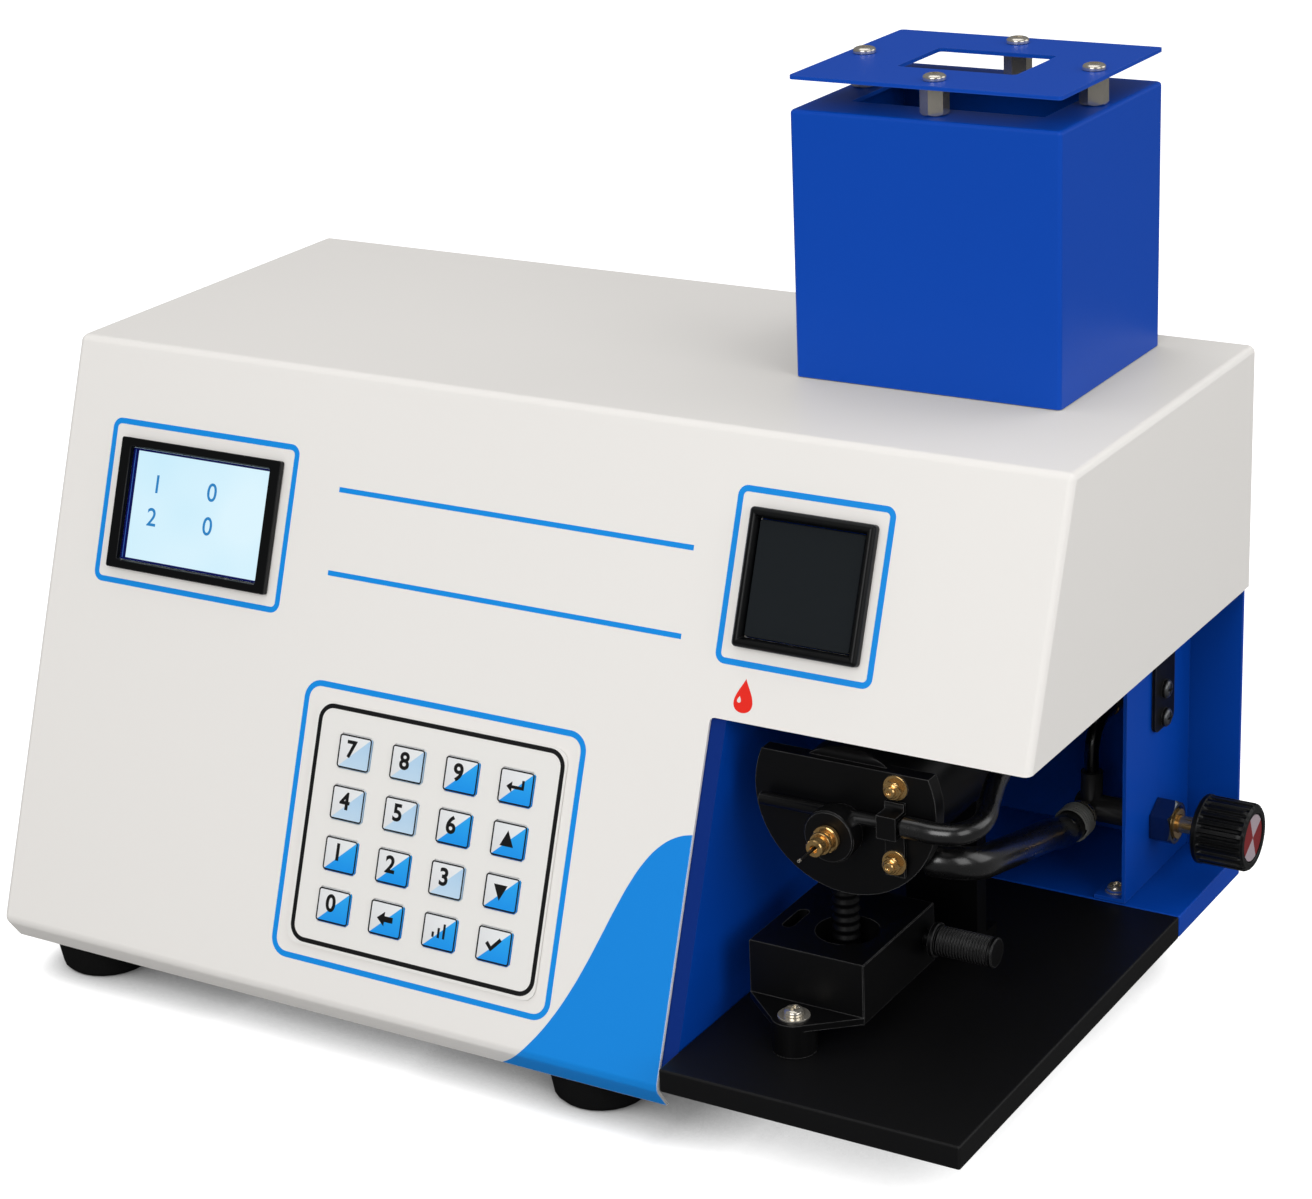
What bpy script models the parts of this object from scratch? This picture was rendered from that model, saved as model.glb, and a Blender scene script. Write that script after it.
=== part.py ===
"""Flame photometer: sheet-metal cabinet, keypad and display, open burner bay, gas valve and chimney.

Units are metres and +Z is up. Cabinet coordinates: x runs right from the cover's left side, y runs back
from the front panel's bottom fold, z runs up from the table. The cabinet empty moves them so that the
world origin is the centre of the finished box's bottom.
"""
import math

import bmesh
import bpy
from mathutils import Matrix, Vector

# General clearances and sheet sizes
SEAT_GAP = 0.0003            # gap between a piece and what it rests on
OVERRUN = 0.003              # how far a cutter runs past the face it cuts
COVER_SHEET = 0.0012
FRAME_SHEET = 0.0015

# Cover
COVER_WIDTH = 0.440
COVER_DEPTH = 0.252
TOP_SETBACK = 0.085          # the top's front edge lies this far behind the fold
FRONT_RISE = 0.227           # height of the sloped front above the fold
FOLD_HEIGHT = 0.0255         # the fold above the table
LIP_BACK = 0.0067
LIP_DROP = 0.0094
COVER_BEND = 0.0026          # outer bend radius
BAY_WIDTH = 0.126            # burner bay, from the cover's right edge
BAY_LEFT = COVER_WIDTH - BAY_WIDTH
HOOD_BOTTOM = 0.1545         # underside of the hood over the bay
HOOD_FLANGE = 0.008
BAY_CORNER_RADIUS = 0.002
BEND_SEGMENTS = 3
ROUND_PROFILE = 0.5          # bevel profile of a round edge
COVER_TOP = FOLD_HEIGHT + FRONT_RISE
SLOPE_LENGTH = math.hypot(TOP_SETBACK, FRONT_RISE)
SLOPE_ANGLE = math.atan2(FRONT_RISE, TOP_SETBACK)

# Floor, rear panel and walls
FLOOR_BOTTOM = 0.0290
FLOOR_RIGHT_INSET = 0.008    # the floor stops short of the burner deck's right edge
FLOOR_REAR_INSET = 0.002
FLOOR_FLANGE = 0.018         # height of the floor's turned-up left edge
REAR_RECESS = 0.0005         # rear panel behind the cover's rear edge
REAR_FLANGE = 0.012
WALL_SETBACK = 0.006         # the wall's face from the front panel's cut edge
WALL_RIGHT = BAY_LEFT + WALL_SETBACK
WALL_FLANGE = 0.014
PORT_RADIUS = 0.0115         # optical port in the compartment wall
PORT_CLEARANCE = 0.001

# Burner bay floor and side panel
DECK_OVERHANG = 0.008        # deck in front of the fold line
REAR_PAN_DEPTH = 0.066       # from the deck's rear edge to the cover's
DECK_REAR = COVER_DEPTH - REAR_PAN_DEPTH
DECK_THICKNESS = 0.0093
DECK_EDGE = 0.0008
SIDE_PANEL_INSET = 0.023     # the side panel's outer face from the cover's side
SIDE_PANEL_FACE = COVER_WIDTH - SIDE_PANEL_INSET
SIDE_PANEL_SETBACK = 0.0006  # the side panel's front edge from the deck
SIDE_PANEL_FRONT = DECK_REAR + SIDE_PANEL_SETBACK
SIDE_FLANGE = 0.013
BRACKET_WIDTH = 0.019
BRACKET_HEIGHT = 0.052
BRACKET_BOTTOM = 0.1035
BRACKET_SETBACK = 0.0415      # its front edge from the cover's rear edge
BRACKET_FRONT = COVER_DEPTH - BRACKET_SETBACK
BRACKET_THICKNESS = 0.0015
BRACKET_CORNER = 0.003
BRACKET_SCREW_HEIGHTS = (0.1075, 0.1195)

# Chimney and roof plate
CHIMNEY_WIDTH = 0.1084
CHIMNEY_DEPTH = 0.091
CHIMNEY_SIDE_MARGIN = 0.0336 # from the cover's right side
CHIMNEY_REAR_MARGIN = 0.0132
CHIMNEY_LEFT = COVER_WIDTH - CHIMNEY_SIDE_MARGIN - CHIMNEY_WIDTH
CHIMNEY_FRONT = COVER_DEPTH - CHIMNEY_REAR_MARGIN - CHIMNEY_DEPTH
CHIMNEY_HEIGHT = 0.1018
CHIMNEY_BEND = 0.0016
FLUE_WIDTH = 0.078
FLUE_DEPTH = 0.052
FLUE_WALL_MARGIN = 0.004     # hole in the cover from the compartment wall
ROOF_GAP = 0.011
ROOF_THICKNESS = 0.0015
ROOF_CORNER = 0.0015
ROOF_HOLE_WIDTH = 0.048
ROOF_HOLE_DEPTH = 0.036
ROOF_HOLE_CORNER = 0.0015
STANDOFF_REACH_X = 0.0465    # left and right standoffs from the chimney's centre
STANDOFF_REACH_Y = 0.0352
STANDOFF_RADIUS = 0.0054     # across the corners, half
ROOF_SCREW_SHANK = 0.0019
ROOF_SCREW_BORE = 0.0023
ROOF_SCREW_HEAD = 0.0043
ROOF_SCREW_DOME = 0.0025
ROOF_SCREW_GRIP = 0.006      # shank below the roof plate

# Feet
FOOT_TOP_RADIUS = 0.0235
FOOT_BOTTOM_RADIUS = 0.0190
FOOT_EDGE = 0.0018
FOOT_LEFT_X = 0.028
FOOT_BAY_MARGIN = 0.043      # middle foot from the burner bay
FOOT_SIDE_MARGIN = 0.045
FOOT_REAR_MARGIN = 0.037
FOOT_MIDDLE_X = BAY_LEFT - FOOT_BAY_MARGIN
FOOT_RIGHT_X = COVER_WIDTH - FOOT_SIDE_MARGIN
FOOT_FRONT_Y = 0.031
FOOT_REAR_Y = COVER_DEPTH - FOOT_REAR_MARGIN

# Display
LCD_CENTRE_X = 0.0711
LCD_CENTRE_V = 0.1779        # along the slope from the fold
LCD_BEZEL_WIDTH = 0.080
LCD_BEZEL_HEIGHT = 0.0527
LCD_SCREEN_WIDTH = 0.070
LCD_SCREEN_HEIGHT = 0.046
LCD_BEZEL_RISE = 0.0028
LCD_BEZEL_EDGE = 0.0008
LCD_GLASS_RISE = 0.0006
LCD_BOARD_WIDTH = 0.088
LCD_BOARD_HEIGHT = 0.062
LCD_BODY_DEPTH = 0.010
BOARD_THICKNESS = 0.0016
PART_CLEARANCE = 0.0004      # loose fit in a cut-out

# Flame window
WINDOW_BAY_OFFSET = 0.031    # its centre right of the bay's left edge
WINDOW_CENTRE_X = BAY_LEFT + WINDOW_BAY_OFFSET
WINDOW_CENTRE_V = 0.1900
WINDOW_FRAME_SIZE = 0.0507
WINDOW_GLASS_SIZE = 0.0433
WINDOW_FRAME_RISE = 0.0040
WINDOW_FRAME_EDGE = 0.0012
WINDOW_GLASS_RISE = 0.0018

# Keypad
KEYPAD_BAY_OFFSET = 0.1136   # its centre left of the bay's left edge
KEYPAD_CENTRE_X = BAY_LEFT - KEYPAD_BAY_OFFSET
KEYPAD_CENTRE_V = 0.0680
KEYPAD_WIDTH = 0.1150
KEYPAD_HEIGHT = 0.0950
KEYPAD_CORNER = 0.005
OVERLAY_THICKNESS = 0.0006
KEY_WIDTH = 0.0151
KEY_HEIGHT = 0.0132
KEY_PITCH_X = 0.0248
KEY_PITCH_V = 0.0200
KEY_CORNER = 0.0013
KEY_RISE = 0.0005            # above the overlay
KEY_GAP = 0.00035            # between a key and its opening
KEY_FLANGE = 0.0009
KEY_BOARD_GAP = 0.0008
KEY_COLUMNS = 4
KEY_ROWS = 4
KEYPAD_CUTOUT_MARGIN = 0.003
KEYPAD_BOARD_MARGIN = 0.004

# Mixing chamber, drain spout and burner
CHAMBER_SIDE_MARGIN = 0.0727 # chamber's axis from the cover's right side
CHAMBER_X = COVER_WIDTH - CHAMBER_SIDE_MARGIN
DISC_FRONT = 0.0500
DISC_THICKNESS = 0.0062
DISC_RADIUS = 0.0363
DISC_Z = 0.1311
DISC_FLAT = 0.0144    # flat top above the disc's centre
CHAMBER_RADIUS = 0.0260
CHAMBER_Z = 0.1248
CHAMBER_REAR_MARGIN = 0.040
CHAMBER_REAR = COVER_DEPTH - CHAMBER_REAR_MARGIN
CHAMBER_WALL = 0.003
LEG_BEHIND_BLOCK = 0.036     # leg's centre behind the drain trap block
LEG_THICKNESS = 0.008
LEG_WIDTH = 0.030
LEG_FOOT_DEPTH = 0.026
LEG_FOOT_HEIGHT = 0.004
SPOUT_OFFSET = 0.0085        # spout left of the chamber's axis
SPOUT_X = CHAMBER_X - SPOUT_OFFSET
SPOUT_Y = 0.0650
SPOUT_RADIUS = 0.0044
SPOUT_RIB = 0.0009
SPOUT_RIB_PITCH = 0.0036
SPOUT_RIBS = 8
SPOUT_BOTTOM = 0.0640
SPOUT_TOP = 0.1060
GAS_PORT_Y = 0.0630
GAS_PORT_Z = 0.1085
GAS_PORT_REACH = 0.0272      # port's end from the chamber's axis
GAS_PORT_LENGTH = 0.0145
GAS_PORT_RADIUS = 0.0045
GAS_PORT_END = CHAMBER_X + GAS_PORT_REACH
GAS_PORT_ROOT = GAS_PORT_END - GAS_PORT_LENGTH
BURNER_FROM_REAR = 0.019     # burner's axis from the chamber's rear end
BURNER_Y = CHAMBER_REAR - BURNER_FROM_REAR
BURNER_SEAT_RADIUS = 0.0125
BURNER_SEAT_TOP = 0.1530
BURNER_TUBE_RADIUS = 0.0095
BURNER_HEAD_RADIUS = 0.0150
BURNER_BORE = 0.0070
BURNER_SHOULDER = 0.1700
BURNER_TOP = 0.1860

# Nebulizer on the chamber's front
BOSS_Z = 0.1222
BOSS_NECK_RADIUS = 0.0080
BOSS_RADIUS = 0.0100
BOSS_NECK_LENGTH = 0.0050
BOSS_LENGTH = 0.0125
BOSS_EDGE = 0.0006
RAIL_RADIUS = 0.0024
RAIL_REACH_LEFT = 0.0316
RAIL_REACH_RIGHT = 0.0257
RAIL_LEFT = CHAMBER_X - RAIL_REACH_LEFT
RAIL_RIGHT = CHAMBER_X + RAIL_REACH_RIGHT
RAIL_Z = 0.1280
RAIL_DISC_GAP = 0.0019
NOZZLE_FLANGE_RADIUS = 0.0050
NOZZLE_FLANGE_LENGTH = 0.0022
NOZZLE_WAIST_RADIUS = 0.0034
NOZZLE_WAIST_LENGTH = 0.0020
NOZZLE_RING_RADIUS = 0.0042
NOZZLE_RING_LENGTH = 0.0018
NOZZLE_TIP_RADIUS = 0.0033
NOZZLE_TIP_LENGTH = 0.0045
CAPILLARY_RADIUS = 0.0006
CAPILLARY_LENGTH = 0.0110
CLAMP_OFFSET = 0.0207        # clamp right of the chamber's axis
CLAMP_X = CHAMBER_X + CLAMP_OFFSET
CLAMP_WIDTH = 0.0076
CLAMP_THICKNESS = 0.0015
CLAMP_END = 0.0055           # strap below the lower nut's centre
CLAMP_TOP = 0.1352
CLAMP_HAT_HALF = 0.0044      # half height of the strap's bridge
NUT_HEIGHTS = (0.1121, 0.1404)
NUT_WASHER_RADIUS = 0.0047
NUT_WASHER_THICKNESS = 0.0010
NUT_RADIUS = 0.0034
NUT_LENGTH = 0.0030
NUT_CAP_RADIUS = 0.0020
NUT_CAP_LENGTH = 0.0018

# Gas valve on the side panel
VALVE_REAR_MARGIN = 0.0342
VALVE_Y = COVER_DEPTH - VALVE_REAR_MARGIN
VALVE_Z = 0.0639
VALVE_THREAD_RADIUS = 0.0060
VALVE_INNER_REACH = 0.0150   # both reaches are from the panel's outer face
VALVE_OUTER_REACH = 0.0096
VALVE_INNER_END = SIDE_PANEL_FACE - VALVE_INNER_REACH
VALVE_INNER_RADIUS = 0.0055
VALVE_COLLAR_RADIUS = 0.0075
VALVE_COLLAR_LENGTH = 0.0050
VALVE_OUTER_END = SIDE_PANEL_FACE + VALVE_OUTER_REACH
VALVE_CLEARANCE = 0.0003
NUT_THICKNESS = 0.0085
NUT_CORNER_RADIUS = 0.0096
STEM_RADIUS = 0.0035
STEM_INNER_END = SIDE_PANEL_FACE
STEM_BORE_DEPTH = 0.0130     # room behind the stem for its travel
KNOB_STANDOFF = 0.0192       # knob's near end from the side panel
KNOB_NEAR = SIDE_PANEL_FACE + KNOB_STANDOFF
KNOB_LENGTH = 0.0214
KNOB_RADIUS = 0.0136
KNOB_FLUTES = 24
KNOB_FLUTE_DEPTH = 0.0009
KNOB_SKIRT = 0.0025          # smooth collar at the knob's near end
KNOB_SKIRT_RADIUS = 0.0139
KNOB_END_WEB = 0.0030        # material between the stem's end and the knob's face
KNOB_FACE_RADIUS = 0.0099
KNOB_FACE_DEPTH = 0.0008
ELBOW_INSET = 0.028          # elbow's axis from the panel's outer face
ELBOW_REACH = 0.0115
ELBOW_X = SIDE_PANEL_FACE - ELBOW_INSET
ELBOW_RADIUS = 0.0056
ELBOW_FRONT = VALVE_Y - ELBOW_REACH
ELBOW_TOP = 0.0795
BRANCH_RADIUS = 0.0045

# Hoses: outside radius and hand-chosen routes; each route is fitted to its two fittings
GAS_HOSE_RADIUS = 0.0062
GAS_HOSE_ROUTE = (
    (0.3948, 0.0625, 0.1085), (0.3985, 0.0626, 0.1085), (0.4046, 0.0666, 0.1071), (0.4078, 0.0760, 0.1038),
    (0.4066, 0.0950, 0.0982), (0.4040, 0.1170, 0.0912), (0.4008, 0.1400, 0.0838), (0.3966, 0.1620, 0.0758),
    (0.3922, 0.1780, 0.0682), (0.3896, 0.1880, 0.0636), (0.3890, 0.1940, 0.0626), (0.3890, 0.2060, 0.0626),
)
AIR_HOSE_RADIUS = 0.0040
AIR_HOSE_ROUTE = (
    (0.3933, 0.0457, 0.1280), (0.3995, 0.0457, 0.1280), (0.4060, 0.0458, 0.1279), (0.4125, 0.0485, 0.1279),
    (0.4160, 0.0560, 0.1280), (0.4155, 0.0650, 0.1284), (0.4120, 0.0760, 0.1298), (0.4085, 0.0900, 0.1322),
    (0.4062, 0.1100, 0.1345), (0.4050, 0.1400, 0.1355), (0.4050, 0.1700, 0.1355), (0.4050, 0.1950, 0.1335),
    (0.4050, 0.2130, 0.1280), (0.4050, 0.2250, 0.1246), (0.4050, 0.2360, 0.1240),
)
SUPPLY_HOSE_RADIUS = 0.0030
SUPPLY_HOSE_ROUTE = (
    (0.3890, 0.2155, 0.0798), (0.3890, 0.2155, 0.0850), (0.3890, 0.2168, 0.0915), (0.3890, 0.2208, 0.0968),
    (0.3890, 0.2262, 0.0994), (0.3890, 0.2310, 0.1000), (0.3890, 0.2360, 0.1000),
)
HOSE_POINT_SPACING = 0.005
HOSE_END = 0.001             # straight length at each end
BINDING_WIRE_RADIUS = 0.0005
BINDING_TURNS = 5
BINDING_PITCH = 0.0016
BINDING_FROM_ELBOW = 0.0093
BINDING_START_Y = ELBOW_FRONT - BINDING_FROM_ELBOW
BINDING_POINTS_PER_TURN = 24
ROUTE_SAMPLES = 12           # points worked out between two points of a route

# Drain trap block on the deck
BLOCK_SPOUT_OFFSET = 0.0255   # block's left side from the spout
BLOCK_LEFT = SPOUT_X - BLOCK_SPOUT_OFFSET
BLOCK_WIDTH = 0.0470
BLOCK_FRONT = 0.0370
BLOCK_LENGTH = 0.0570
BLOCK_HEIGHT = 0.0239
BLOCK_EDGE = 0.0004
POST_HEIGHT = 0.0100
POST_RADIUS = 0.0084
EAR_THICKNESS = 0.0026
EAR_REACH = 0.0095           # post's centre from the block's end
EAR_ARC = math.radians(110)
EAR_STEPS = 8
WELL_RADIUS = 0.0120
WELL_DEPTH = 0.0180
WELL_OFFSET_X = 0.0032       # well's centre right of the spout
WELL_OFFSET_Y = 0.0050       # well's centre in front of the spout
SLOT_WIDTH = 0.0046
SLOT_LENGTH = 0.0160
SLOT_DEPTH = 0.0120
SLOT_FROM_LEFT = 0.0072
DRAIN_SCREW_FROM_REAR = 0.0066
DRAIN_SCREW_Z = 0.0628
DRAIN_SHANK_RADIUS = 0.0030
DRAIN_BORE_RADIUS = 0.0034
DRAIN_BORE_DEPTH = 0.0080
DRAIN_COLLAR_RADIUS = 0.0066
DRAIN_COLLAR_NEAR = 0.0030   # collar from the block's side
DRAIN_COLLAR_LENGTH = 0.0022
DRAIN_BARREL_RADIUS = 0.0058
DRAIN_BARREL_LENGTH = 0.0235
PAN_WASHER_RADIUS = 0.0060
PAN_WASHER_THICKNESS = 0.0008
PAN_HEAD_RADIUS = 0.0038
PAN_HEAD_HEIGHT = 0.0026
PAN_DOME_SHARE = 0.4
PAN_CROWN_SHARE = 0.75

# Optics and electronics inside the main compartment
OPTICS_WIDTH = 0.070
OPTICS_DEPTH = 0.050
OPTICS_HEIGHT = 0.048
OPTICS_EDGE = 0.0015
FLAME_Z = 0.2050
BARREL_RADIUS = 0.0100
BARREL_REACH = 0.010
BARREL_BORE = 0.0070
BARREL_BORE_DEPTH = 0.012
OPTICS_WALL = 0.003
MAIN_BOARD_LEFT = 0.040
MAIN_BOARD_FRONT = 0.090
MAIN_BOARD_WIDTH = 0.150
MAIN_BOARD_DEPTH = 0.110
BOARD_POST_HEIGHT = 0.008
BOARD_POST_RADIUS = 0.003
BOARD_POST_INSET = 0.006
HEATSINK_SIZE = (0.040, 0.012, 0.025)
CAPACITOR_RADIUS = 0.009
CAPACITOR_HEIGHT = 0.024
CHIP_SIZE = (0.036, 0.014, 0.004)
BOARD_PART_INSET = 0.015
TRANSFORMER_INSET = 0.032    # transformer's centre from the board's right edge
TRANSFORMER_CORE = (0.048, 0.026, 0.040)
TRANSFORMER_COIL = (0.032, 0.040, 0.026)

# Mains inlet module, rocker and hose inlets on the rear panel
INLET_X = 0.080
INLET_Z = 0.085
INLET_FLANGE_WIDTH = 0.050
INLET_FLANGE_HEIGHT = 0.058
INLET_FLANGE_THICKNESS = 0.0028
INLET_BODY_WIDTH = 0.028
INLET_BODY_HEIGHT = 0.048
INLET_BODY_DEPTH = 0.028
SOCKET_WIDTH = 0.0240
SOCKET_HEIGHT = 0.0160
SOCKET_DEPTH = 0.0160
SOCKET_BELOW = 0.0125        # socket's centre below the module's centre
PIN_WIDTH = 0.0020
PIN_HEIGHT = 0.0040
PIN_LENGTH = 0.0120
PIN_SPREAD = 0.0070
EARTH_RISE = 0.0040
ROCKER_ABOVE = 0.0130        # rocker's centre above the module's centre
ROCKER_WIDTH = 0.0190
ROCKER_HEIGHT = 0.0130
ROCKER_CLEARANCE = 0.0005
ROCKER_DEPTH = 0.0080
ROCKER_RADIUS = 0.0090       # crown of the rocker about its pivot
ROCKER_TILT = math.radians(9.0)
ROCKER_POCKET = 0.0130
GAS_INLET_Z = 0.1000
AIR_INLET_Z = 0.1240
AIR_INLET_OFFSET = 0.0160     # air inlet right of the gas inlet
HOSE_INLET_SEATS = ((ELBOW_X, GAS_INLET_Z), (ELBOW_X + AIR_INLET_OFFSET, AIR_INLET_Z))
INLET_THREAD_RADIUS = 0.0050
INLET_CLEARANCE = 0.0003
INLET_PLATE_WIDTH = 0.036
INLET_PLATE_HEIGHT = 0.042
INLET_PLATE_THICKNESS = 0.0030
BARB_RADIUS = 0.0035
BARB_STEP = 0.0006
BARB_LENGTH = 0.0120
BARB_COUNT = 3
INLET_BORE_RADIUS = 0.0021
INLET_INNER_REACH = 0.0157   # from the cover's rear edge to the barbs' inner ends
INLET_INNER_END = COVER_DEPTH - INLET_INNER_REACH

# Counts of sides
FINE_SIDES = 32
ROUND_SIDES = 24
SMALL_SIDES = 14
SCREW_SIDES = 10

# Values worked out from the sizes above
FLOOR_TOP = FLOOR_BOTTOM + FRAME_SHEET
DECK_BOTTOM = FLOOR_TOP + SEAT_GAP
DECK_TOP = DECK_BOTTOM + DECK_THICKNESS
REAR_FACE = COVER_DEPTH - REAR_RECESS
REAR_INNER = REAR_FACE - FRAME_SHEET
SIDE_CLEAR = COVER_SHEET + SEAT_GAP
DECK_LEFT = WALL_RIGHT + SEAT_GAP
CHIMNEY_BOTTOM = COVER_TOP + SEAT_GAP
CHIMNEY_TOP = CHIMNEY_BOTTOM + CHIMNEY_HEIGHT
CHIMNEY_X = CHIMNEY_LEFT + CHIMNEY_WIDTH / 2
CHIMNEY_Y = CHIMNEY_FRONT + CHIMNEY_DEPTH / 2
ROOF_BOTTOM = CHIMNEY_TOP + ROOF_GAP
ROOF_TOP = ROOF_BOTTOM + ROOF_THICKNESS
BLOCK_BOTTOM = DECK_TOP + SEAT_GAP + POST_HEIGHT
BLOCK_TOP = BLOCK_BOTTOM + BLOCK_HEIGHT
BLOCK_RIGHT = BLOCK_LEFT + BLOCK_WIDTH
BLOCK_REAR = BLOCK_FRONT + BLOCK_LENGTH
BLOCK_X = BLOCK_LEFT + BLOCK_WIDTH / 2
LEG_Y = BLOCK_REAR + LEG_BEHIND_BLOCK
WELL_X = SPOUT_X + WELL_OFFSET_X
WELL_Y = SPOUT_Y - WELL_OFFSET_Y
BOSS_BACK = DISC_FRONT - SEAT_GAP
BOSS_FACE = BOSS_BACK - BOSS_LENGTH
RAIL_Y = DISC_FRONT - RAIL_DISC_GAP - RAIL_RADIUS
KNOB_END = KNOB_NEAR + KNOB_LENGTH
STEM_OUTER_END = KNOB_END - KNOB_END_WEB
PANEL_BACK = -COVER_SHEET
BEHIND_PANEL = PANEL_BACK - SEAT_GAP
BARB_END = REAR_FACE + SEAT_GAP + INLET_PLATE_THICKNESS + BARB_LENGTH
X_ORIGIN = KNOB_END / 2
Y_ORIGIN = (BARB_END - DECK_OVERHANG) / 2

# Colour, roughness and metallic value of each finish
FINISHES = {
    "white_paint": ((0.86, 0.85, 0.82), 0.42, 0.0),
    "blue_paint": ((0.005, 0.07, 0.42), 0.38, 0.0),
    "black_powder": ((0.012, 0.012, 0.013), 0.45, 0.0),
    "black_anodised": ((0.015, 0.015, 0.016), 0.38, 0.3),
    "black_rubber": ((0.02, 0.02, 0.021), 0.75, 0.0),
    "black_plastic": ((0.012, 0.012, 0.013), 0.28, 0.0),
    "black_hose": ((0.015, 0.015, 0.016), 0.25, 0.0),
    "steel": ((0.62, 0.60, 0.57), 0.28, 1.0),
    "brass": ((0.78, 0.55, 0.22), 0.25, 1.0),
    "grey_metal": ((0.16, 0.17, 0.17), 0.45, 0.8),
    "screen": ((0.70, 0.88, 0.97), 0.12, 0.0),
    "smoked_glass": ((0.02, 0.025, 0.03), 0.08, 0.0),
    "overlay_film": ((0.90, 0.90, 0.89), 0.35, 0.0),
    "key_film": ((0.85, 0.90, 0.94), 0.32, 0.0),
    "circuit_green": ((0.02, 0.20, 0.07), 0.5, 0.0),
    "copper_coil": ((0.30, 0.16, 0.06), 0.5, 0.3),
    "wire_wrap": ((0.55, 0.55, 0.53), 0.35, 0.6),
}


def clear_scene():
    """Empties the file so that the model starts from nothing."""
    for item in list(bpy.data.objects):
        bpy.data.objects.remove(item, do_unlink=True)
    for group in list(bpy.data.collections):
        bpy.data.collections.remove(group)


clear_scene()
PARTS = bpy.data.collections.new("flame_photometer")
CUTTERS = bpy.data.collections.new("cutters")
for group in (PARTS, CUTTERS):
    bpy.context.scene.collection.children.link(group)


def empty(name, location, rotation=(0, 0, 0), parent=None):
    """Adds an empty that carries pieces."""
    item = bpy.data.objects.new(name, None)
    item.location = location
    item.rotation_euler = rotation
    item.parent = parent
    PARTS.objects.link(item)
    return item


CABINET = empty("cabinet", (-X_ORIGIN, -Y_ORIGIN, 0))
PANEL = empty("front_panel_frame", (0, 0, FOLD_HEIGHT), (SLOPE_ANGLE, 0, 0), CABINET)


def material(piece_name, finish):
    """Makes the piece's own material from a named finish."""
    colour, roughness, metallic = FINISHES[finish]
    paint = bpy.data.materials.new(piece_name + "_" + finish)
    paint.use_nodes = True
    shader = paint.node_tree.nodes["Principled BSDF"]
    shader.inputs["Base Color"].default_value = (*colour, 1)
    shader.inputs["Roughness"].default_value = roughness
    shader.inputs["Metallic"].default_value = metallic
    return paint


def add(name, data, finish=None, parent=CABINET, location=(0, 0, 0), rotation=(0, 0, 0)):
    """Adds a piece, or a cutter when it has no finish."""
    item = bpy.data.objects.new(name, data)
    item.parent = parent
    item.location = location
    item.rotation_euler = rotation
    if finish is None:
        CUTTERS.objects.link(item)
        item.hide_render = True
        item.display_type = "WIRE"
    else:
        PARTS.objects.link(item)
        data.materials.append(material(name, finish))
    return item


def to_mesh(name, shape):
    """Turns a bmesh into a mesh with its faces pointing out."""
    bmesh.ops.recalc_face_normals(shape, faces=shape.faces)
    data = bpy.data.meshes.new(name)
    shape.to_mesh(data)
    shape.free()
    return data


def smooth(data, angle=math.radians(35)):
    """Shades a round piece smooth apart from its sharp edges."""
    data.shade_smooth()
    data.set_sharp_from_angle(angle=angle)
    return data


def box_mesh(name, low, high):
    """A box between two corners."""
    shape = bmesh.new()
    size = [b - a for a, b in zip(low, high)]
    middle = [(a + b) / 2 for a, b in zip(low, high)]
    matrix = Matrix.Translation(middle) @ Matrix.Diagonal((*size, 1))
    bmesh.ops.create_cube(shape, size=1, matrix=matrix)
    return to_mesh(name, shape)


def box(name, low, high, finish=None, parent=CABINET):
    """A box-shaped piece or cutter."""
    return add(name, box_mesh(name, low, high), finish, parent)


AXIS_TURNS = {
    "x": Matrix.Rotation(math.pi / 2, 4, "Y"),
    "y": Matrix.Rotation(-math.pi / 2, 4, "X"),
    "-y": Matrix.Rotation(math.pi / 2, 4, "X"),
    "z": Matrix.Identity(4),
    "-x": Matrix.Rotation(-math.pi / 2, 4, "Y"),
}


def cylinder_mesh(name, base, axis, radius, length, sides=ROUND_SIDES):
    """A cylinder that starts at base and runs along the named axis."""
    shape = bmesh.new()
    matrix = Matrix.Translation(base) @ AXIS_TURNS[axis] @ Matrix.Translation((0, 0, length / 2))
    bmesh.ops.create_cone(shape, cap_ends=True, segments=sides, radius1=radius, radius2=radius,
                          depth=length, matrix=matrix)
    return smooth(to_mesh(name, shape))


def cylinder(name, base, axis, radius, length, finish=None, sides=ROUND_SIDES, parent=CABINET):
    """A round piece or cutter."""
    return add(name, cylinder_mesh(name, base, axis, radius, length, sides), finish, parent)


def evaluated_mesh(item):
    """Reads an object as its modifiers or curve settings shape it."""
    bpy.context.view_layer.update()
    graph = bpy.context.evaluated_depsgraph_get()
    return bpy.data.meshes.new_from_object(item.evaluated_get(graph))


def welded(data, spacing=0.00001):
    """Closes a mesh's loose caps."""
    shape = bmesh.new()
    shape.from_mesh(data)
    bmesh.ops.remove_doubles(shape, verts=shape.verts, dist=spacing)
    bmesh.ops.recalc_face_normals(shape, faces=shape.faces)
    shape.to_mesh(data)
    shape.free()
    return data


def plate_mesh(name, outlines, thickness, matrix=None):
    """A flat plate between z = 0 and its thickness: the first outline is its rim, the rest are holes."""
    curve = bpy.data.curves.new(name + "_outline", "CURVE")
    curve.dimensions = "2D"
    curve.fill_mode = "BOTH"
    curve.extrude = thickness / 2
    for outline in outlines:
        spline = curve.splines.new("POLY")
        spline.points.add(len(outline) - 1)
        for point, (x, y) in zip(spline.points, outline):
            point.co = (x, y, 0, 1)
        spline.use_cyclic_u = True
    item = bpy.data.objects.new(name + "_outline", curve)
    CUTTERS.objects.link(item)
    data = evaluated_mesh(item)
    bpy.data.objects.remove(item)
    bpy.data.curves.remove(curve)
    data.name = name
    data.transform((matrix or Matrix.Identity(4)) @ Matrix.Translation((0, 0, thickness / 2)))
    return welded(data)


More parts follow.
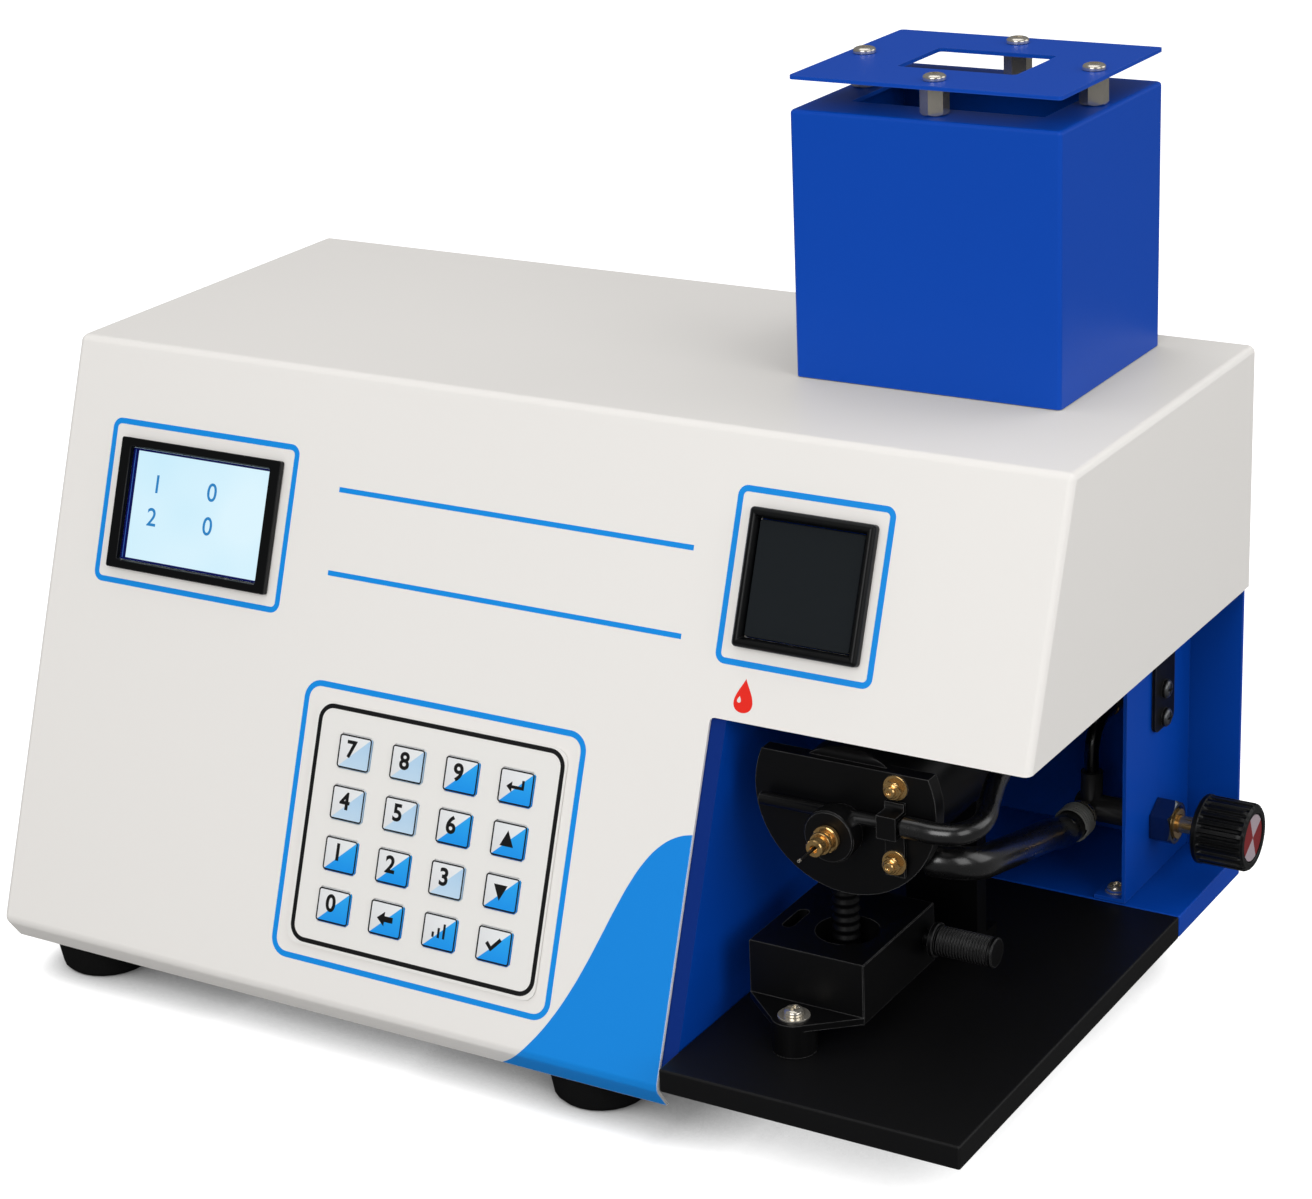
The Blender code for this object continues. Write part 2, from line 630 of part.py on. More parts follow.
def plate(name, outlines, thickness, finish=None, parent=CABINET, matrix=None):
    """A plate piece or cutter."""
    return add(name, plate_mesh(name, outlines, thickness, matrix), finish, parent)


def turned_mesh(name, profile, sides, base, axis):
    """Turns a profile of (radius, height) points, top to bottom, about the named axis from base."""
    outline = bpy.data.meshes.new(name + "_profile")
    points = [(radius, 0, height) for radius, height in profile]
    outline.from_pydata(points, [(i, i + 1) for i in range(len(points) - 1)], [])
    item = bpy.data.objects.new(name + "_profile", outline)
    CUTTERS.objects.link(item)
    spin = item.modifiers.new("turn", "SCREW")
    spin.steps = spin.render_steps = sides
    spin.use_merge_vertices = True
    spin.merge_threshold = 0.00001
    data = evaluated_mesh(item)
    bpy.data.objects.remove(item)
    bpy.data.meshes.remove(outline)
    data.name = name
    data.transform(Matrix.Translation(base) @ AXIS_TURNS[axis])
    return smooth(welded(data))


def turned(name, profile, base, axis, finish=None, sides=ROUND_SIDES, parent=CABINET):
    """A turned piece or cutter."""
    return add(name, turned_mesh(name, profile, sides, base, axis), finish, parent)


def boolean(target, operand, operation):
    """Adds a Boolean step to a piece."""
    step = target.modifiers.new(operation.lower() + "_" + operand.name, "BOOLEAN")
    step.operation = operation
    step.solver = "EXACT"
    step.object = operand


def cut(target, *cutters):
    """Takes the cutters out of a piece."""
    for cutter in cutters:
        boolean(target, cutter, "DIFFERENCE")


def join(target, *pieces):
    """Joins shapes to a piece."""
    for piece in pieces:
        boolean(target, piece, "UNION")


def bevel(item, width, segments=1, angle=math.radians(40)):
    """Rounds a piece's edges."""
    step = item.modifiers.new("edges", "BEVEL")
    step.width = width
    step.segments = segments
    step.limit_method = "ANGLE"
    step.angle_limit = angle
    return item


def rounded_rectangle(centre, width, height, radius, steps=3):
    """Points of a rectangle with round corners, anticlockwise."""
    points = []
    for corner, (side_x, side_y) in enumerate(((1, 1), (-1, 1), (-1, -1), (1, -1))):
        middle_x = centre[0] + side_x * (width / 2 - radius)
        middle_y = centre[1] + side_y * (height / 2 - radius)
        for step in range(steps + 1):
            turn = math.radians(90 * (corner + step / steps))
            points.append((middle_x + radius * math.cos(turn), middle_y + radius * math.sin(turn)))
    return points


def rectangle(low_x, high_x, low_y, high_y):
    """Corners of a rectangle, anticlockwise."""
    return [(low_x, low_y), (high_x, low_y), (high_x, high_y), (low_x, high_y)]


def circle(centre, radius, sides=ROUND_SIDES, start=0.0):
    """Points of a circle, anticlockwise."""
    turns = [start + 2 * math.pi * i / sides for i in range(sides)]
    return [(centre[0] + radius * math.cos(t), centre[1] + radius * math.sin(t)) for t in turns]


def offset_outline(points, distance):
    """Moves each side of an anticlockwise outline inwards by a distance."""
    moved = []
    count = len(points)
    for i in range(count):
        before, here, after = (Vector(points[(i + k) % count]) for k in (-1, 0, 1))
        first = (here - before).normalized()
        second = (after - here).normalized()
        inward_first = Vector((-first.y, first.x))
        inward_second = Vector((-second.y, second.x))
        bisector = (inward_first + inward_second) / (1 + inward_first.dot(inward_second))
        moved.append(tuple(here + bisector * distance))
    return moved


def slope_y(z):
    """Where the front panel's outer face lies at a height."""
    return (z - FOLD_HEIGHT) * TOP_SETBACK / FRONT_RISE


SLOPE_SHEET_RUN = COVER_SHEET * SLOPE_LENGTH / FRONT_RISE
SIDE_VIEW = Matrix(((0, 0, 1, 0), (1, 0, 0, 0), (0, 1, 0, 0), (0, 0, 0, 1)))
FRONT_VIEW = Matrix(((1, 0, 0, 0), (0, 0, -1, 0), (0, 1, 0, 0), (0, 0, 0, 1)))


def side_plate_matrix(x):
    """Places a plate drawn as (y, z) so that it runs to the right from x."""
    return Matrix.Translation((x, 0, 0)) @ SIDE_VIEW


def front_plate_matrix(y):
    """Places a plate drawn as (x, z) so that it runs forward from y."""
    return Matrix.Translation((0, y, 0)) @ FRONT_VIEW


def cover_profile(spare):
    """The cover's side outline with its open rear and bottom run out by a spare length."""
    stretch = (LIP_DROP + spare) / LIP_DROP
    low = FOLD_HEIGHT - LIP_DROP - spare
    return [(0, FOLD_HEIGHT), (LIP_BACK * stretch, low), (COVER_DEPTH + spare, low),
            (COVER_DEPTH + spare, COVER_TOP), (TOP_SETBACK, COVER_TOP)]


def make_cover():
    """The white shell: sloped front, top, left side and right skirt, open below, behind and at the bay."""
    sheet_angle = math.radians(15)
    cover = plate("top_cover", [cover_profile(OVERRUN)], COVER_WIDTH, "white_paint",
                  matrix=side_plate_matrix(0))
    bevel(cover, COVER_BEND, BEND_SEGMENTS, sheet_angle)
    far = COVER_DEPTH + OVERRUN * 4
    hollow = plate("cover_hollow", [offset_outline(cover_profile(OVERRUN * 2), COVER_SHEET)],
                   COVER_WIDTH - 2 * COVER_SHEET, matrix=side_plate_matrix(COVER_SHEET))
    bevel(hollow, COVER_BEND - COVER_SHEET, BEND_SEGMENTS, sheet_angle)
    cut(hollow, box("hood_floor_plug", (WALL_RIGHT + SEAT_GAP, -DECK_OVERHANG * 2, -OVERRUN * 3),
                    (COVER_WIDTH + OVERRUN * 2, far, HOOD_BOTTOM + COVER_SHEET)))
    bay = box("bay_cutter", (BAY_LEFT, -DECK_OVERHANG, -OVERRUN), (COVER_WIDTH + OVERRUN, far, HOOD_BOTTOM))
    bevel(bay, BAY_CORNER_RADIUS, BEND_SEGMENTS)
    hood_mouth = box("hood_mouth", (WALL_RIGHT - OVERRUN, slope_y(HOOD_BOTTOM) + HOOD_FLANGE,
                                    HOOD_BOTTOM - OVERRUN),
                     (COVER_WIDTH - HOOD_FLANGE, far + OVERRUN, HOOD_BOTTOM + OVERRUN))
    notch = box("hood_flange_notch", (COVER_WIDTH - HOOD_FLANGE * 2, REAR_FACE - REAR_FLANGE - OVERRUN,
                                      HOOD_BOTTOM - OVERRUN * 2),
                (COVER_WIDTH - COVER_SHEET, far + OVERRUN * 4, HOOD_BOTTOM + COVER_SHEET + OVERRUN))
    bottom = box("cover_bottom_trim", (-OVERRUN, -OVERRUN, -OVERRUN * 2),
                 (COVER_WIDTH + OVERRUN * 2, far + OVERRUN * 2, FOLD_HEIGHT - LIP_DROP))
    rear = box("cover_rear_trim", (-OVERRUN, COVER_DEPTH, -OVERRUN * 4),
               (COVER_WIDTH + OVERRUN * 3, far + OVERRUN * 3, COVER_TOP + OVERRUN))
    flue = box("flue_cutter", (WALL_RIGHT + FLUE_WALL_MARGIN, CHIMNEY_Y - FLUE_DEPTH / 2,
                               COVER_TOP - OVERRUN),
               (CHIMNEY_X + FLUE_WIDTH / 2, CHIMNEY_Y + FLUE_DEPTH / 2, COVER_TOP + OVERRUN * 2))
    cut(cover, hollow, bay, hood_mouth, notch, bottom, rear, flue)
    cut(cover, panel_cutter("lcd_cutout", LCD_CENTRE_X, LCD_CENTRE_V, LCD_SCREEN_WIDTH, LCD_SCREEN_HEIGHT),
        panel_cutter("window_cutout", WINDOW_CENTRE_X, WINDOW_CENTRE_V, WINDOW_GLASS_SIZE, WINDOW_GLASS_SIZE),
        panel_cutter("keypad_cutout", KEYPAD_CENTRE_X, KEYPAD_CENTRE_V, keypad_cutout_width(),
                     keypad_cutout_height()))
    smooth(cover.data)


def keypad_cutout_width():
    """Width of the hole behind the keys."""
    return (KEY_COLUMNS - 1) * KEY_PITCH_X + KEY_WIDTH + 2 * (KEY_FLANGE + KEYPAD_CUTOUT_MARGIN)


def keypad_cutout_height():
    """Height of the hole behind the keys."""
    return (KEY_ROWS - 1) * KEY_PITCH_V + KEY_HEIGHT + 2 * (KEY_FLANGE + KEYPAD_CUTOUT_MARGIN)


def panel_cutter(name, x, v, width, height):
    """A cutter through the front panel, in the panel's own frame."""
    return box(name, (x - width / 2, v - height / 2, -OVERRUN), (x + width / 2, v + height / 2, OVERRUN),
               parent=PANEL)


def make_floor():
    """The blue sheet floor with its turned-up left edge and the posts that carry the circuit board."""
    front = slope_y(FLOOR_TOP) + SLOPE_SHEET_RUN + COVER_BEND
    left, right = SIDE_CLEAR, COVER_WIDTH - FLOOR_RIGHT_INSET
    rear = REAR_FACE - FLOOR_REAR_INSET
    floor = box("chassis_base", (left, front, FLOOR_BOTTOM), (right, rear, FLOOR_TOP), "blue_paint")
    flange_front = slope_y(FLOOR_TOP + FLOOR_FLANGE) + SLOPE_SHEET_RUN + COVER_BEND
    flange = box("floor_flange", (left, flange_front, FLOOR_BOTTOM),
                 (left + FRAME_SHEET, rear - REAR_FLANGE - FRAME_SHEET, FLOOR_TOP + FLOOR_FLANGE))
    join(floor, flange)
    inset = BOARD_POST_INSET
    for x in (MAIN_BOARD_LEFT + inset, MAIN_BOARD_LEFT + MAIN_BOARD_WIDTH - inset):
        for y in (MAIN_BOARD_FRONT + inset, MAIN_BOARD_FRONT + MAIN_BOARD_DEPTH - inset):
            join(floor, cylinder("board_post", (x, y, FLOOR_BOTTOM + FRAME_SHEET / 2), "z", BOARD_POST_RADIUS,
                                 FRAME_SHEET / 2 + BOARD_POST_HEIGHT, sides=SCREW_SIDES))


def make_rear_panel():
    """The blue back with its holes for the mains inlet and the hose inlets, and its two side flanges."""
    left, right = SIDE_CLEAR, COVER_WIDTH - SIDE_CLEAR
    bottom, top = FLOOR_TOP + SEAT_GAP, COVER_TOP - COVER_SHEET - SEAT_GAP
    inlet = rectangle(INLET_X - INLET_BODY_WIDTH / 2 - PART_CLEARANCE,
                      INLET_X + INLET_BODY_WIDTH / 2 + PART_CLEARANCE,
                      INLET_Z - INLET_BODY_HEIGHT / 2 - PART_CLEARANCE,
                      INLET_Z + INLET_BODY_HEIGHT / 2 + PART_CLEARANCE)
    holes = [circle(seat, INLET_THREAD_RADIUS + INLET_CLEARANCE, SMALL_SIDES) for seat in HOSE_INLET_SEATS]
    centre = ((left + right) / 2, (bottom + top) / 2)
    rim = rounded_rectangle(centre, right - left, top - bottom, COVER_BEND, 1)
    panel = plate("rear_panel", [rim, inlet, *holes], FRAME_SHEET,
                  "blue_paint", matrix=front_plate_matrix(REAR_FACE))
    for name, x, low in (("left", left, bottom), ("right", right - FRAME_SHEET, HOOD_BOTTOM + HOOD_FLANGE)):
        join(panel, box("rear_flange_" + name, (x, REAR_FACE - REAR_FLANGE, low),
                        (x + FRAME_SHEET, REAR_FACE - FRAME_SHEET / 2, top - COVER_BEND)))


def make_compartment_wall():
    """The blue wall left of the bay: optical port, front flange behind the panel and a foot flange."""
    bottom, top = FLOOR_TOP + SEAT_GAP, COVER_TOP - COVER_SHEET - SEAT_GAP
    run = SLOPE_SHEET_RUN + SEAT_GAP * SLOPE_LENGTH / FRONT_RISE
    outline = [(slope_y(bottom) + run, bottom), (REAR_INNER - SEAT_GAP, bottom),
               (REAR_INNER - SEAT_GAP, top), (TOP_SETBACK + COVER_BEND, top),
               (slope_y(top - COVER_BEND) + run, top - COVER_BEND)]
    port = circle((BURNER_Y, FLAME_Z), PORT_RADIUS)
    wall = plate("compartment_wall", [outline, port], FRAME_SHEET, "blue_paint",
                 matrix=side_plate_matrix(WALL_RIGHT - FRAME_SHEET))
    low_v = (bottom - FOLD_HEIGHT) * SLOPE_LENGTH / FRONT_RISE + FRAME_SHEET
    high_v = SLOPE_LENGTH - COVER_SHEET - COVER_BEND - FRAME_SHEET
    front = box("wall_front_flange", (WALL_RIGHT - WALL_FLANGE, low_v, BEHIND_PANEL - FRAME_SHEET),
                (WALL_RIGHT - FRAME_SHEET / 2, high_v, BEHIND_PANEL), parent=PANEL)
    foot = box("wall_foot_flange",
               (WALL_RIGHT - WALL_FLANGE, slope_y(bottom) + run + FRAME_SHEET * 2, bottom),
               (WALL_RIGHT - FRAME_SHEET / 2, REAR_INNER - SEAT_GAP, bottom + FRAME_SHEET))
    join(wall, front, foot)


def sheet_pan(name, low, high, finish):
    """A shallow pan with a flat top and turned-down edges, open below."""
    pan = box(name, low, high, finish)
    bevel(pan, DECK_EDGE, 2)
    cut(pan, box(name + "_hollow", (low[0] + FRAME_SHEET, low[1] + FRAME_SHEET, low[2] - OVERRUN),
                 (high[0] - FRAME_SHEET, high[1] - FRAME_SHEET, high[2] - FRAME_SHEET)))


def make_bay_floor():
    """The black deck of the burner bay and the blue pan behind it."""
    sheet_pan("burner_deck", (DECK_LEFT, -DECK_OVERHANG, DECK_BOTTOM), (COVER_WIDTH, DECK_REAR, DECK_TOP),
              "black_powder")
    sheet_pan("bay_floor", (DECK_LEFT, DECK_REAR + SEAT_GAP, DECK_BOTTOM),
              (COVER_WIDTH, REAR_INNER - SEAT_GAP, DECK_TOP), "blue_paint")


def make_side_panel():
    """The inset blue panel that carries the gas valve, with its foot flange."""
    bottom, top = DECK_TOP + SEAT_GAP, COVER_TOP - COVER_SHEET - SEAT_GAP
    rear = REAR_INNER - SEAT_GAP
    hole = circle((VALVE_Y, VALVE_Z), VALVE_THREAD_RADIUS + VALVE_CLEARANCE)
    panel = plate("side_panel", [rectangle(SIDE_PANEL_FRONT, rear, bottom, top), hole], FRAME_SHEET,
                  "blue_paint", matrix=side_plate_matrix(SIDE_PANEL_FACE - FRAME_SHEET))
    join(panel, box("side_panel_foot", (SIDE_PANEL_FACE - SIDE_FLANGE, SIDE_PANEL_FRONT, bottom),
                    (SIDE_PANEL_FACE - FRAME_SHEET / 2, rear, bottom + FRAME_SHEET)),
         pan_screw((SIDE_PANEL_FACE - SIDE_FLANGE / 2, SIDE_PANEL_FRONT + PAN_WASHER_RADIUS,
                    bottom + FRAME_SHEET - SEAT_GAP), "z", False))


def make_bracket():
    """The small black plate on the side panel's outer face."""
    centre = (BRACKET_FRONT + BRACKET_WIDTH / 2, BRACKET_BOTTOM + BRACKET_HEIGHT / 2)
    outline = rounded_rectangle(centre, BRACKET_WIDTH, BRACKET_HEIGHT, BRACKET_CORNER)
    bracket = plate("side_bracket", [outline], BRACKET_THICKNESS, "black_powder",
                    matrix=side_plate_matrix(SIDE_PANEL_FACE + SEAT_GAP))
    for height in BRACKET_SCREW_HEIGHTS:
        join(bracket, pan_screw((SIDE_PANEL_FACE + BRACKET_THICKNESS, centre[0], height), "x", False))


def screw_profile(head, dome, shank, grip):
    """Button-head screw: a dome on a short rim above z = 0 and the shank below."""
    rim_share, shoulder_share, crown_share = 0.35, 0.78, 0.35
    return [(0, dome), (head * crown_share, dome), (head * shoulder_share, dome * (1 + rim_share) / 2),
            (head, dome * rim_share), (head, 0), (shank, 0), (shank, -grip), (0, -grip)]


def standoff_places():
    """Centres of the four standoffs, at the middle of each side of the chimney."""
    return [(CHIMNEY_X + STANDOFF_REACH_X * a, CHIMNEY_Y + STANDOFF_REACH_Y * b)
            for a, b in ((1, 0), (0, 1), (-1, 0), (0, -1))]


def make_chimney():
    """The blue chimney box with its flue opening, and the roof plate held above it."""
    low = (CHIMNEY_LEFT, CHIMNEY_FRONT, CHIMNEY_BOTTOM)
    high = (CHIMNEY_LEFT + CHIMNEY_WIDTH, CHIMNEY_FRONT + CHIMNEY_DEPTH, CHIMNEY_TOP)
    chimney = plate("chimney_box", [rectangle(low[0], high[0], low[1], high[1])],
                    CHIMNEY_HEIGHT + OVERRUN, "blue_paint",
                    matrix=Matrix.Translation((0, 0, low[2] - OVERRUN)))
    bevel(chimney, CHIMNEY_BEND, BEND_SEGMENTS)
    trim = box("chimney_trim", (low[0] - OVERRUN, low[1] - OVERRUN, low[2] - 2 * OVERRUN),
               (high[0] + OVERRUN, high[1] + OVERRUN, low[2]))
    hollow = box("chimney_hollow", (low[0] + FRAME_SHEET, low[1] + FRAME_SHEET, low[2] - OVERRUN),
                 (high[0] - FRAME_SHEET, high[1] - FRAME_SHEET, high[2] - FRAME_SHEET))
    mouth = box("chimney_mouth", (CHIMNEY_X - FLUE_WIDTH / 2, CHIMNEY_Y - FLUE_DEPTH / 2, high[2] - OVERRUN),
                (CHIMNEY_X + FLUE_WIDTH / 2, CHIMNEY_Y + FLUE_DEPTH / 2, high[2] + OVERRUN))
    cut(chimney, trim, hollow, mouth)
    rim = rounded_rectangle((CHIMNEY_X, CHIMNEY_Y), CHIMNEY_WIDTH, CHIMNEY_DEPTH, ROOF_CORNER, 2)
    hole = rounded_rectangle((CHIMNEY_X, CHIMNEY_Y), ROOF_HOLE_WIDTH, ROOF_HOLE_DEPTH, ROOF_HOLE_CORNER, 2)
    bores = [circle(place, ROOF_SCREW_BORE, SCREW_SIDES) for place in standoff_places()]
    plate("roof_plate", [rim, hole, *bores], ROOF_THICKNESS, "blue_paint",
          matrix=Matrix.Translation((0, 0, ROOF_BOTTOM)))
    for side, place in zip(("right", "rear", "left", "front"), standoff_places()):
        post = plate("roof_post_" + side, [circle(place, STANDOFF_RADIUS, 6, math.pi / 2)],
                     ROOF_GAP - 2 * SEAT_GAP, "steel",
                     matrix=Matrix.Translation((0, 0, CHIMNEY_TOP + SEAT_GAP)))
        screw = screw_profile(ROOF_SCREW_HEAD, ROOF_SCREW_DOME, ROOF_SCREW_SHANK, ROOF_SCREW_GRIP)
        join(post, turned("roof_screw", screw, (*place, ROOF_TOP + SEAT_GAP), "z", sides=SCREW_SIDES))


def make_feet():
    """Four tapered rubber feet under the floor."""
    height = FLOOR_BOTTOM - SEAT_GAP
    profile = [(0, height), (FOOT_TOP_RADIUS, height), (FOOT_BOTTOM_RADIUS, FOOT_EDGE),
               (FOOT_BOTTOM_RADIUS - FOOT_EDGE, 0), (0, 0)]
    places = {"front_left": (FOOT_LEFT_X, FOOT_FRONT_Y), "front_middle": (FOOT_MIDDLE_X, FOOT_FRONT_Y),
              "rear_left": (FOOT_LEFT_X, FOOT_REAR_Y), "rear_right": (FOOT_RIGHT_X, FOOT_REAR_Y)}
    for name, (x, y) in places.items():
        turned("foot_" + name, profile, (x, y, 0), "z", "black_rubber")


def make_display():
    """Display bezel on the panel's face and the display module in its cut-out."""
    centre = (LCD_CENTRE_X, LCD_CENTRE_V)
    outer = rounded_rectangle(centre, LCD_BEZEL_WIDTH, LCD_BEZEL_HEIGHT, LCD_BEZEL_EDGE, 2)
    inner = rounded_rectangle(centre, LCD_SCREEN_WIDTH, LCD_SCREEN_HEIGHT, LCD_BEZEL_EDGE, 2)
    bezel = plate("lcd_bezel", [outer, inner], LCD_BEZEL_RISE - SEAT_GAP, "black_plastic", PANEL,
                  Matrix.Translation((0, 0, SEAT_GAP)))
    bevel(bezel, LCD_BEZEL_EDGE / 2, 1, math.radians(60))
    half_w, half_h = LCD_SCREEN_WIDTH / 2 - PART_CLEARANCE, LCD_SCREEN_HEIGHT / 2 - PART_CLEARANCE
    module = box("lcd_module", (centre[0] - half_w, centre[1] - half_h, BEHIND_PANEL - LCD_BODY_DEPTH),
                 (centre[0] + half_w, centre[1] + half_h, LCD_GLASS_RISE), "screen", PANEL)
    board = box("lcd_board", (centre[0] - LCD_BOARD_WIDTH / 2, centre[1] - LCD_BOARD_HEIGHT / 2,
                              BEHIND_PANEL - BOARD_THICKNESS),
                (centre[0] + LCD_BOARD_WIDTH / 2, centre[1] + LCD_BOARD_HEIGHT / 2, BEHIND_PANEL),
                parent=PANEL)
    join(module, board)


def make_window():
    """Flame-view window: raised black frame and smoked glass."""
    centre = (WINDOW_CENTRE_X, WINDOW_CENTRE_V)
    outer = rounded_rectangle(centre, WINDOW_FRAME_SIZE, WINDOW_FRAME_SIZE, WINDOW_FRAME_EDGE, 2)
    inner = rounded_rectangle(centre, WINDOW_GLASS_SIZE, WINDOW_GLASS_SIZE, WINDOW_FRAME_EDGE, 2)
    frame = plate("window_frame", [outer, inner], WINDOW_FRAME_RISE - SEAT_GAP, "black_plastic", PANEL,
                  Matrix.Translation((0, 0, SEAT_GAP)))
    bevel(frame, WINDOW_FRAME_EDGE, 1, math.radians(60))
    half = WINDOW_GLASS_SIZE / 2 - PART_CLEARANCE
    box("window_glass", (centre[0] - half, centre[1] - half, BEHIND_PANEL),
        (centre[0] + half, centre[1] + half, WINDOW_GLASS_RISE), "smoked_glass", PANEL)


def key_place(column, row):
    """Centre of a key on the panel; row 0 is the top row."""
    x = KEYPAD_CENTRE_X + (column - (KEY_COLUMNS - 1) / 2) * KEY_PITCH_X
    v = KEYPAD_CENTRE_V + ((KEY_ROWS - 1) / 2 - row) * KEY_PITCH_V
    return x, v


def key_mesh():
    """One key: a flange that stays under the overlay and a cap that stands through it."""
    bottom = BEHIND_PANEL + KEY_BOARD_GAP
    cap_top = SEAT_GAP + OVERLAY_THICKNESS + KEY_RISE
    shape = bmesh.new()
    size = (KEY_WIDTH + 2 * KEY_FLANGE, KEY_HEIGHT + 2 * KEY_FLANGE, -bottom)
    bmesh.ops.create_cube(shape, size=1, matrix=Matrix.Translation((0, 0, bottom / 2))
                          @ Matrix.Diagonal((*size, 1)))
    upright = [edge for edge in shape.edges if abs(edge.verts[0].co.z - edge.verts[1].co.z) > KEY_FLANGE / 2]
    bmesh.ops.bevel(shape, geom=upright, offset=KEY_CORNER + KEY_FLANGE, segments=2, profile=ROUND_PROFILE,
                    affect="EDGES")
    top = max(shape.faces, key=lambda face: face.calc_center_median().z)
    bmesh.ops.inset_region(shape, faces=[top], thickness=KEY_FLANGE, use_even_offset=True)
    raised = bmesh.ops.extrude_face_region(shape, geom=[top])
    verts = [item for item in raised["geom"] if isinstance(item, bmesh.types.BMVert)]
    bmesh.ops.translate(shape, verts=verts, vec=(0, 0, cap_top))
    bmesh.ops.delete(shape, geom=[top], context="FACES")
    return to_mesh("key", shape)


KEY_NAMES = (
    ("key_7", "key_8", "key_9", "key_enter"),
    ("key_4", "key_5", "key_6", "key_up"),
    ("key_1", "key_2", "key_3", "key_down"),
    ("key_0", "key_escape", "key_calibrate", "key_set"),
)


def make_keypad():
    """Overlay film, sixteen keys and the circuit board behind them."""
    centre = (KEYPAD_CENTRE_X, KEYPAD_CENTRE_V)
    outer = rounded_rectangle(centre, KEYPAD_WIDTH, KEYPAD_HEIGHT, KEYPAD_CORNER)
    holes = [rounded_rectangle(key_place(column, row), KEY_WIDTH + 2 * KEY_GAP, KEY_HEIGHT + 2 * KEY_GAP,
                               KEY_CORNER, 1)
             for column in range(KEY_COLUMNS) for row in range(KEY_ROWS)]
    plate("keypad_overlay", [outer, *holes], OVERLAY_THICKNESS, "overlay_film", PANEL,
          Matrix.Translation((0, 0, SEAT_GAP)))
    half_w = keypad_cutout_width() / 2 + KEYPAD_BOARD_MARGIN
    half_h = keypad_cutout_height() / 2 + KEYPAD_BOARD_MARGIN
    box("keypad_board", (centre[0] - half_w, centre[1] - half_h, BEHIND_PANEL - BOARD_THICKNESS),
        (centre[0] + half_w, centre[1] + half_h, BEHIND_PANEL), "circuit_green", PANEL)
    for row, names in enumerate(KEY_NAMES):
        for column, name in enumerate(names):
            add(name, key_mesh(), "key_film", PANEL, (*key_place(column, row), 0))


def disc_outline():
    """The chamber's front disc: a circle with a flat top, drawn as (x, z)."""
    start = math.asin(DISC_FLAT / DISC_RADIUS)
    sweep = math.pi + 2 * start
    turns = [math.pi - start + sweep * i / FINE_SIDES for i in range(FINE_SIDES + 1)]
    return [(CHAMBER_X + DISC_RADIUS * math.cos(t), DISC_Z + DISC_RADIUS * math.sin(t)) for t in turns]


def spout_profile():
    """The ribbed drain spout, from its top down."""
    profile = [(0, SPOUT_TOP), (SPOUT_RADIUS, SPOUT_TOP)]
    first = SPOUT_BOTTOM + SPOUT_RIBS * SPOUT_RIB_PITCH
    for rib in range(SPOUT_RIBS):
        height = first - rib * SPOUT_RIB_PITCH
        profile += [(SPOUT_RADIUS, height), (SPOUT_RADIUS + SPOUT_RIB, height - SPOUT_RIB_PITCH / 2)]
    return profile + [(SPOUT_RADIUS, SPOUT_BOTTOM), (0, SPOUT_BOTTOM)]


def make_chamber():
    """The mixing chamber: front disc, body, leg on the deck, drain spout, gas port and burner seat."""
    chamber = plate("mixing_chamber", [disc_outline()], DISC_THICKNESS, "black_anodised",
                    matrix=front_plate_matrix(DISC_FRONT + DISC_THICKNESS))
    body_start = DISC_FRONT + DISC_THICKNESS / 2
    body = cylinder("chamber_body", (CHAMBER_X, body_start, CHAMBER_Z), "y", CHAMBER_RADIUS,
                    CHAMBER_REAR - body_start, sides=FINE_SIDES)
    leg = box("chamber_leg", (CHAMBER_X - LEG_WIDTH / 2, LEG_Y - LEG_THICKNESS / 2, DECK_TOP + SEAT_GAP),
              (CHAMBER_X + LEG_WIDTH / 2, LEG_Y + LEG_THICKNESS / 2, CHAMBER_Z - CHAMBER_RADIUS / 2))
    foot = box("chamber_leg_foot",
               (CHAMBER_X - LEG_WIDTH / 2, LEG_Y - LEG_FOOT_DEPTH / 2, DECK_TOP + SEAT_GAP),
               (CHAMBER_X + LEG_WIDTH / 2, LEG_Y + LEG_FOOT_DEPTH / 2, DECK_TOP + SEAT_GAP + LEG_FOOT_HEIGHT))
    spout = turned("drain_spout", spout_profile(), (SPOUT_X, SPOUT_Y, 0), "z", sides=SMALL_SIDES)
    port = cylinder("gas_port", (GAS_PORT_ROOT, GAS_PORT_Y, GAS_PORT_Z), "x", GAS_PORT_RADIUS,
                    GAS_PORT_END - GAS_PORT_ROOT, sides=SMALL_SIDES)
    seat = cylinder("burner_seat", (CHAMBER_X, BURNER_Y, CHAMBER_Z), "z", BURNER_SEAT_RADIUS,
                    BURNER_SEAT_TOP - CHAMBER_Z)
    join(chamber, body, leg, foot, spout, port, seat, chamber_nut(NUT_HEIGHTS[1], DISC_FRONT + SEAT_GAP))
    cavity_start = DISC_FRONT + DISC_THICKNESS + CHAMBER_WALL
    cavity = cylinder("chamber_cavity", (CHAMBER_X, cavity_start, CHAMBER_Z), "y",
                      CHAMBER_RADIUS - CHAMBER_WALL, CHAMBER_REAR - CHAMBER_WALL - cavity_start)
    outlet = cylinder("seat_bore", (CHAMBER_X, BURNER_Y, CHAMBER_Z), "z", BURNER_BORE,
                      BURNER_SEAT_TOP - CHAMBER_Z + OVERRUN, sides=SMALL_SIDES)
    cut(chamber, cavity, outlet)
    smooth(chamber.data)


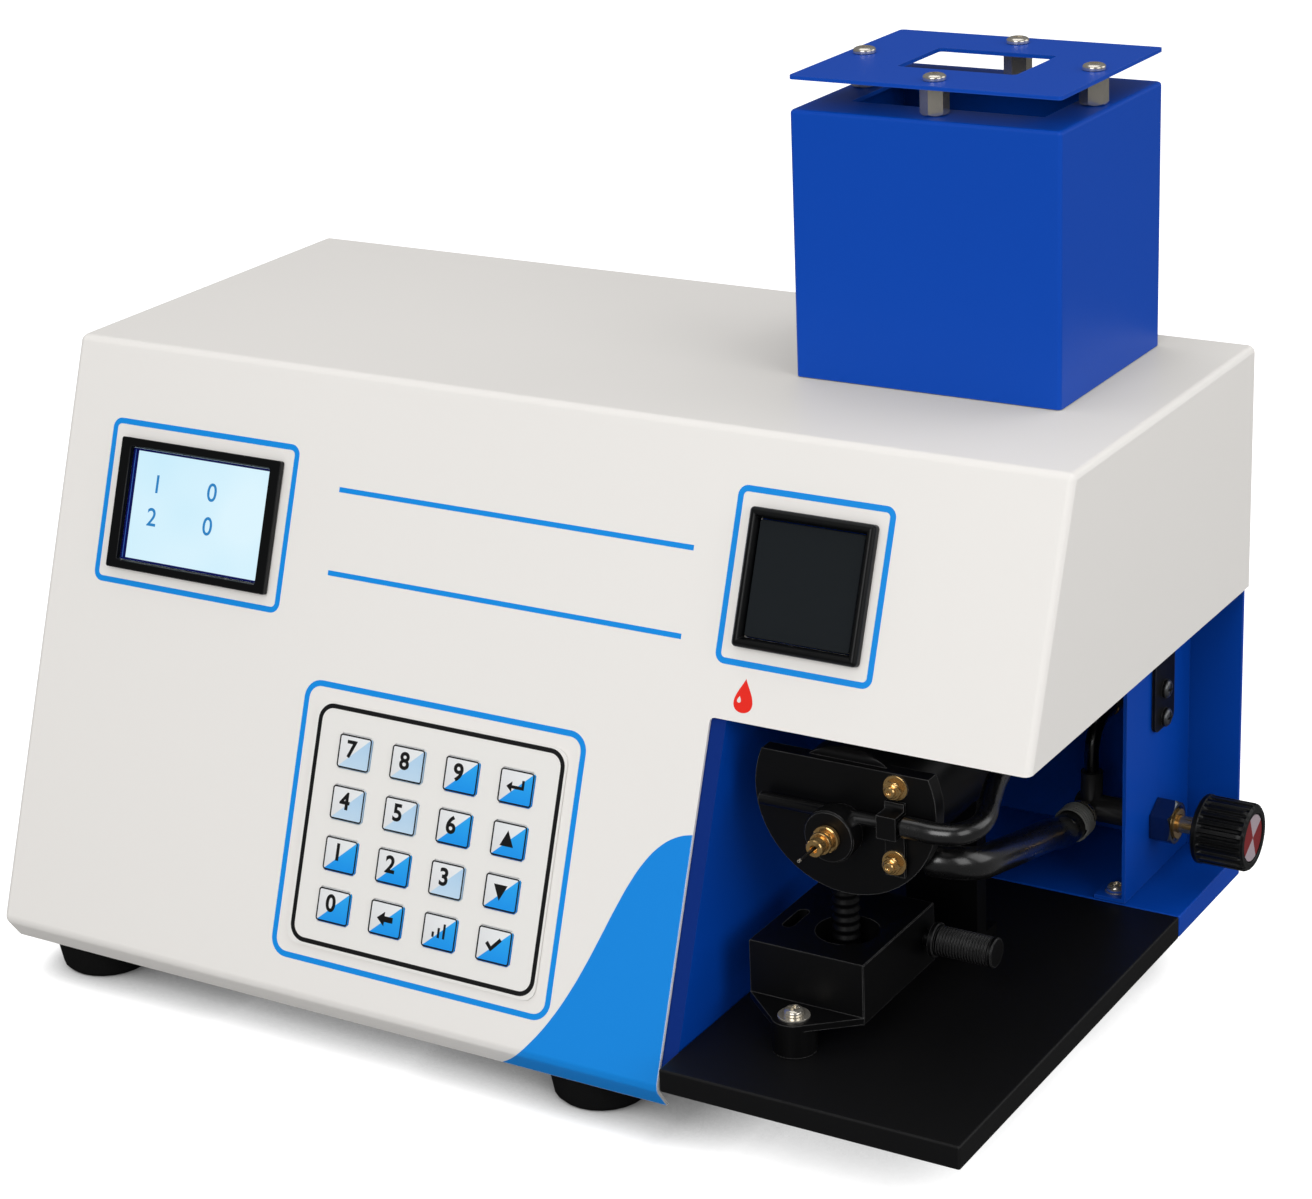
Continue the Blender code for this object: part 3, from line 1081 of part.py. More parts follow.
def make_burner():
    """The burner head, a hollow turned piece on the chamber's seat."""
    base = BURNER_SEAT_TOP + SEAT_GAP
    profile = [(BURNER_BORE, BURNER_TOP), (BURNER_HEAD_RADIUS, BURNER_TOP),
               (BURNER_HEAD_RADIUS, BURNER_SHOULDER), (BURNER_TUBE_RADIUS, BURNER_SHOULDER),
               (BURNER_TUBE_RADIUS, base), (BURNER_BORE, base), (BURNER_BORE, BURNER_TOP)]
    turned("burner_head", profile, (CHAMBER_X, BURNER_Y, 0), "z", "steel")


def make_nebulizer():
    """Nebulizer boss and cross rail, brass nozzle, clamp strap and its two nuts."""
    neck = BOSS_NECK_LENGTH
    profile = [(0, BOSS_LENGTH), (BOSS_RADIUS - BOSS_EDGE, BOSS_LENGTH),
               (BOSS_RADIUS, BOSS_LENGTH - BOSS_EDGE), (BOSS_RADIUS, neck), (BOSS_NECK_RADIUS, neck),
               (BOSS_NECK_RADIUS, 0), (0, 0)]
    boss = turned("nebulizer_body", profile, (CHAMBER_X, BOSS_BACK, BOSS_Z), "-y", "black_anodised")
    join(boss, cylinder("nebulizer_rail", (RAIL_LEFT, RAIL_Y, RAIL_Z), "x", RAIL_RADIUS,
                        RAIL_RIGHT - RAIL_LEFT, sides=SMALL_SIDES))
    stages = ((NOZZLE_FLANGE_RADIUS, NOZZLE_FLANGE_LENGTH), (NOZZLE_WAIST_RADIUS, NOZZLE_WAIST_LENGTH),
              (NOZZLE_RING_RADIUS, NOZZLE_RING_LENGTH), (NOZZLE_TIP_RADIUS, NOZZLE_TIP_LENGTH),
              (CAPILLARY_RADIUS, CAPILLARY_LENGTH))
    turned("nebulizer_nozzle", stepped_profile(stages), (CHAMBER_X, BOSS_FACE - SEAT_GAP, BOSS_Z), "-y",
           "brass", SMALL_SIDES)
    back = DISC_FRONT - SEAT_GAP
    front = back - CLAMP_THICKNESS
    bridge = RAIL_Y - RAIL_RADIUS - SEAT_GAP
    bridge_front = bridge - CLAMP_THICKNESS
    low, high = NUT_HEIGHTS[0] - CLAMP_END, CLAMP_TOP
    hat_low, hat_high = RAIL_Z - CLAMP_HAT_HALF, RAIL_Z + CLAMP_HAT_HALF
    inner_low, inner_high = hat_low + CLAMP_THICKNESS, hat_high - CLAMP_THICKNESS
    outline = [(back, low), (back, inner_low), (bridge, inner_low), (bridge, inner_high), (back, inner_high),
               (back, high), (front, high), (front, hat_high), (bridge_front, hat_high),
               (bridge_front, hat_low), (front, hat_low), (front, low)]
    strap = plate("clamp_bracket", [outline], CLAMP_WIDTH, "black_anodised",
                  matrix=side_plate_matrix(CLAMP_X - CLAMP_WIDTH / 2))
    join(strap, chamber_nut(NUT_HEIGHTS[0], front + SEAT_GAP))


def chamber_nut(z, seat_y):
    """Cap nut with its washer, facing forward from its seat."""
    stages = ((NUT_WASHER_RADIUS, NUT_WASHER_THICKNESS), (NUT_RADIUS, NUT_LENGTH),
              (NUT_CAP_RADIUS, NUT_CAP_LENGTH))
    return turned("chamber_nut", stepped_profile(stages), (CLAMP_X, seat_y, z), "-y", sides=SMALL_SIDES)


def stepped_profile(stages):
    """Profile of stacked cylinders, given as (radius, length) from the base up; top to bottom."""
    height, points = 0, []
    for radius, length in stages:
        points += [(radius, height), (radius, height + length)]
        height += length
    return [(0, height), *reversed(points), (0, 0)]


def knob_outline():
    """The knob's fluted rim, drawn around the origin."""
    points = []
    flute_shares = ((0, 0), (0.30, 0), (0.50, KNOB_FLUTE_DEPTH), (0.80, KNOB_FLUTE_DEPTH))
    for flute in range(KNOB_FLUTES):
        for share, drop in flute_shares:
            turn = 2 * math.pi * (flute + share) / KNOB_FLUTES
            radius = KNOB_RADIUS - drop
            points.append((radius * math.cos(turn), radius * math.sin(turn)))
    return points


def make_valve():
    """Gas valve through the side panel: body with its elbow, nut, sliding stem and fluted knob."""
    collar_end = SIDE_PANEL_FACE - FRAME_SHEET - SEAT_GAP
    length = VALVE_OUTER_END - VALVE_INNER_END
    collar_top = collar_end - VALVE_INNER_END
    profile = [(0, length), (VALVE_THREAD_RADIUS, length), (VALVE_THREAD_RADIUS, collar_top),
               (VALVE_COLLAR_RADIUS, collar_top), (VALVE_COLLAR_RADIUS, collar_top - VALVE_COLLAR_LENGTH),
               (VALVE_INNER_RADIUS, collar_top - VALVE_COLLAR_LENGTH), (VALVE_INNER_RADIUS, 0), (0, 0)]
    body = turned("valve_body", profile, (VALVE_INNER_END, VALVE_Y, VALVE_Z), "x", "brass")
    elbow = cylinder("hose_elbow", (ELBOW_X - ELBOW_RADIUS, VALVE_Y, VALVE_Z), "x", ELBOW_RADIUS,
                     VALVE_INNER_END + ELBOW_RADIUS - ELBOW_X + ELBOW_RADIUS, sides=SMALL_SIDES)
    outlet = cylinder("elbow_outlet", (ELBOW_X, ELBOW_FRONT, VALVE_Z), "y", ELBOW_RADIUS - SEAT_GAP,
                      VALVE_Y - ELBOW_FRONT, sides=SMALL_SIDES)
    branch = cylinder("elbow_branch", (ELBOW_X, VALVE_Y, VALVE_Z), "z", BRANCH_RADIUS, ELBOW_TOP - VALVE_Z,
                      sides=SMALL_SIDES)
    join(body, elbow, outlet, branch)
    bore_start = STEM_INNER_END - STEM_BORE_DEPTH / 2
    cut(body, cylinder("stem_bore", (bore_start, VALVE_Y, VALVE_Z), "x", STEM_RADIUS + VALVE_CLEARANCE,
                       VALVE_OUTER_END - bore_start + OVERRUN, sides=SMALL_SIDES))
    nut = [circle((VALVE_Y, VALVE_Z), NUT_CORNER_RADIUS, 6, math.pi / 2),
           circle((VALVE_Y, VALVE_Z), VALVE_THREAD_RADIUS + VALVE_CLEARANCE)]
    plate("valve_nut", nut, NUT_THICKNESS, "steel", matrix=side_plate_matrix(SIDE_PANEL_FACE + SEAT_GAP))
    axis_empty = empty("valve_axis", (KNOB_NEAR, VALVE_Y, VALVE_Z), parent=CABINET)
    cylinder("valve_stem", (STEM_INNER_END - KNOB_NEAR, 0, 0), "x", STEM_RADIUS,
             STEM_OUTER_END - STEM_INNER_END, "brass", SMALL_SIDES, axis_empty)
    knob = plate("valve_knob", [knob_outline()], KNOB_LENGTH, "black_plastic", axis_empty, SIDE_VIEW)
    skirt = cylinder("knob_skirt", (-SEAT_GAP, 0, 0), "x", KNOB_SKIRT_RADIUS, KNOB_SKIRT, sides=FINE_SIDES,
                     parent=axis_empty)
    join(knob, skirt)
    face = cylinder("knob_face", (KNOB_LENGTH - KNOB_FACE_DEPTH, 0, 0), "x", KNOB_FACE_RADIUS,
                    KNOB_FACE_DEPTH + OVERRUN, sides=ROUND_SIDES, parent=axis_empty)
    bore = cylinder("knob_bore", (-OVERRUN, 0, 0), "x", STEM_RADIUS + VALVE_CLEARANCE,
                    STEM_OUTER_END - KNOB_NEAR + SEAT_GAP + OVERRUN, sides=SMALL_SIDES, parent=axis_empty)
    cut(knob, bore, face)


def fitted_route(route, start, end):
    """Moves a route so that its ends meet two fittings; points between move by their share of the way."""
    path = [Vector(point) for point in route]
    lengths = [0]
    for a, b in zip(path, path[1:]):
        lengths.append(lengths[-1] + (b - a).length)
    first, last = Vector(start) - path[0], Vector(end) - path[-1]
    return [point + first.lerp(last, length / lengths[-1]) for point, length in zip(path, lengths)]


def smooth_route(points, spacing):
    """Evenly spaced points on a smooth curve through a route's own points."""
    path = [Vector(point) for point in points]
    path = [path[0] * 2 - path[1], *path, path[-1] * 2 - path[-2]]
    dense = []
    for i in range(1, len(path) - 2):
        for step in range(ROUTE_SAMPLES):
            t = step / ROUTE_SAMPLES
            a, b, c, d = path[i - 1:i + 3]
            dense.append((2 * b + (c - a) * t + (2 * a - 5 * b + 4 * c - d) * t ** 2
                          + (3 * b - a - 3 * c + d) * t ** 3) / 2)
    dense.append(path[-2])
    lengths = [0]
    for a, b in zip(dense, dense[1:]):
        lengths.append(lengths[-1] + (b - a).length)
    count = max(2, round(lengths[-1] / spacing))
    result, index = [], 0
    for k in range(count + 1):
        target = lengths[-1] * k / count
        while index < len(lengths) - 2 and lengths[index + 1] < target:
            index += 1
        span = lengths[index + 1] - lengths[index]
        result.append(dense[index].lerp(dense[index + 1], (target - lengths[index]) / span))
    first = (path[2] - path[1]).normalized() * HOSE_END
    last = (path[-2] - path[-3]).normalized() * HOSE_END
    return [result[0], result[0] + first, *result[1:-1], result[-1] - last, result[-1]]


def tube_mesh(name, points, radius, resolution):
    """A round tube along a poly line, as a closed mesh."""
    curve = bpy.data.curves.new(name + "_path", "CURVE")
    curve.dimensions = "3D"
    curve.bevel_depth = radius
    curve.bevel_resolution = resolution
    curve.use_fill_caps = True
    spline = curve.splines.new("POLY")
    spline.points.add(len(points) - 1)
    for target, point in zip(spline.points, points):
        target.co = (*point, 1)
    item = bpy.data.objects.new(name + "_path", curve)
    CUTTERS.objects.link(item)
    data = evaluated_mesh(item)
    bpy.data.objects.remove(item)
    bpy.data.curves.remove(curve)
    data.name = name
    return smooth(welded(data), math.radians(60))


def make_hoses():
    """Gas hose to the chamber, its wire binding, the air hose and the gas supply hose."""
    rear_y = INLET_INNER_END - SEAT_GAP
    gas_route = fitted_route(GAS_HOSE_ROUTE, (GAS_PORT_END + SEAT_GAP, GAS_PORT_Y, GAS_PORT_Z),
                             (ELBOW_X, ELBOW_FRONT - SEAT_GAP, VALVE_Z))
    air_route = fitted_route(AIR_HOSE_ROUTE, (RAIL_RIGHT + SEAT_GAP, RAIL_Y, RAIL_Z),
                             (ELBOW_X + AIR_INLET_OFFSET, rear_y, AIR_INLET_Z))
    supply_route = fitted_route(SUPPLY_HOSE_ROUTE, (ELBOW_X, VALVE_Y, ELBOW_TOP + SEAT_GAP),
                                (ELBOW_X, rear_y, GAS_INLET_Z))
    for name, route, radius, resolution in (("gas_hose", gas_route, GAS_HOSE_RADIUS, 3),
                                            ("air_hose", air_route, AIR_HOSE_RADIUS, 2),
                                            ("gas_supply_hose", supply_route, SUPPLY_HOSE_RADIUS, 2)):
        points = smooth_route(route, HOSE_POINT_SPACING)
        add(name, tube_mesh(name, points, radius, resolution), "black_hose")
    add("hose_binding", tube_mesh("hose_binding", binding_points(), BINDING_WIRE_RADIUS, 1), "wire_wrap")


def binding_points():
    """The wire wound on the hose's straight end; prints the least gap between its turns."""
    radius = GAS_HOSE_RADIUS + SEAT_GAP + BINDING_WIRE_RADIUS
    count = BINDING_TURNS * BINDING_POINTS_PER_TURN
    points = []
    for i in range(count + 1):
        turn = 2 * math.pi * i / BINDING_POINTS_PER_TURN
        points.append(Vector((ELBOW_X + radius * math.cos(turn),
                              BINDING_START_Y + BINDING_PITCH * i / BINDING_POINTS_PER_TURN,
                              VALVE_Z + radius * math.sin(turn))))
    apart = BINDING_POINTS_PER_TURN // 2
    pairs = ((a, b) for i, a in enumerate(points) for b in points[i + apart:])
    gap = min((a - b).length for a, b in pairs) - 2 * BINDING_WIRE_RADIUS
    print("hose binding: least gap between turns", round(gap, 5), "m")
    return points


def ear_outline(block_end, direction):
    """A lug that narrows from the block's end to the round over its post."""
    centre_y = block_end + direction * EAR_REACH
    points = [(BLOCK_LEFT, block_end - direction * POST_RADIUS), (BLOCK_LEFT, block_end)]
    middle = math.pi / 2 * direction
    for i in range(EAR_STEPS + 1):
        turn = middle + direction * EAR_ARC * (EAR_STEPS - 2 * i) / (2 * EAR_STEPS)
        points.append((BLOCK_X + POST_RADIUS * math.cos(turn), centre_y + POST_RADIUS * math.sin(turn)))
    ordered = points[:2] + sorted(points[2:], key=lambda point: point[0])
    return ordered + [(BLOCK_RIGHT, block_end), (BLOCK_RIGHT, block_end - direction * POST_RADIUS)]


def make_drain():
    """Drain trap block on its two posts, its screws and the knurled drain screw."""
    block = box("drain_block", (BLOCK_LEFT, BLOCK_FRONT, BLOCK_BOTTOM), (BLOCK_RIGHT, BLOCK_REAR, BLOCK_TOP),
                "black_anodised")
    bevel(block, BLOCK_EDGE, 1)
    ends = ((BLOCK_FRONT, -1), (BLOCK_REAR, 1))
    for end, direction in ends:
        ear = plate("drain_ear", [ear_outline(end, direction)], EAR_THICKNESS,
                    matrix=Matrix.Translation((0, 0, BLOCK_BOTTOM + BLOCK_EDGE)))
        post = cylinder("drain_post", (BLOCK_X, end + direction * EAR_REACH, DECK_TOP + SEAT_GAP), "z",
                        POST_RADIUS, POST_HEIGHT + EAR_THICKNESS / 2)
        screw_bottom = BLOCK_BOTTOM + BLOCK_EDGE + EAR_THICKNESS
        screw = pan_screw((BLOCK_X, end + direction * EAR_REACH, screw_bottom - SEAT_GAP), "z")
        join(block, ear, post, screw)
    well = cylinder("well_cutter", (WELL_X, WELL_Y, BLOCK_TOP - WELL_DEPTH), "z", WELL_RADIUS,
                    WELL_DEPTH + OVERRUN, sides=FINE_SIDES)
    slot_x = BLOCK_LEFT + SLOT_FROM_LEFT
    slot_outline = rounded_rectangle((slot_x, WELL_Y), SLOT_WIDTH, SLOT_LENGTH,
                                     SLOT_WIDTH / 2 - PART_CLEARANCE / 8)
    slot = plate("slot_cutter", [slot_outline], SLOT_DEPTH + OVERRUN,
                 matrix=Matrix.Translation((0, 0, BLOCK_TOP - SLOT_DEPTH)))
    screw_y = BLOCK_REAR - DRAIN_SCREW_FROM_REAR
    bore = cylinder("drain_bore", (BLOCK_RIGHT - DRAIN_BORE_DEPTH, screw_y, DRAIN_SCREW_Z), "x",
                    DRAIN_BORE_RADIUS, DRAIN_BORE_DEPTH + OVERRUN, sides=SMALL_SIDES)
    cut(block, well, slot, bore)
    stages = ((DRAIN_SHANK_RADIUS, DRAIN_BORE_DEPTH - SEAT_GAP + DRAIN_COLLAR_NEAR),
              (DRAIN_COLLAR_RADIUS, DRAIN_COLLAR_LENGTH), (DRAIN_BARREL_RADIUS, DRAIN_BARREL_LENGTH))
    axis_empty = empty("drain_screw_axis",
                       (BLOCK_RIGHT - DRAIN_BORE_DEPTH + SEAT_GAP, screw_y, DRAIN_SCREW_Z), parent=CABINET)
    turned("drain_screw", stepped_profile(stages), (0, 0, 0), "x", "black_anodised", ROUND_SIDES, axis_empty)


def pan_screw(base, axis, washer=True):
    """Pan head that joins the piece it sits on, with its washer where it has one."""
    stages = [(PAN_HEAD_RADIUS, PAN_HEAD_HEIGHT * (1 - PAN_DOME_SHARE)),
              (PAN_HEAD_RADIUS * PAN_CROWN_SHARE, PAN_HEAD_HEIGHT * PAN_DOME_SHARE)]
    if washer:
        stages.insert(0, (PAN_WASHER_RADIUS, PAN_WASHER_THICKNESS))
    return turned("pan_screw", stepped_profile(stages), base, axis, sides=SMALL_SIDES)


def make_optics():
    """Optics housing on the wall's hidden side; its barrel looks at the flame through the port."""
    right = WALL_RIGHT - FRAME_SHEET - SEAT_GAP
    half_d, half_h = OPTICS_DEPTH / 2, OPTICS_HEIGHT / 2
    housing = box("optics_housing", (right - OPTICS_WIDTH, BURNER_Y - half_d, FLAME_Z - half_h),
                  (right, BURNER_Y + half_d, FLAME_Z + half_h), "black_anodised")
    bevel(housing, OPTICS_EDGE, 1)
    barrel = cylinder("lens_barrel", (right - BARREL_BORE_DEPTH, BURNER_Y, FLAME_Z), "x", BARREL_RADIUS,
                      BARREL_BORE_DEPTH + BARREL_REACH)
    join(housing, barrel)
    wall = OPTICS_WALL
    cavity = box("optics_cavity", (right - OPTICS_WIDTH + wall, BURNER_Y - OPTICS_DEPTH / 2 + wall,
                                   FLAME_Z - OPTICS_HEIGHT / 2 + wall),
                 (right - wall, BURNER_Y + OPTICS_DEPTH / 2 - wall, FLAME_Z + OPTICS_HEIGHT / 2 - wall))
    bore = cylinder("barrel_bore", (right - BARREL_BORE_DEPTH - OVERRUN, BURNER_Y, FLAME_Z), "x", BARREL_BORE,
                    BARREL_BORE_DEPTH + BARREL_REACH + 2 * OVERRUN, sides=SMALL_SIDES)
    cut(housing, cavity, bore)


def make_electronics():
    """Main circuit board on its posts, with its transformer, heatsink, chip and capacitor."""
    bottom = FLOOR_TOP + BOARD_POST_HEIGHT + SEAT_GAP
    top = bottom + BOARD_THICKNESS
    left, front = MAIN_BOARD_LEFT, MAIN_BOARD_FRONT
    board = box("main_board", (left, front, bottom), (left + MAIN_BOARD_WIDTH, front + MAIN_BOARD_DEPTH, top),
                "circuit_green")
    places = (("heatsink", HEATSINK_SIZE, left + BOARD_PART_INSET, front + BOARD_PART_INSET),
              ("chip", CHIP_SIZE, left + MAIN_BOARD_WIDTH / 2, front + MAIN_BOARD_DEPTH / 2))
    for name, size, x, y in places:
        join(board, box(name, (x, y, top - BOARD_THICKNESS / 2), (x + size[0], y + size[1], top + size[2])))
    base = top - BOARD_THICKNESS / 2
    capacitor_y = front + MAIN_BOARD_DEPTH - 2 * BOARD_PART_INSET
    join(board, cylinder("capacitor", (left + 2 * BOARD_PART_INSET, capacitor_y, base), "z",
                         CAPACITOR_RADIUS, CAPACITOR_HEIGHT))
    centre_x = left + MAIN_BOARD_WIDTH - TRANSFORMER_INSET
    centre_y = front + MAIN_BOARD_DEPTH / 2
    coil_lift = (TRANSFORMER_CORE[2] - TRANSFORMER_COIL[2]) / 2
    for name, size, lift in (("transformer_core", TRANSFORMER_CORE, 0),
                             ("transformer_coil", TRANSFORMER_COIL, coil_lift)):
        join(board, box(name, (centre_x - size[0] / 2, centre_y - size[1] / 2, base + lift),
                        (centre_x + size[0] / 2, centre_y + size[1] / 2, base + lift + size[2])))


def make_mains():
    """Mains inlet module with its socket, pins and switch pocket, and the rocker."""
    face = REAR_FACE + SEAT_GAP + INLET_FLANGE_THICKNESS
    flange = rounded_rectangle((INLET_X, INLET_Z), INLET_FLANGE_WIDTH, INLET_FLANGE_HEIGHT, BRACKET_CORNER)
    module = plate("mains_inlet", [flange], INLET_FLANGE_THICKNESS, "black_plastic",
                   matrix=front_plate_matrix(face))
    body = box("inlet_body", (INLET_X - INLET_BODY_WIDTH / 2, REAR_FACE - INLET_BODY_DEPTH,
                              INLET_Z - INLET_BODY_HEIGHT / 2),
               (INLET_X + INLET_BODY_WIDTH / 2, face - INLET_FLANGE_THICKNESS / 2,
                INLET_Z + INLET_BODY_HEIGHT / 2))
    join(module, body)
    socket_z = INLET_Z - SOCKET_BELOW
    cut(module, box("socket_cutter",
                    (INLET_X - SOCKET_WIDTH / 2, face - SOCKET_DEPTH, socket_z - SOCKET_HEIGHT / 2),
                    (INLET_X + SOCKET_WIDTH / 2, face + OVERRUN, socket_z + SOCKET_HEIGHT / 2)))
    rocker_z = INLET_Z + ROCKER_ABOVE
    half_w, half_h = ROCKER_WIDTH / 2 + ROCKER_CLEARANCE, ROCKER_HEIGHT / 2 + ROCKER_CLEARANCE
    cut(module, box("rocker_pocket", (INLET_X - half_w, face - ROCKER_POCKET, rocker_z - half_h),
                    (INLET_X + half_w, face + OVERRUN, rocker_z + half_h)))
    for shift, rise in ((-PIN_SPREAD, 0), (0, EARTH_RISE), (PIN_SPREAD, 0)):
        x, z = INLET_X + shift, socket_z - EARTH_RISE / 2 + rise
        join(module, box("inlet_pin",
                         (x - PIN_WIDTH / 2, face - SOCKET_DEPTH - PIN_WIDTH, z - PIN_HEIGHT / 2),
                         (x + PIN_WIDTH / 2, face - SOCKET_DEPTH + PIN_LENGTH, z + PIN_HEIGHT / 2)))
    pivot = empty("rocker_axis", (INLET_X, face - ROCKER_DEPTH / 2, rocker_z), (ROCKER_TILT, 0, 0), CABINET)
    half = ROCKER_HEIGHT / 2 - ROCKER_CLEARANCE
    crown = math.sqrt(ROCKER_RADIUS ** 2 - half ** 2)
    tips = math.atan2(half, crown)
    arc_steps = 6
    outline = [(-ROCKER_DEPTH / 2, 0), (0, -half)]
    outline += [(ROCKER_RADIUS * math.cos(t), ROCKER_RADIUS * math.sin(t))
                for t in (tips * (2 * i / arc_steps - 1) for i in range(arc_steps + 1))]
    outline.append((0, half))
    plate("switch_rocker", [outline], ROCKER_WIDTH, "black_plastic", pivot,
          Matrix.Translation((-ROCKER_WIDTH / 2, 0, 0)) @ SIDE_VIEW)


def make_hose_inlets():
    """Barbed gas and air inlets on one small plate at the rear panel."""
    outer = REAR_FACE + SEAT_GAP
    middle = [sum(seat[k] for seat in HOSE_INLET_SEATS) / len(HOSE_INLET_SEATS) for k in (0, 1)]
    outline = rounded_rectangle(middle, INLET_PLATE_WIDTH, INLET_PLATE_HEIGHT, BRACKET_CORNER)
    inlets = plate("hose_inlets", [outline], INLET_PLATE_THICKNESS, "brass",
                   matrix=front_plate_matrix(outer + INLET_PLATE_THICKNESS))
    pitch = BARB_LENGTH / BARB_COUNT
    profile = [(0, BARB_END)]
    for barb in range(BARB_COUNT):
        tip = BARB_END - barb * pitch
        profile += [(BARB_RADIUS - BARB_STEP, tip), (BARB_RADIUS, tip - pitch)]
    profile += [(INLET_THREAD_RADIUS, BARB_END - BARB_LENGTH), (INLET_THREAD_RADIUS, REAR_INNER - SEAT_GAP),
                (BARB_RADIUS, REAR_INNER - SEAT_GAP), (BARB_RADIUS, INLET_INNER_END), (0, INLET_INNER_END)]
    for x, z in HOSE_INLET_SEATS:
        join(inlets, turned("hose_inlet", profile, (x, 0, z), "y", sides=SMALL_SIDES))
    for x, z in HOSE_INLET_SEATS:
        cut(inlets, cylinder("inlet_bore", (x, INLET_INNER_END - OVERRUN, z), "y", INLET_BORE_RADIUS,
                             BARB_END - INLET_INNER_END + 2 * OVERRUN, sides=SCREW_SIDES))
    smooth(inlets.data)


def main():
    """Builds the instrument piece by piece."""
    make_cover()
    make_floor()
    make_rear_panel()
    make_compartment_wall()
    make_bay_floor()
    make_side_panel()
    make_bracket()
    make_chimney()
    make_feet()
    make_display()
    make_window()
    make_keypad()
    make_chamber()
    make_burner()
    make_nebulizer()
    make_valve()
    make_hoses()
    make_drain()
    make_optics()
    make_electronics()
    make_mains()
    make_hose_inlets()


main()
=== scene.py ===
"""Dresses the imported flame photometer: finishes, printed panel, fittings, camera and light.

Units are metres. Cabinet coordinates run right from the cover's left side, back from the front panel's
bottom fold and up from the table. Panel coordinates run right, up the slope and out of the panel.
"""

import logging
import math
from dataclasses import dataclass, field
from enum import Enum
from typing import Callable, Iterable, Sequence

import bmesh
import bpy
from mathutils import Matrix, Vector


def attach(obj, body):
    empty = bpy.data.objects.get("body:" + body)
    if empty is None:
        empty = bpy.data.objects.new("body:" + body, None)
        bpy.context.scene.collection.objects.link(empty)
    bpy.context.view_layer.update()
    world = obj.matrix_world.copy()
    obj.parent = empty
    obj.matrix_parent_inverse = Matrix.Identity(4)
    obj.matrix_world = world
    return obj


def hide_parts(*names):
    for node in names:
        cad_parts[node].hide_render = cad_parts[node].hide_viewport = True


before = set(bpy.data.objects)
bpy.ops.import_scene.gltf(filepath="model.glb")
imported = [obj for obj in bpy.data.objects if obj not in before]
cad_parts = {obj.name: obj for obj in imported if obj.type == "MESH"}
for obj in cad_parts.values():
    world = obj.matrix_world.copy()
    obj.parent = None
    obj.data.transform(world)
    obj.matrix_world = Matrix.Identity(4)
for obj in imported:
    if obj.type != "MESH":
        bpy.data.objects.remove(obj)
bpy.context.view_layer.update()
LOG = logging.getLogger("flame_photometer")

Point = tuple[float, float, float]
Flat = tuple[float, float]
Colour = tuple[float, float, float]
Box = tuple[Point, Point]

ROOT = "cabinet"
FOLD_HEIGHT = 0.0255
SLOPE = math.atan2(0.227, 0.085)
CABINET = Matrix.Translation((-0.2288, -0.1294, 0))
PANEL = CABINET @ Matrix.Translation((0, 0, FOLD_HEIGHT)) @ Matrix.Rotation(SLOPE, 4, "X")
SEAT_GAP = 0.0003
SHARP = math.radians(35)
TURNS: dict[str, Matrix] = {
    "x": Matrix.Rotation(math.pi / 2, 4, "Y"),
    "-x": Matrix.Rotation(-math.pi / 2, 4, "Y"),
    "y": Matrix.Rotation(-math.pi / 2, 4, "X"),
    "-y": Matrix.Rotation(math.pi / 2, 4, "X"),
    "z": Matrix.Identity(4),
}


class Slot(Enum):
    """The record's material slots."""

    WHITE_PAINT = "white_paint"
    BLUE_PAINT = "blue_paint"
    BLACK_POWDER = "black_powder"
    BLACK_ANODISED = "black_anodised"
    BLACK_RUBBER = "black_rubber"
    BLACK_HOSE = "black_hose"
    BLACK_PLASTIC = "black_plastic"
    STEEL = "steel"
    BRASS = "brass"
    SCREEN = "screen"
    SMOKED_GLASS = "smoked_glass"
    OVERLAY_FILM = "overlay_film"
    KEY_FILM = "key_film"
    CIRCUIT_GREEN = "circuit_green"
    WIRE_WRAP = "wire_wrap"


def placed(base: Point, axis: str = "z", frame_matrix: Matrix = CABINET) -> Matrix:
    """Turns a shape's z to the named axis and moves it to a place in cabinet coordinates."""
    return frame_matrix @ Matrix.Translation(base) @ TURNS[axis]


def tint(red: int, green: int, blue: int) -> Colour:
    """Turns a display colour into the linear colour of the shader.

    Args:
        red, green, blue: channels from 0 to 255.
    Returns:
        The linear colour.
    """
    def linear(value: int) -> float:
        """One channel's linear value."""
        share = value / 255
        return share / 12.92 if share <= 0.04045 else ((share + 0.055) / 1.055) ** 2.4
    return linear(red), linear(green), linear(blue)


# Node trees


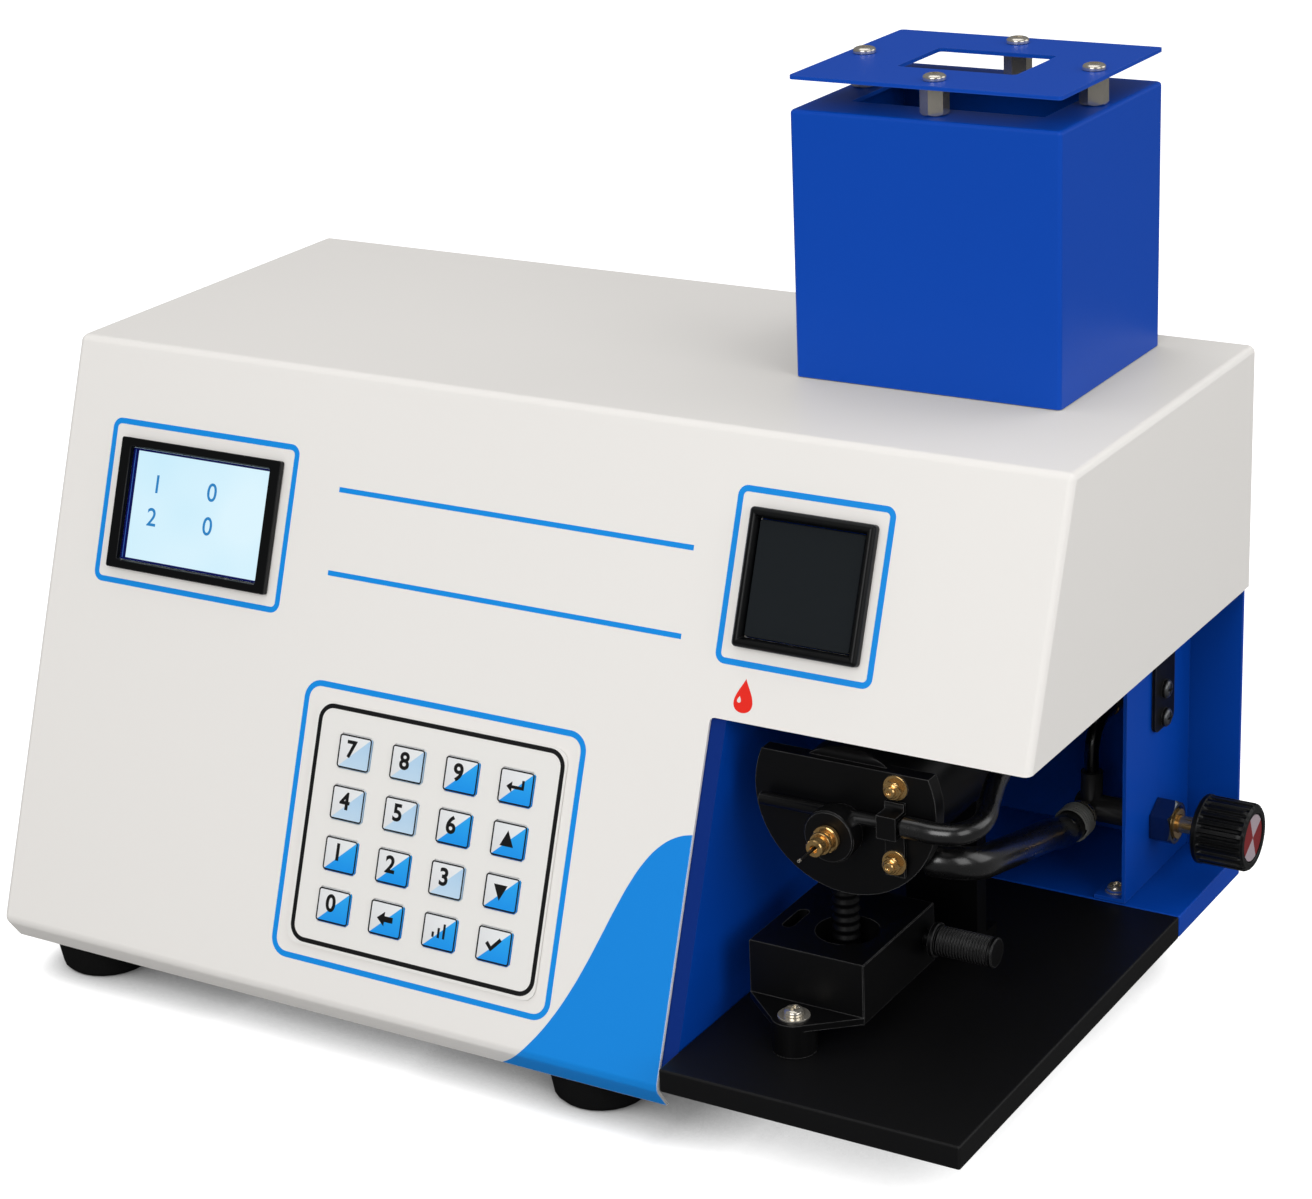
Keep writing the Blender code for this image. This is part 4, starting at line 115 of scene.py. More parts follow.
class Sketch:
    """Adds and links the nodes of one shader or geometry tree."""

    def __init__(self, tree: bpy.types.NodeTree) -> None:
        """Starts on a tree."""
        self.tree = tree

    def feed(self, socket: bpy.types.NodeSocket, value: object) -> None:
        """Links another node's output to a socket, or writes a plain value in it.

        Args:
            socket: the input.
            value: the output or the plain value that feeds it.
        """
        if isinstance(value, bpy.types.NodeSocket):
            self.tree.links.new(value, socket)
        elif isinstance(value, tuple) and len(value) == 3 and socket.type == "RGBA":
            socket.default_value = (*value, 1)
        else:
            socket.default_value = value

    def node(self, kind: str, values: dict | None = None, **settings: object) -> bpy.types.Node:
        """Adds a node.

        Args:
            kind: the node's type.
            values: input name or number, and its value or the output that feeds it.
            settings: the node's own options.
        Returns:
            The node.
        """
        node = self.tree.nodes.new(kind)
        for key, value in settings.items():
            setattr(node, key, value)
        for key, value in (values or {}).items():
            self.feed(node.inputs[key], value)
        return node

    def sum(self, operation: str, *values: object) -> bpy.types.NodeSocket:
        """Adds a maths node and returns its result."""
        return self.node("ShaderNodeMath", dict(enumerate(values)), operation=operation).outputs[0]

    def vector(self, operation: str, *values: object) -> bpy.types.Node:
        """Adds a vector maths node."""
        return self.node("ShaderNodeVectorMath", dict(enumerate(values)), operation=operation)

    def ramp(self, value: object, low: object, high: object, start: object = 0.0,
             end: object = 1.0) -> bpy.types.NodeSocket:
        """Maps a value between two limits to a start and an end, clamped."""
        names = {"Value": value, "From Min": low, "From Max": high, "To Min": start, "To Max": end}
        return self.node("ShaderNodeMapRange", names).outputs["Result"]

    def mix(self, share: object, first: object, second: object) -> bpy.types.NodeSocket:
        """Mixes two colours.

        Args:
            share: how much of the second colour there is.
            first: colour at a share of 0.
            second: colour at a share of 1.
        Returns:
            The mixed colour.
        """
        node = self.node("ShaderNodeMix", data_type="RGBA")
        for index, value in ((0, share), (6, first), (7, second)):
            self.feed(node.inputs[index], value)
        return node.outputs[2]

    def place(self) -> bpy.types.NodeSocket:
        """The surface point in the piece's own coordinates."""
        return self.node("ShaderNodeTexCoord").outputs["Object"]

    def noise(self, scale: object, detail: float = 2.0, vector: object = None) -> bpy.types.NodeSocket:
        """Soft noise between 0 and 1."""
        values = {"Vector": vector or self.place(), "Scale": scale, "Detail": detail}
        return self.node("ShaderNodeTexNoise", values).outputs[0]


def node_group(
        name: str, kind: str, takes: Sequence[tuple[str, str, object]], gives: Sequence[tuple[str, str]],
        build: Callable[[Sketch, bpy.types.Node, bpy.types.Node], None]) -> bpy.types.NodeTree:
    """Makes a node group once and returns it every time.

    Args:
        name: the group's name.
        kind: ShaderNodeTree or GeometryNodeTree.
        takes: (name, socket type, default) of each input.
        gives: (name, socket type) of each output.
        build: fills the group between its input and output nodes.
    Returns:
        The node group.
    """
    ready = bpy.data.node_groups.get(name)
    if ready:
        return ready
    tree = bpy.data.node_groups.new(name, kind)
    for label, socket_type, default in takes:
        socket = tree.interface.new_socket(label, in_out="INPUT", socket_type=socket_type)
        if default is not None:
            socket.default_value = default
    for label, socket_type in gives:
        tree.interface.new_socket(label, in_out="OUTPUT", socket_type=socket_type)
    build(Sketch(tree), tree.nodes.new("NodeGroupInput"), tree.nodes.new("NodeGroupOutput"))
    return tree


def surface_group() -> bpy.types.NodeTree:
    """Colour variation, gloss variation and fine relief that every finish shares.

    Returns:
        The node group.
    """
    def build(sketch: Sketch, given: bpy.types.Node, result: bpy.types.Node) -> None:
        """Fills the group.

        Args:
            sketch: adds the nodes.
            given: the input node.
            result: the output node.
        """
        place = sketch.place()
        cloud = sketch.noise(given.outputs["Cloud Scale"], 3.0, place)
        grain = sketch.noise(given.outputs["Grain Scale"], 3.0, place)
        drift = sketch.sum("MULTIPLY", sketch.sum("SUBTRACT", cloud, 0.5), given.outputs["Mottle"])
        level = sketch.sum("ADD", drift, 1.0)
        colour = sketch.vector("SCALE", given.outputs["Tint"])
        sketch.feed(colour.inputs["Scale"], level)
        wander = sketch.sum("MULTIPLY", sketch.sum("SUBTRACT", grain, 0.5), given.outputs["Spread"])
        sketch.feed(result.inputs["Colour"], colour.outputs[0])
        sketch.feed(result.inputs["Roughness"], sketch.sum("ADD", given.outputs["Gloss"], wander))
        sketch.feed(result.inputs["Height"], grain)

    takes = (("Tint", "NodeSocketColor", None), ("Gloss", "NodeSocketFloat", 0.4),
             ("Mottle", "NodeSocketFloat", 0.05), ("Spread", "NodeSocketFloat", 0.05),
             ("Cloud Scale", "NodeSocketFloat", 12.0), ("Grain Scale", "NodeSocketFloat", 900.0))
    gives = (("Colour", "NodeSocketColor"), ("Roughness", "NodeSocketFloat"), ("Height", "NodeSocketFloat"))
    return node_group("surface_variation", "ShaderNodeTree", takes, gives, build)


def edge_highlight_group() -> bpy.types.NodeTree:
    """A mask of the surface close to its sharp edges, broken up by noise, where a painted edge highlight
    goes.

    Returns:
        The node group.
    """
    def build(sketch: Sketch, given: bpy.types.Node, result: bpy.types.Node) -> None:
        """Fills the group.

        Args:
            sketch: adds the nodes.
            given: the input node.
            result: the output node.
        """
        rounded = sketch.node("ShaderNodeBevel", {"Radius": given.outputs["Width"]}, samples=4).outputs[0]
        straight = sketch.node("ShaderNodeNewGeometry").outputs["Normal"]
        turned = sketch.sum("SUBTRACT", 1.0, sketch.vector("DOT_PRODUCT", rounded, straight).outputs["Value"])
        mask = sketch.ramp(turned, 0.01, 0.12)
        patchy = sketch.ramp(sketch.noise(given.outputs["Break Scale"], 2.0), 0.25, 0.6, 0.45, 1.0)
        sketch.feed(result.inputs["Mask"], sketch.sum("MULTIPLY", mask, patchy))

    takes = (("Width", "NodeSocketFloat", 0.0006), ("Break Scale", "NodeSocketFloat", 60.0))
    return node_group("painted_edge_highlight_mask", "ShaderNodeTree", takes, (("Mask", "NodeSocketFloat"),), build)


# Finishes


@dataclass(frozen=True)
class Finish:
    """One surface finish: its colour, gloss, the small relief that shows close up and a painted highlight
    along its sharp edges.
    """

    name: str
    slot: Slot
    colour: Colour
    roughness: float
    metallic: float = 0.0
    grain: float = 900.0
    relief: float = 0.000006
    mottle: float = 0.05
    spread: float = 0.05
    cloud: float = 12.0
    # how much the colour is lightened near sharp edges: a painted edge highlight
    edge: float = 0.0
    edge_highlight_width: float = 0.0006
    coat: float = 0.0
    coat_roughness: float = 0.2
    specular: float = 0.5
    bounce: Colour | None = None

    def material(self) -> bpy.types.Material:
        """Returns the finish's material, which is made once."""
        return bpy.data.materials.get(self.name) or self.make()

    def make(self) -> bpy.types.Material:
        """Builds the material.

        Returns:
            A material whose colour, roughness and bump come from nodes.
        """
        paint = bpy.data.materials.new(self.name)
        paint.use_nodes = True
        sketch = Sketch(paint.node_tree)
        shader = paint.node_tree.nodes["Principled BSDF"]
        values = {"Tint": self.colour, "Gloss": self.roughness, "Mottle": self.mottle, "Spread": self.spread,
                  "Cloud Scale": self.cloud, "Grain Scale": self.grain}
        surface = sketch.node("ShaderNodeGroup", node_tree=surface_group())
        for key, value in values.items():
            sketch.feed(surface.inputs[key], value)
        colour = self.pattern(sketch, surface.outputs["Colour"])
        # painted highlight: the colour turns lighter along sharp edges
        if self.edge:
            mask = sketch.node("ShaderNodeGroup", node_tree=edge_highlight_group())
            sketch.feed(mask.inputs["Width"], self.edge_highlight_width)
            highlight_colour = tuple(min(1.0, channel + self.edge) for channel in self.colour)
            colour = sketch.mix(mask.outputs["Mask"], colour, highlight_colour)
        if self.bounce:
            path = sketch.node("ShaderNodeLightPath")
            colour = sketch.mix(path.outputs["Is Diffuse Ray"], colour, self.bounce)
        sketch.feed(shader.inputs["Base Color"], colour)
        sketch.feed(shader.inputs["Roughness"], surface.outputs["Roughness"])
        bump = sketch.node("ShaderNodeBump", {"Height": surface.outputs["Height"], "Distance": self.relief})
        sketch.feed(shader.inputs["Normal"], bump.outputs["Normal"])
        shader.inputs["Metallic"].default_value = self.metallic
        shader.inputs["Specular IOR Level"].default_value = self.specular
        if self.coat:
            shader.inputs["Coat Weight"].default_value = self.coat
            shader.inputs["Coat Roughness"].default_value = self.coat_roughness
        self.extra(sketch, shader)
        return paint

    def pattern(self, sketch: Sketch, base: bpy.types.NodeSocket) -> bpy.types.NodeSocket:
        """Returns the base colour with the finish's own pattern on it; a plain finish has none."""
        return base

    def extra(self, sketch: Sketch, shader: bpy.types.Node) -> None:
        """Adds what only one finish needs, such as a lamp behind a screen."""


@dataclass(frozen=True)
class CoverPaint(Finish):
    """White powder coat with the blue wave printed beside the burner bay."""

    wave: Colour = tint(0, 136, 226)
    low: float = -0.012
    high: float = 0.0946
    left: float = 0.238
    right: float = 0.318
    handles: tuple[Flat, Flat, Flat, Flat] = (
        (0.239, -0.012), (0.288, 0.020), (0.280, 0.090), (0.315, 0.0946))
    steps: int = 12

    def boundary(self) -> list[Flat]:
        """Follows the wave's edge, a cubic curve between its four handles.

        Returns:
            Points of height on the panel and place across it, from the bottom up.
        """
        points = []
        for step in range(self.steps + 1):
            t = step / self.steps
            weights = ((1 - t) ** 3, 3 * t * (1 - t) ** 2, 3 * t * t * (1 - t), t ** 3)
            across = sum(weight * handle[0] for weight, handle in zip(weights, self.handles))
            height = sum(weight * handle[1] for weight, handle in zip(weights, self.handles))
            points.append((height, across))
        return points

    def pattern(self, sketch: Sketch, base: bpy.types.NodeSocket) -> bpy.types.NodeSocket:
        """Prints the wave where the panel's front face lies right of its boundary.

        Args:
            sketch: the material's tree.
            base: the plain white.
        Returns:
            The printed colour.
        """
        split = sketch.node("ShaderNodeSeparateXYZ", {0: sketch.place()})
        x = sketch.sum("SUBTRACT", split.outputs["X"], CABINET.translation.x)
        rise = sketch.sum("DIVIDE", sketch.sum("SUBTRACT", split.outputs["Z"], FOLD_HEIGHT), math.sin(SLOPE))
        curve = sketch.node("ShaderNodeFloatCurve", {"Value": sketch.ramp(rise, self.low, self.high)})
        line = curve.mapping.curves[0]
        span, width = self.high - self.low, self.right - self.left
        spots = [((v - self.low) / span, (edge - self.left) / width) for v, edge in self.boundary()]
        while len(line.points) < len(spots):
            line.points.new(0.5, 0.5)
        for point, spot in zip(line.points, spots):
            point.location = spot
        curve.mapping.update()
        edge = sketch.sum("MULTIPLY_ADD", curve.outputs[0], width, self.left)
        inside = sketch.ramp(sketch.sum("SUBTRACT", x, edge), -0.00008, 0.00008)
        below = sketch.ramp(rise, self.high, self.high + 0.0001, 1.0, 0.0)
        normal = sketch.node("ShaderNodeTexCoord").outputs["Normal"]
        facing = sketch.node("ShaderNodeSeparateXYZ", {0: normal})
        front = sketch.ramp(facing.outputs["Y"], -0.3, -0.35)
        mask = sketch.sum("MULTIPLY", sketch.sum("MULTIPLY", inside, below), front)
        return sketch.mix(mask, base, self.wave)


@dataclass(frozen=True)
class KeyFilm(Finish):
    """Printed key: white above its diagonal and blue below it, read from the key's own map."""

    upper: Colour = tint(238, 240, 241)
    lower: Colour = tint(4, 148, 240)
    pale: Colour = tint(34, 172, 246)

    def pattern(self, sketch: Sketch, base: bpy.types.NodeSocket) -> bpy.types.NodeSocket:
        """Splits the key along its diagonal and shades both halves.

        Args:
            sketch: the material's tree.
            base: the plain film colour.
        Returns:
            The printed colour.
        """
        split = sketch.node("ShaderNodeSeparateXYZ", {0: sketch.node("ShaderNodeTexCoord").outputs["UV"]})
        across, up = split.outputs["X"], split.outputs["Y"]
        half = sketch.ramp(sketch.sum("SUBTRACT", across, up), 0.0, 0.02)
        blue = sketch.mix(up, self.lower, self.pale)
        white = sketch.mix(sketch.ramp(sketch.sum("ADD", across, up), 0.3, 1.6), base, self.upper)
        return sketch.mix(half, white, blue)


@dataclass(frozen=True)
class LitScreen(Finish):
    """The display's lit face, a soft pale blue with faint clouds of a paler one."""

    glow: float = 0.97
    edge_tint: Colour = tint(198, 236, 252)
    centre_tint: Colour = tint(222, 246, 255)

    def extra(self, sketch: Sketch, shader: bpy.types.Node) -> None:
        """Lights the screen from behind.

        Args:
            sketch: the material's tree.
            shader: its surface shader.
        """
        cloud = sketch.ramp(sketch.noise(22.0, 1.0), 0.3, 0.7)
        sketch.feed(shader.inputs["Emission Color"], sketch.mix(cloud, self.edge_tint, self.centre_tint))
        shader.inputs["Emission Strength"].default_value = self.glow


@dataclass(frozen=True)
class Laminated(Finish):
    """Stacked sheets or wound wire, drawn as fine lines across one axis."""

    axis: str = "Z"
    pitch: float = 0.0012
    gap: Colour = (0.02, 0.02, 0.02)

    def pattern(self, sketch: Sketch, base: bpy.types.NodeSocket) -> bpy.types.NodeSocket:
        """Darkens the gaps between the layers.

        Args:
            sketch: the material's tree.
            base: the layers' own colour.
        Returns:
            The striped colour.
        """
        split = sketch.node("ShaderNodeSeparateXYZ", {0: sketch.place()})
        wave = sketch.sum("SINE", sketch.sum("MULTIPLY", split.outputs[self.axis], math.tau / self.pitch))
        return sketch.mix(sketch.ramp(wave, 0.55, 0.95), base, self.gap)


WHITE = CoverPaint("white_powder_coat", Slot.WHITE_PAINT, tint(238, 235, 231), 0.42, grain=1400.0,
                   relief=0.000012, mottle=0.012, edge=0.04, edge_highlight_width=0.0008, specular=0.25)
BLUE = Finish("blue_powder_coat", Slot.BLUE_PAINT, tint(0, 70, 178), 0.42, grain=1500.0, relief=0.000012,
              mottle=0.06, edge=0.02, edge_highlight_width=0.0009, specular=0.15, bounce=tint(62, 66, 78))
# darker copy of the blue, painted as shade on the compartment wall's front flange
PAINTED_SHADE_BLUE = Finish("blue_powder_coat_painted_shade", Slot.BLUE_PAINT, tint(0, 42, 122), 0.45, grain=1500.0,
                     relief=0.000012, mottle=0.06, specular=0.12)
BLACK_COAT = Finish("black_powder_coat", Slot.BLACK_POWDER, tint(14, 14, 15), 0.46, grain=1600.0,
                    relief=0.00002, mottle=0.2, edge=0.05, edge_highlight_width=0.0008, specular=0.2)
ANODISED = Finish("black_anodised_metal", Slot.BLACK_ANODISED, tint(6, 6, 7), 0.4, grain=2400.0,
                  relief=0.000008, mottle=0.15, edge=0.12, edge_highlight_width=0.00035, specular=0.25)
# duller, darker black with no edge highlight, painted as shade on the chamber's leg and the drain spout
SHADE_BLACK = Finish("black_painted_shade", Slot.BLACK_ANODISED, tint(5, 5, 6), 0.5, grain=2000.0,
                    relief=0.000008, mottle=0.15, specular=0.15)
RUBBER = Finish("black_foot_rubber", Slot.BLACK_RUBBER, tint(17, 17, 17), 0.7, grain=1300.0, relief=0.00003,
                mottle=0.25, specular=0.15)
HOSE = Finish("black_hose_rubber", Slot.BLACK_HOSE, tint(9, 9, 10), 0.28, grain=700.0, relief=0.000008,
              mottle=0.2, coat=0.8, specular=0.5)
PLASTIC = Finish("black_moulded_plastic", Slot.BLACK_PLASTIC, tint(7, 8, 9), 0.32, grain=1800.0,
                 relief=0.00001, mottle=0.15, edge=0.02, edge_highlight_width=0.0005, specular=0.25)
NICKEL = Finish("nickel_plate", Slot.STEEL, tint(222, 216, 204), 0.18, 0.85, grain=900.0, relief=0.000001,
                mottle=0.05, spread=0.05)
DARK_NICKEL = Finish("dark_nickel_plate", Slot.STEEL, tint(112, 116, 120), 0.2, 1.0, grain=900.0,
                     relief=0.000001, mottle=0.05, spread=0.05)
STEEL = Finish("dull_steel", Slot.STEEL, tint(120, 122, 124), 0.42, 1.0, grain=1500.0, mottle=0.15,
               spread=0.12)
BRASS = Finish("turned_brass", Slot.BRASS, tint(214, 176, 116), 0.18, 0.9, grain=1100.0, relief=0.000001,
               mottle=0.04, spread=0.04)
GREY_METAL = Finish("grey_fitting", Slot.STEEL, tint(66, 66, 66), 0.5, 0.6, grain=1500.0, mottle=0.2)
INK_BLUE = Finish("blue_print", Slot.WHITE_PAINT, tint(4, 142, 230), 0.36, grain=1500.0, mottle=0.03,
                  specular=0.25)
INK_BLACK = Finish("black_print", Slot.OVERLAY_FILM, tint(8, 8, 9), 0.34, grain=1500.0, mottle=0.05)
INK_RED = Finish("red_print", Slot.WHITE_PAINT, tint(236, 38, 24), 0.36, grain=1500.0, mottle=0.04,
                 specular=0.25)
INK_WHITE = Finish("white_print", Slot.BLACK_PLASTIC, tint(232, 230, 226), 0.4, grain=1500.0, mottle=0.04)
FILM = Finish("overlay_film_white", Slot.OVERLAY_FILM, tint(238, 236, 232), 0.36, grain=2000.0,
              relief=0.000006, mottle=0.012)
KEY_STRONG = KeyFilm("key_film_blue", Slot.KEY_FILM, tint(225, 226, 227), 0.3, mottle=0.02)
KEY_FAINT = KeyFilm("key_film_pale", Slot.KEY_FILM, tint(228, 229, 230), 0.3, mottle=0.02,
                    lower=tint(196, 222, 242), pale=tint(176, 212, 240))
SCREEN = LitScreen("lit_screen", Slot.SCREEN, tint(24, 36, 48), 0.3, mottle=0.02, relief=0.000002,
                   specular=0.2)
SCREEN_INK = Finish("screen_digits", Slot.SCREEN, tint(40, 136, 204), 0.3, mottle=0.03)
SCREEN_EDGE = Finish("screen_border", Slot.SCREEN, tint(2, 8, 84), 0.3, mottle=0.1, specular=0.2)
SCREEN_GLINT = Finish("screen_border_glint", Slot.SCREEN, tint(60, 104, 190), 0.3, mottle=0.1, specular=0.2)
GLASS = Finish("smoked_window_glass", Slot.SMOKED_GLASS, tint(27, 31, 34), 0.16, grain=300.0,
               relief=0.000003, mottle=0.25, specular=0.3)
KNOB_RED = Finish("knob_mark_red", Slot.BLACK_PLASTIC, tint(130, 12, 20), 0.32, mottle=0.08)
KNOB_WHITE = Finish("knob_mark_white", Slot.BLACK_PLASTIC, tint(176, 160, 168), 0.34, mottle=0.06)
WIRE = Finish("binding_wire", Slot.WIRE_WRAP, tint(140, 140, 136), 0.4, 0.2, mottle=0.15)
BOARD = Finish("green_circuit_board", Slot.CIRCUIT_GREEN, tint(18, 96, 48), 0.45, grain=500.0, mottle=0.2)
CHIP = Finish("black_chip", Slot.CIRCUIT_GREEN, tint(20, 20, 21), 0.5, mottle=0.1)
CAN = Finish("capacitor_sleeve", Slot.CIRCUIT_GREEN, tint(24, 34, 70), 0.3, mottle=0.1)
ALUMINIUM = Laminated("finned_aluminium", Slot.CIRCUIT_GREEN, tint(190, 192, 194), 0.4, 1.0, axis="X",
                      pitch=0.004)
CORE = Laminated("transformer_core", Slot.CIRCUIT_GREEN, tint(96, 98, 100), 0.45, 0.8, axis="Y", pitch=0.0013)
COIL = Laminated("copper_winding", Slot.CIRCUIT_GREEN, tint(168, 98, 46), 0.38, 0.7, axis="Z", pitch=0.0011,
                 gap=(0.10, 0.05, 0.02))


# Meshes


def to_mesh(shape: bmesh.types.BMesh, recalculate: bool = True) -> bpy.types.Mesh:
    """Turns a bmesh into a mesh and frees the bmesh.

    Args:
        shape: the bmesh.
        recalculate: points the faces of a closed shape out.
    Returns:
        The mesh.
    """
    if recalculate:
        bmesh.ops.recalc_face_normals(shape, faces=shape.faces)
    data = bpy.data.meshes.new("shape")
    shape.to_mesh(data)
    shape.free()
    return data


def linked_object(name: str, data: bpy.types.ID) -> bpy.types.Object:
    """Adds an object to the scene.

    Args:
        name: the object's name.
        data: its mesh, curve, light or camera.
    Returns:
        The object.
    """
    item = bpy.data.objects.new(name, data)
    bpy.context.scene.collection.objects.link(item)
    return item


def plain_result(item: bpy.types.Object) -> bpy.types.Mesh:
    """Turns an object into a plain mesh, as its modifiers or curve settings shape it.

    Args:
        item: the object, which is removed.
    Returns:
        The mesh.
    """
    graph = bpy.context.evaluated_depsgraph_get()
    graph.update()
    data = bpy.data.meshes.new_from_object(item.evaluated_get(graph))
    bpy.data.objects.remove(item)
    return data


def turned(profile: Sequence[Flat], sides: int = 48, closed: bool = False) -> bpy.types.Mesh:
    """Turns a profile about z.

    Args:
        profile: (radius, height) points in order; a radius of zero makes a pole.
        sides: faces round the axis.
        closed: joins the last point to the first, for a ring.
    Returns:
        A closed mesh.
    """
    shape = bmesh.new()
    rings = []
    for radius, height in profile:
        if radius == 0:
            rings.append([shape.verts.new((0, 0, height))])
            continue
        turns = [math.tau * side / sides for side in range(sides)]
        rings.append([shape.verts.new((radius * math.cos(t), radius * math.sin(t), height)) for t in turns])
    pairs = list(zip(rings, rings[1:])) + ([(rings[-1], rings[0])] if closed else [])
    for low, high in pairs:
        for side in range(sides):
            after = (side + 1) % sides
            corners = [low[side % len(low)], low[after % len(low)],
                       high[after % len(high)], high[side % len(high)]]
            corners = list(dict.fromkeys(corners))
            if len(corners) > 2:
                shape.faces.new(corners)
    return to_mesh(shape)


def stepped(stages: Sequence[Flat], chamfer: float = 0.0002) -> list[Flat]:
    """Profile of stacked discs with small chamfers.

    Args:
        stages: (radius, length) of each disc, from the base up.
        chamfer: the largest chamfer.
    Returns:
        (radius, height) points.
    """
    points: list[Flat] = [(0, 0)]
    height = 0.0
    for radius, length in stages:
        cut = min(chamfer, length / 3, radius / 3)
        points += [(radius - cut, height), (radius, height + cut), (radius, height + length - cut),
                   (radius - cut, height + length)]
        height += length
    return [*points, (0, height)]


def slab(outline: Sequence[Flat], low: float, high: float) -> bpy.types.Mesh:
    """A flat plate.

    Args:
        outline: its corners in order.
        low: height of its underside.
        high: height of its top.
    Returns:
        A closed mesh.
    """
    shape = bmesh.new()
    floor = [shape.verts.new((x, y, low)) for x, y in outline]
    roof = [shape.verts.new((x, y, high)) for x, y in outline]
    shape.faces.new(floor)
    shape.faces.new(roof)
    count = len(outline)
    for i in range(count):
        shape.faces.new((floor[i], floor[(i + 1) % count], roof[(i + 1) % count], roof[i]))
    return to_mesh(shape)


def rounded(centre: Flat, width: float, height: float, radius: float, steps: int = 5) -> list[Flat]:
    """Outline of a rectangle with round corners.

    Args:
        centre: its centre.
        width: its whole width.
        height: its whole height.
        radius: its corner radius.
        steps: faces in each corner.
    Returns:
        Points, anticlockwise.
    """
    points = []
    for corner, (side_x, side_y) in enumerate(((1, 1), (-1, 1), (-1, -1), (1, -1))):
        middle_x = centre[0] + side_x * (width / 2 - radius)
        middle_y = centre[1] + side_y * (height / 2 - radius)
        for step in range(steps + 1):
            turn = math.radians(90 * (corner + step / steps))
            points.append((middle_x + radius * math.cos(turn), middle_y + radius * math.sin(turn)))
    return points


def moulding(centre: Flat, size: Flat, corner: float, stations: Sequence[Flat], steps: int = 5,
             ring: bool = True) -> bpy.types.Mesh:
    """A rectangular frame, or a solid block with the same round corners.

    Args:
        centre: the centre.
        size: the outside width and height.
        corner: the outside corner radius.
        stations: (inset, height) points of the section, in order.
        steps: faces in each corner.
        ring: joins the last station to the first; a block is closed at both instead.
    Returns:
        A closed mesh.
    """
    shape = bmesh.new()
    loops = []
    for inset, height in stations:
        radius = max(corner - inset, 0.0001)
        outline = rounded(centre, size[0] - 2 * inset, size[1] - 2 * inset, radius, steps)
        loops.append([shape.verts.new((x, y, height)) for x, y in outline])
    for low, high in zip(loops, loops[1:] + (loops[:1] if ring else [])):
        for i in range(len(low)):
            after = (i + 1) % len(low)
            shape.faces.new((low[i], low[after], high[after], high[i]))
    if not ring:
        shape.faces.new(loops[0])
        shape.faces.new(loops[-1])
    return to_mesh(shape)


def hexagon(corner_radius: float, length: float, chamfer: float, both_ends: bool = False,
            start: float = 0.0) -> bpy.types.Mesh:
    """A hexagon bar along z with its corners cut back.

    Args:
        corner_radius: half its width across the corners.
        length: its length.
        chamfer: how far the cut reaches along it.
        both_ends: cuts the near end too, not the far end alone.
        start: angle of its first corner.
    Returns:
        A closed mesh.
    """
    ends = [(0, 0), (corner_radius, 0), (corner_radius, length), (0, length)]
    bar = linked_object("hexagon_bar", turned(ends, 6))
    bar.data.transform(Matrix.Rotation(start, 4, "Z"))
    flat = corner_radius * math.cos(math.pi / 6)
    near = flat if both_ends else corner_radius
    profile = [(0, 0), (near, 0), (near + (corner_radius - near) * 1.01, chamfer),
               (corner_radius * 1.01, length - chamfer), (flat, length), (0, length)]
    cone = linked_object("hexagon_cone", turned(profile, 48))
    return combined(bar, cone, "INTERSECT")


def combined(target: bpy.types.Object, tool: bpy.types.Object, operation: str) -> bpy.types.Mesh:
    """Cuts, joins or intersects two scratch objects and removes both.

    Args:
        target: the object that is changed.
        tool: the object that changes it.
        operation: DIFFERENCE, UNION or INTERSECT.
    Returns:
        The resulting mesh.
    """
    step = target.modifiers.new("combine", "BOOLEAN")
    step.operation = operation
    step.solver = "EXACT"
    step.object = tool
    data = plain_result(target)
    bpy.data.objects.remove(tool)
    return data


def lettering(text: str, height: float, thickness: float, weight: float) -> bpy.types.Mesh:
    """A number as a flat mesh of the given capital height, centred on the origin.

    Args:
        text: the number.
        height: its height without the weight.
        thickness: how far it stands up.
        weight: how far its strokes are widened on each side.
    Returns:
        A closed mesh with a slightly rounded edge.
    """
    curve = bpy.data.curves.new("number", "FONT")
    curve.body = text
    curve.size = height / 0.72
    curve.bevel_depth = weight
    curve.bevel_resolution = 0
    curve.align_x = "CENTER"
    data = plain_result(linked_object("number", curve))
    spans = [(min(c), max(c)) for c in zip(*(tuple(v.co) for v in data.vertices))]
    middle = [-(low + high) / 2 for low, high in spans]
    flat = Matrix.Diagonal((1, 1, thickness / (spans[2][1] - spans[2][0]), 1))
    data.transform(flat @ Matrix.Translation(middle))
    return data


def carried(node: str, drop: Sequence[Box] = ()) -> bpy.types.Mesh:
    """Copies a CAD node's mesh, merged, without what lies inside the drop boxes.

    Args:
        node: the CAD node.
        drop: boxes in cabinet coordinates; what they hold is taken off and the hole closed.
    Returns:
        The copy, in its place.
    """
    shape = bmesh.new()
    shape.from_mesh(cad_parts[node].data)
    bmesh.ops.remove_doubles(shape, verts=shape.verts, dist=0.000002)
    back = CABINET.inverted()
    for low, high in drop:
        inside = {vert for vert in shape.verts
                  if all(a <= c <= b for a, c, b in zip(low, back @ vert.co, high))}
        gone = [face for face in shape.faces if all(vert in inside for vert in face.verts)]
        bmesh.ops.delete(shape, geom=gone, context="FACES")
        bmesh.ops.delete(shape, geom=[v for v in shape.verts if not v.link_faces], context="VERTS")
        rim = [edge for edge in shape.edges if len(edge.link_faces) == 1]
        for face in bmesh.ops.holes_fill(shape, edges=rim, sides=0)["faces"]:
            loop = face.loops[0]
            other = next((item for item in loop.edge.link_loops if item.face != face), None)
            if other and other.vert == loop.vert:
                face.normal_flip()
    bmesh.ops.dissolve_limit(shape, angle_limit=math.radians(0.05), verts=shape.verts, edges=shape.edges)
    return to_mesh(shape, recalculate=False)


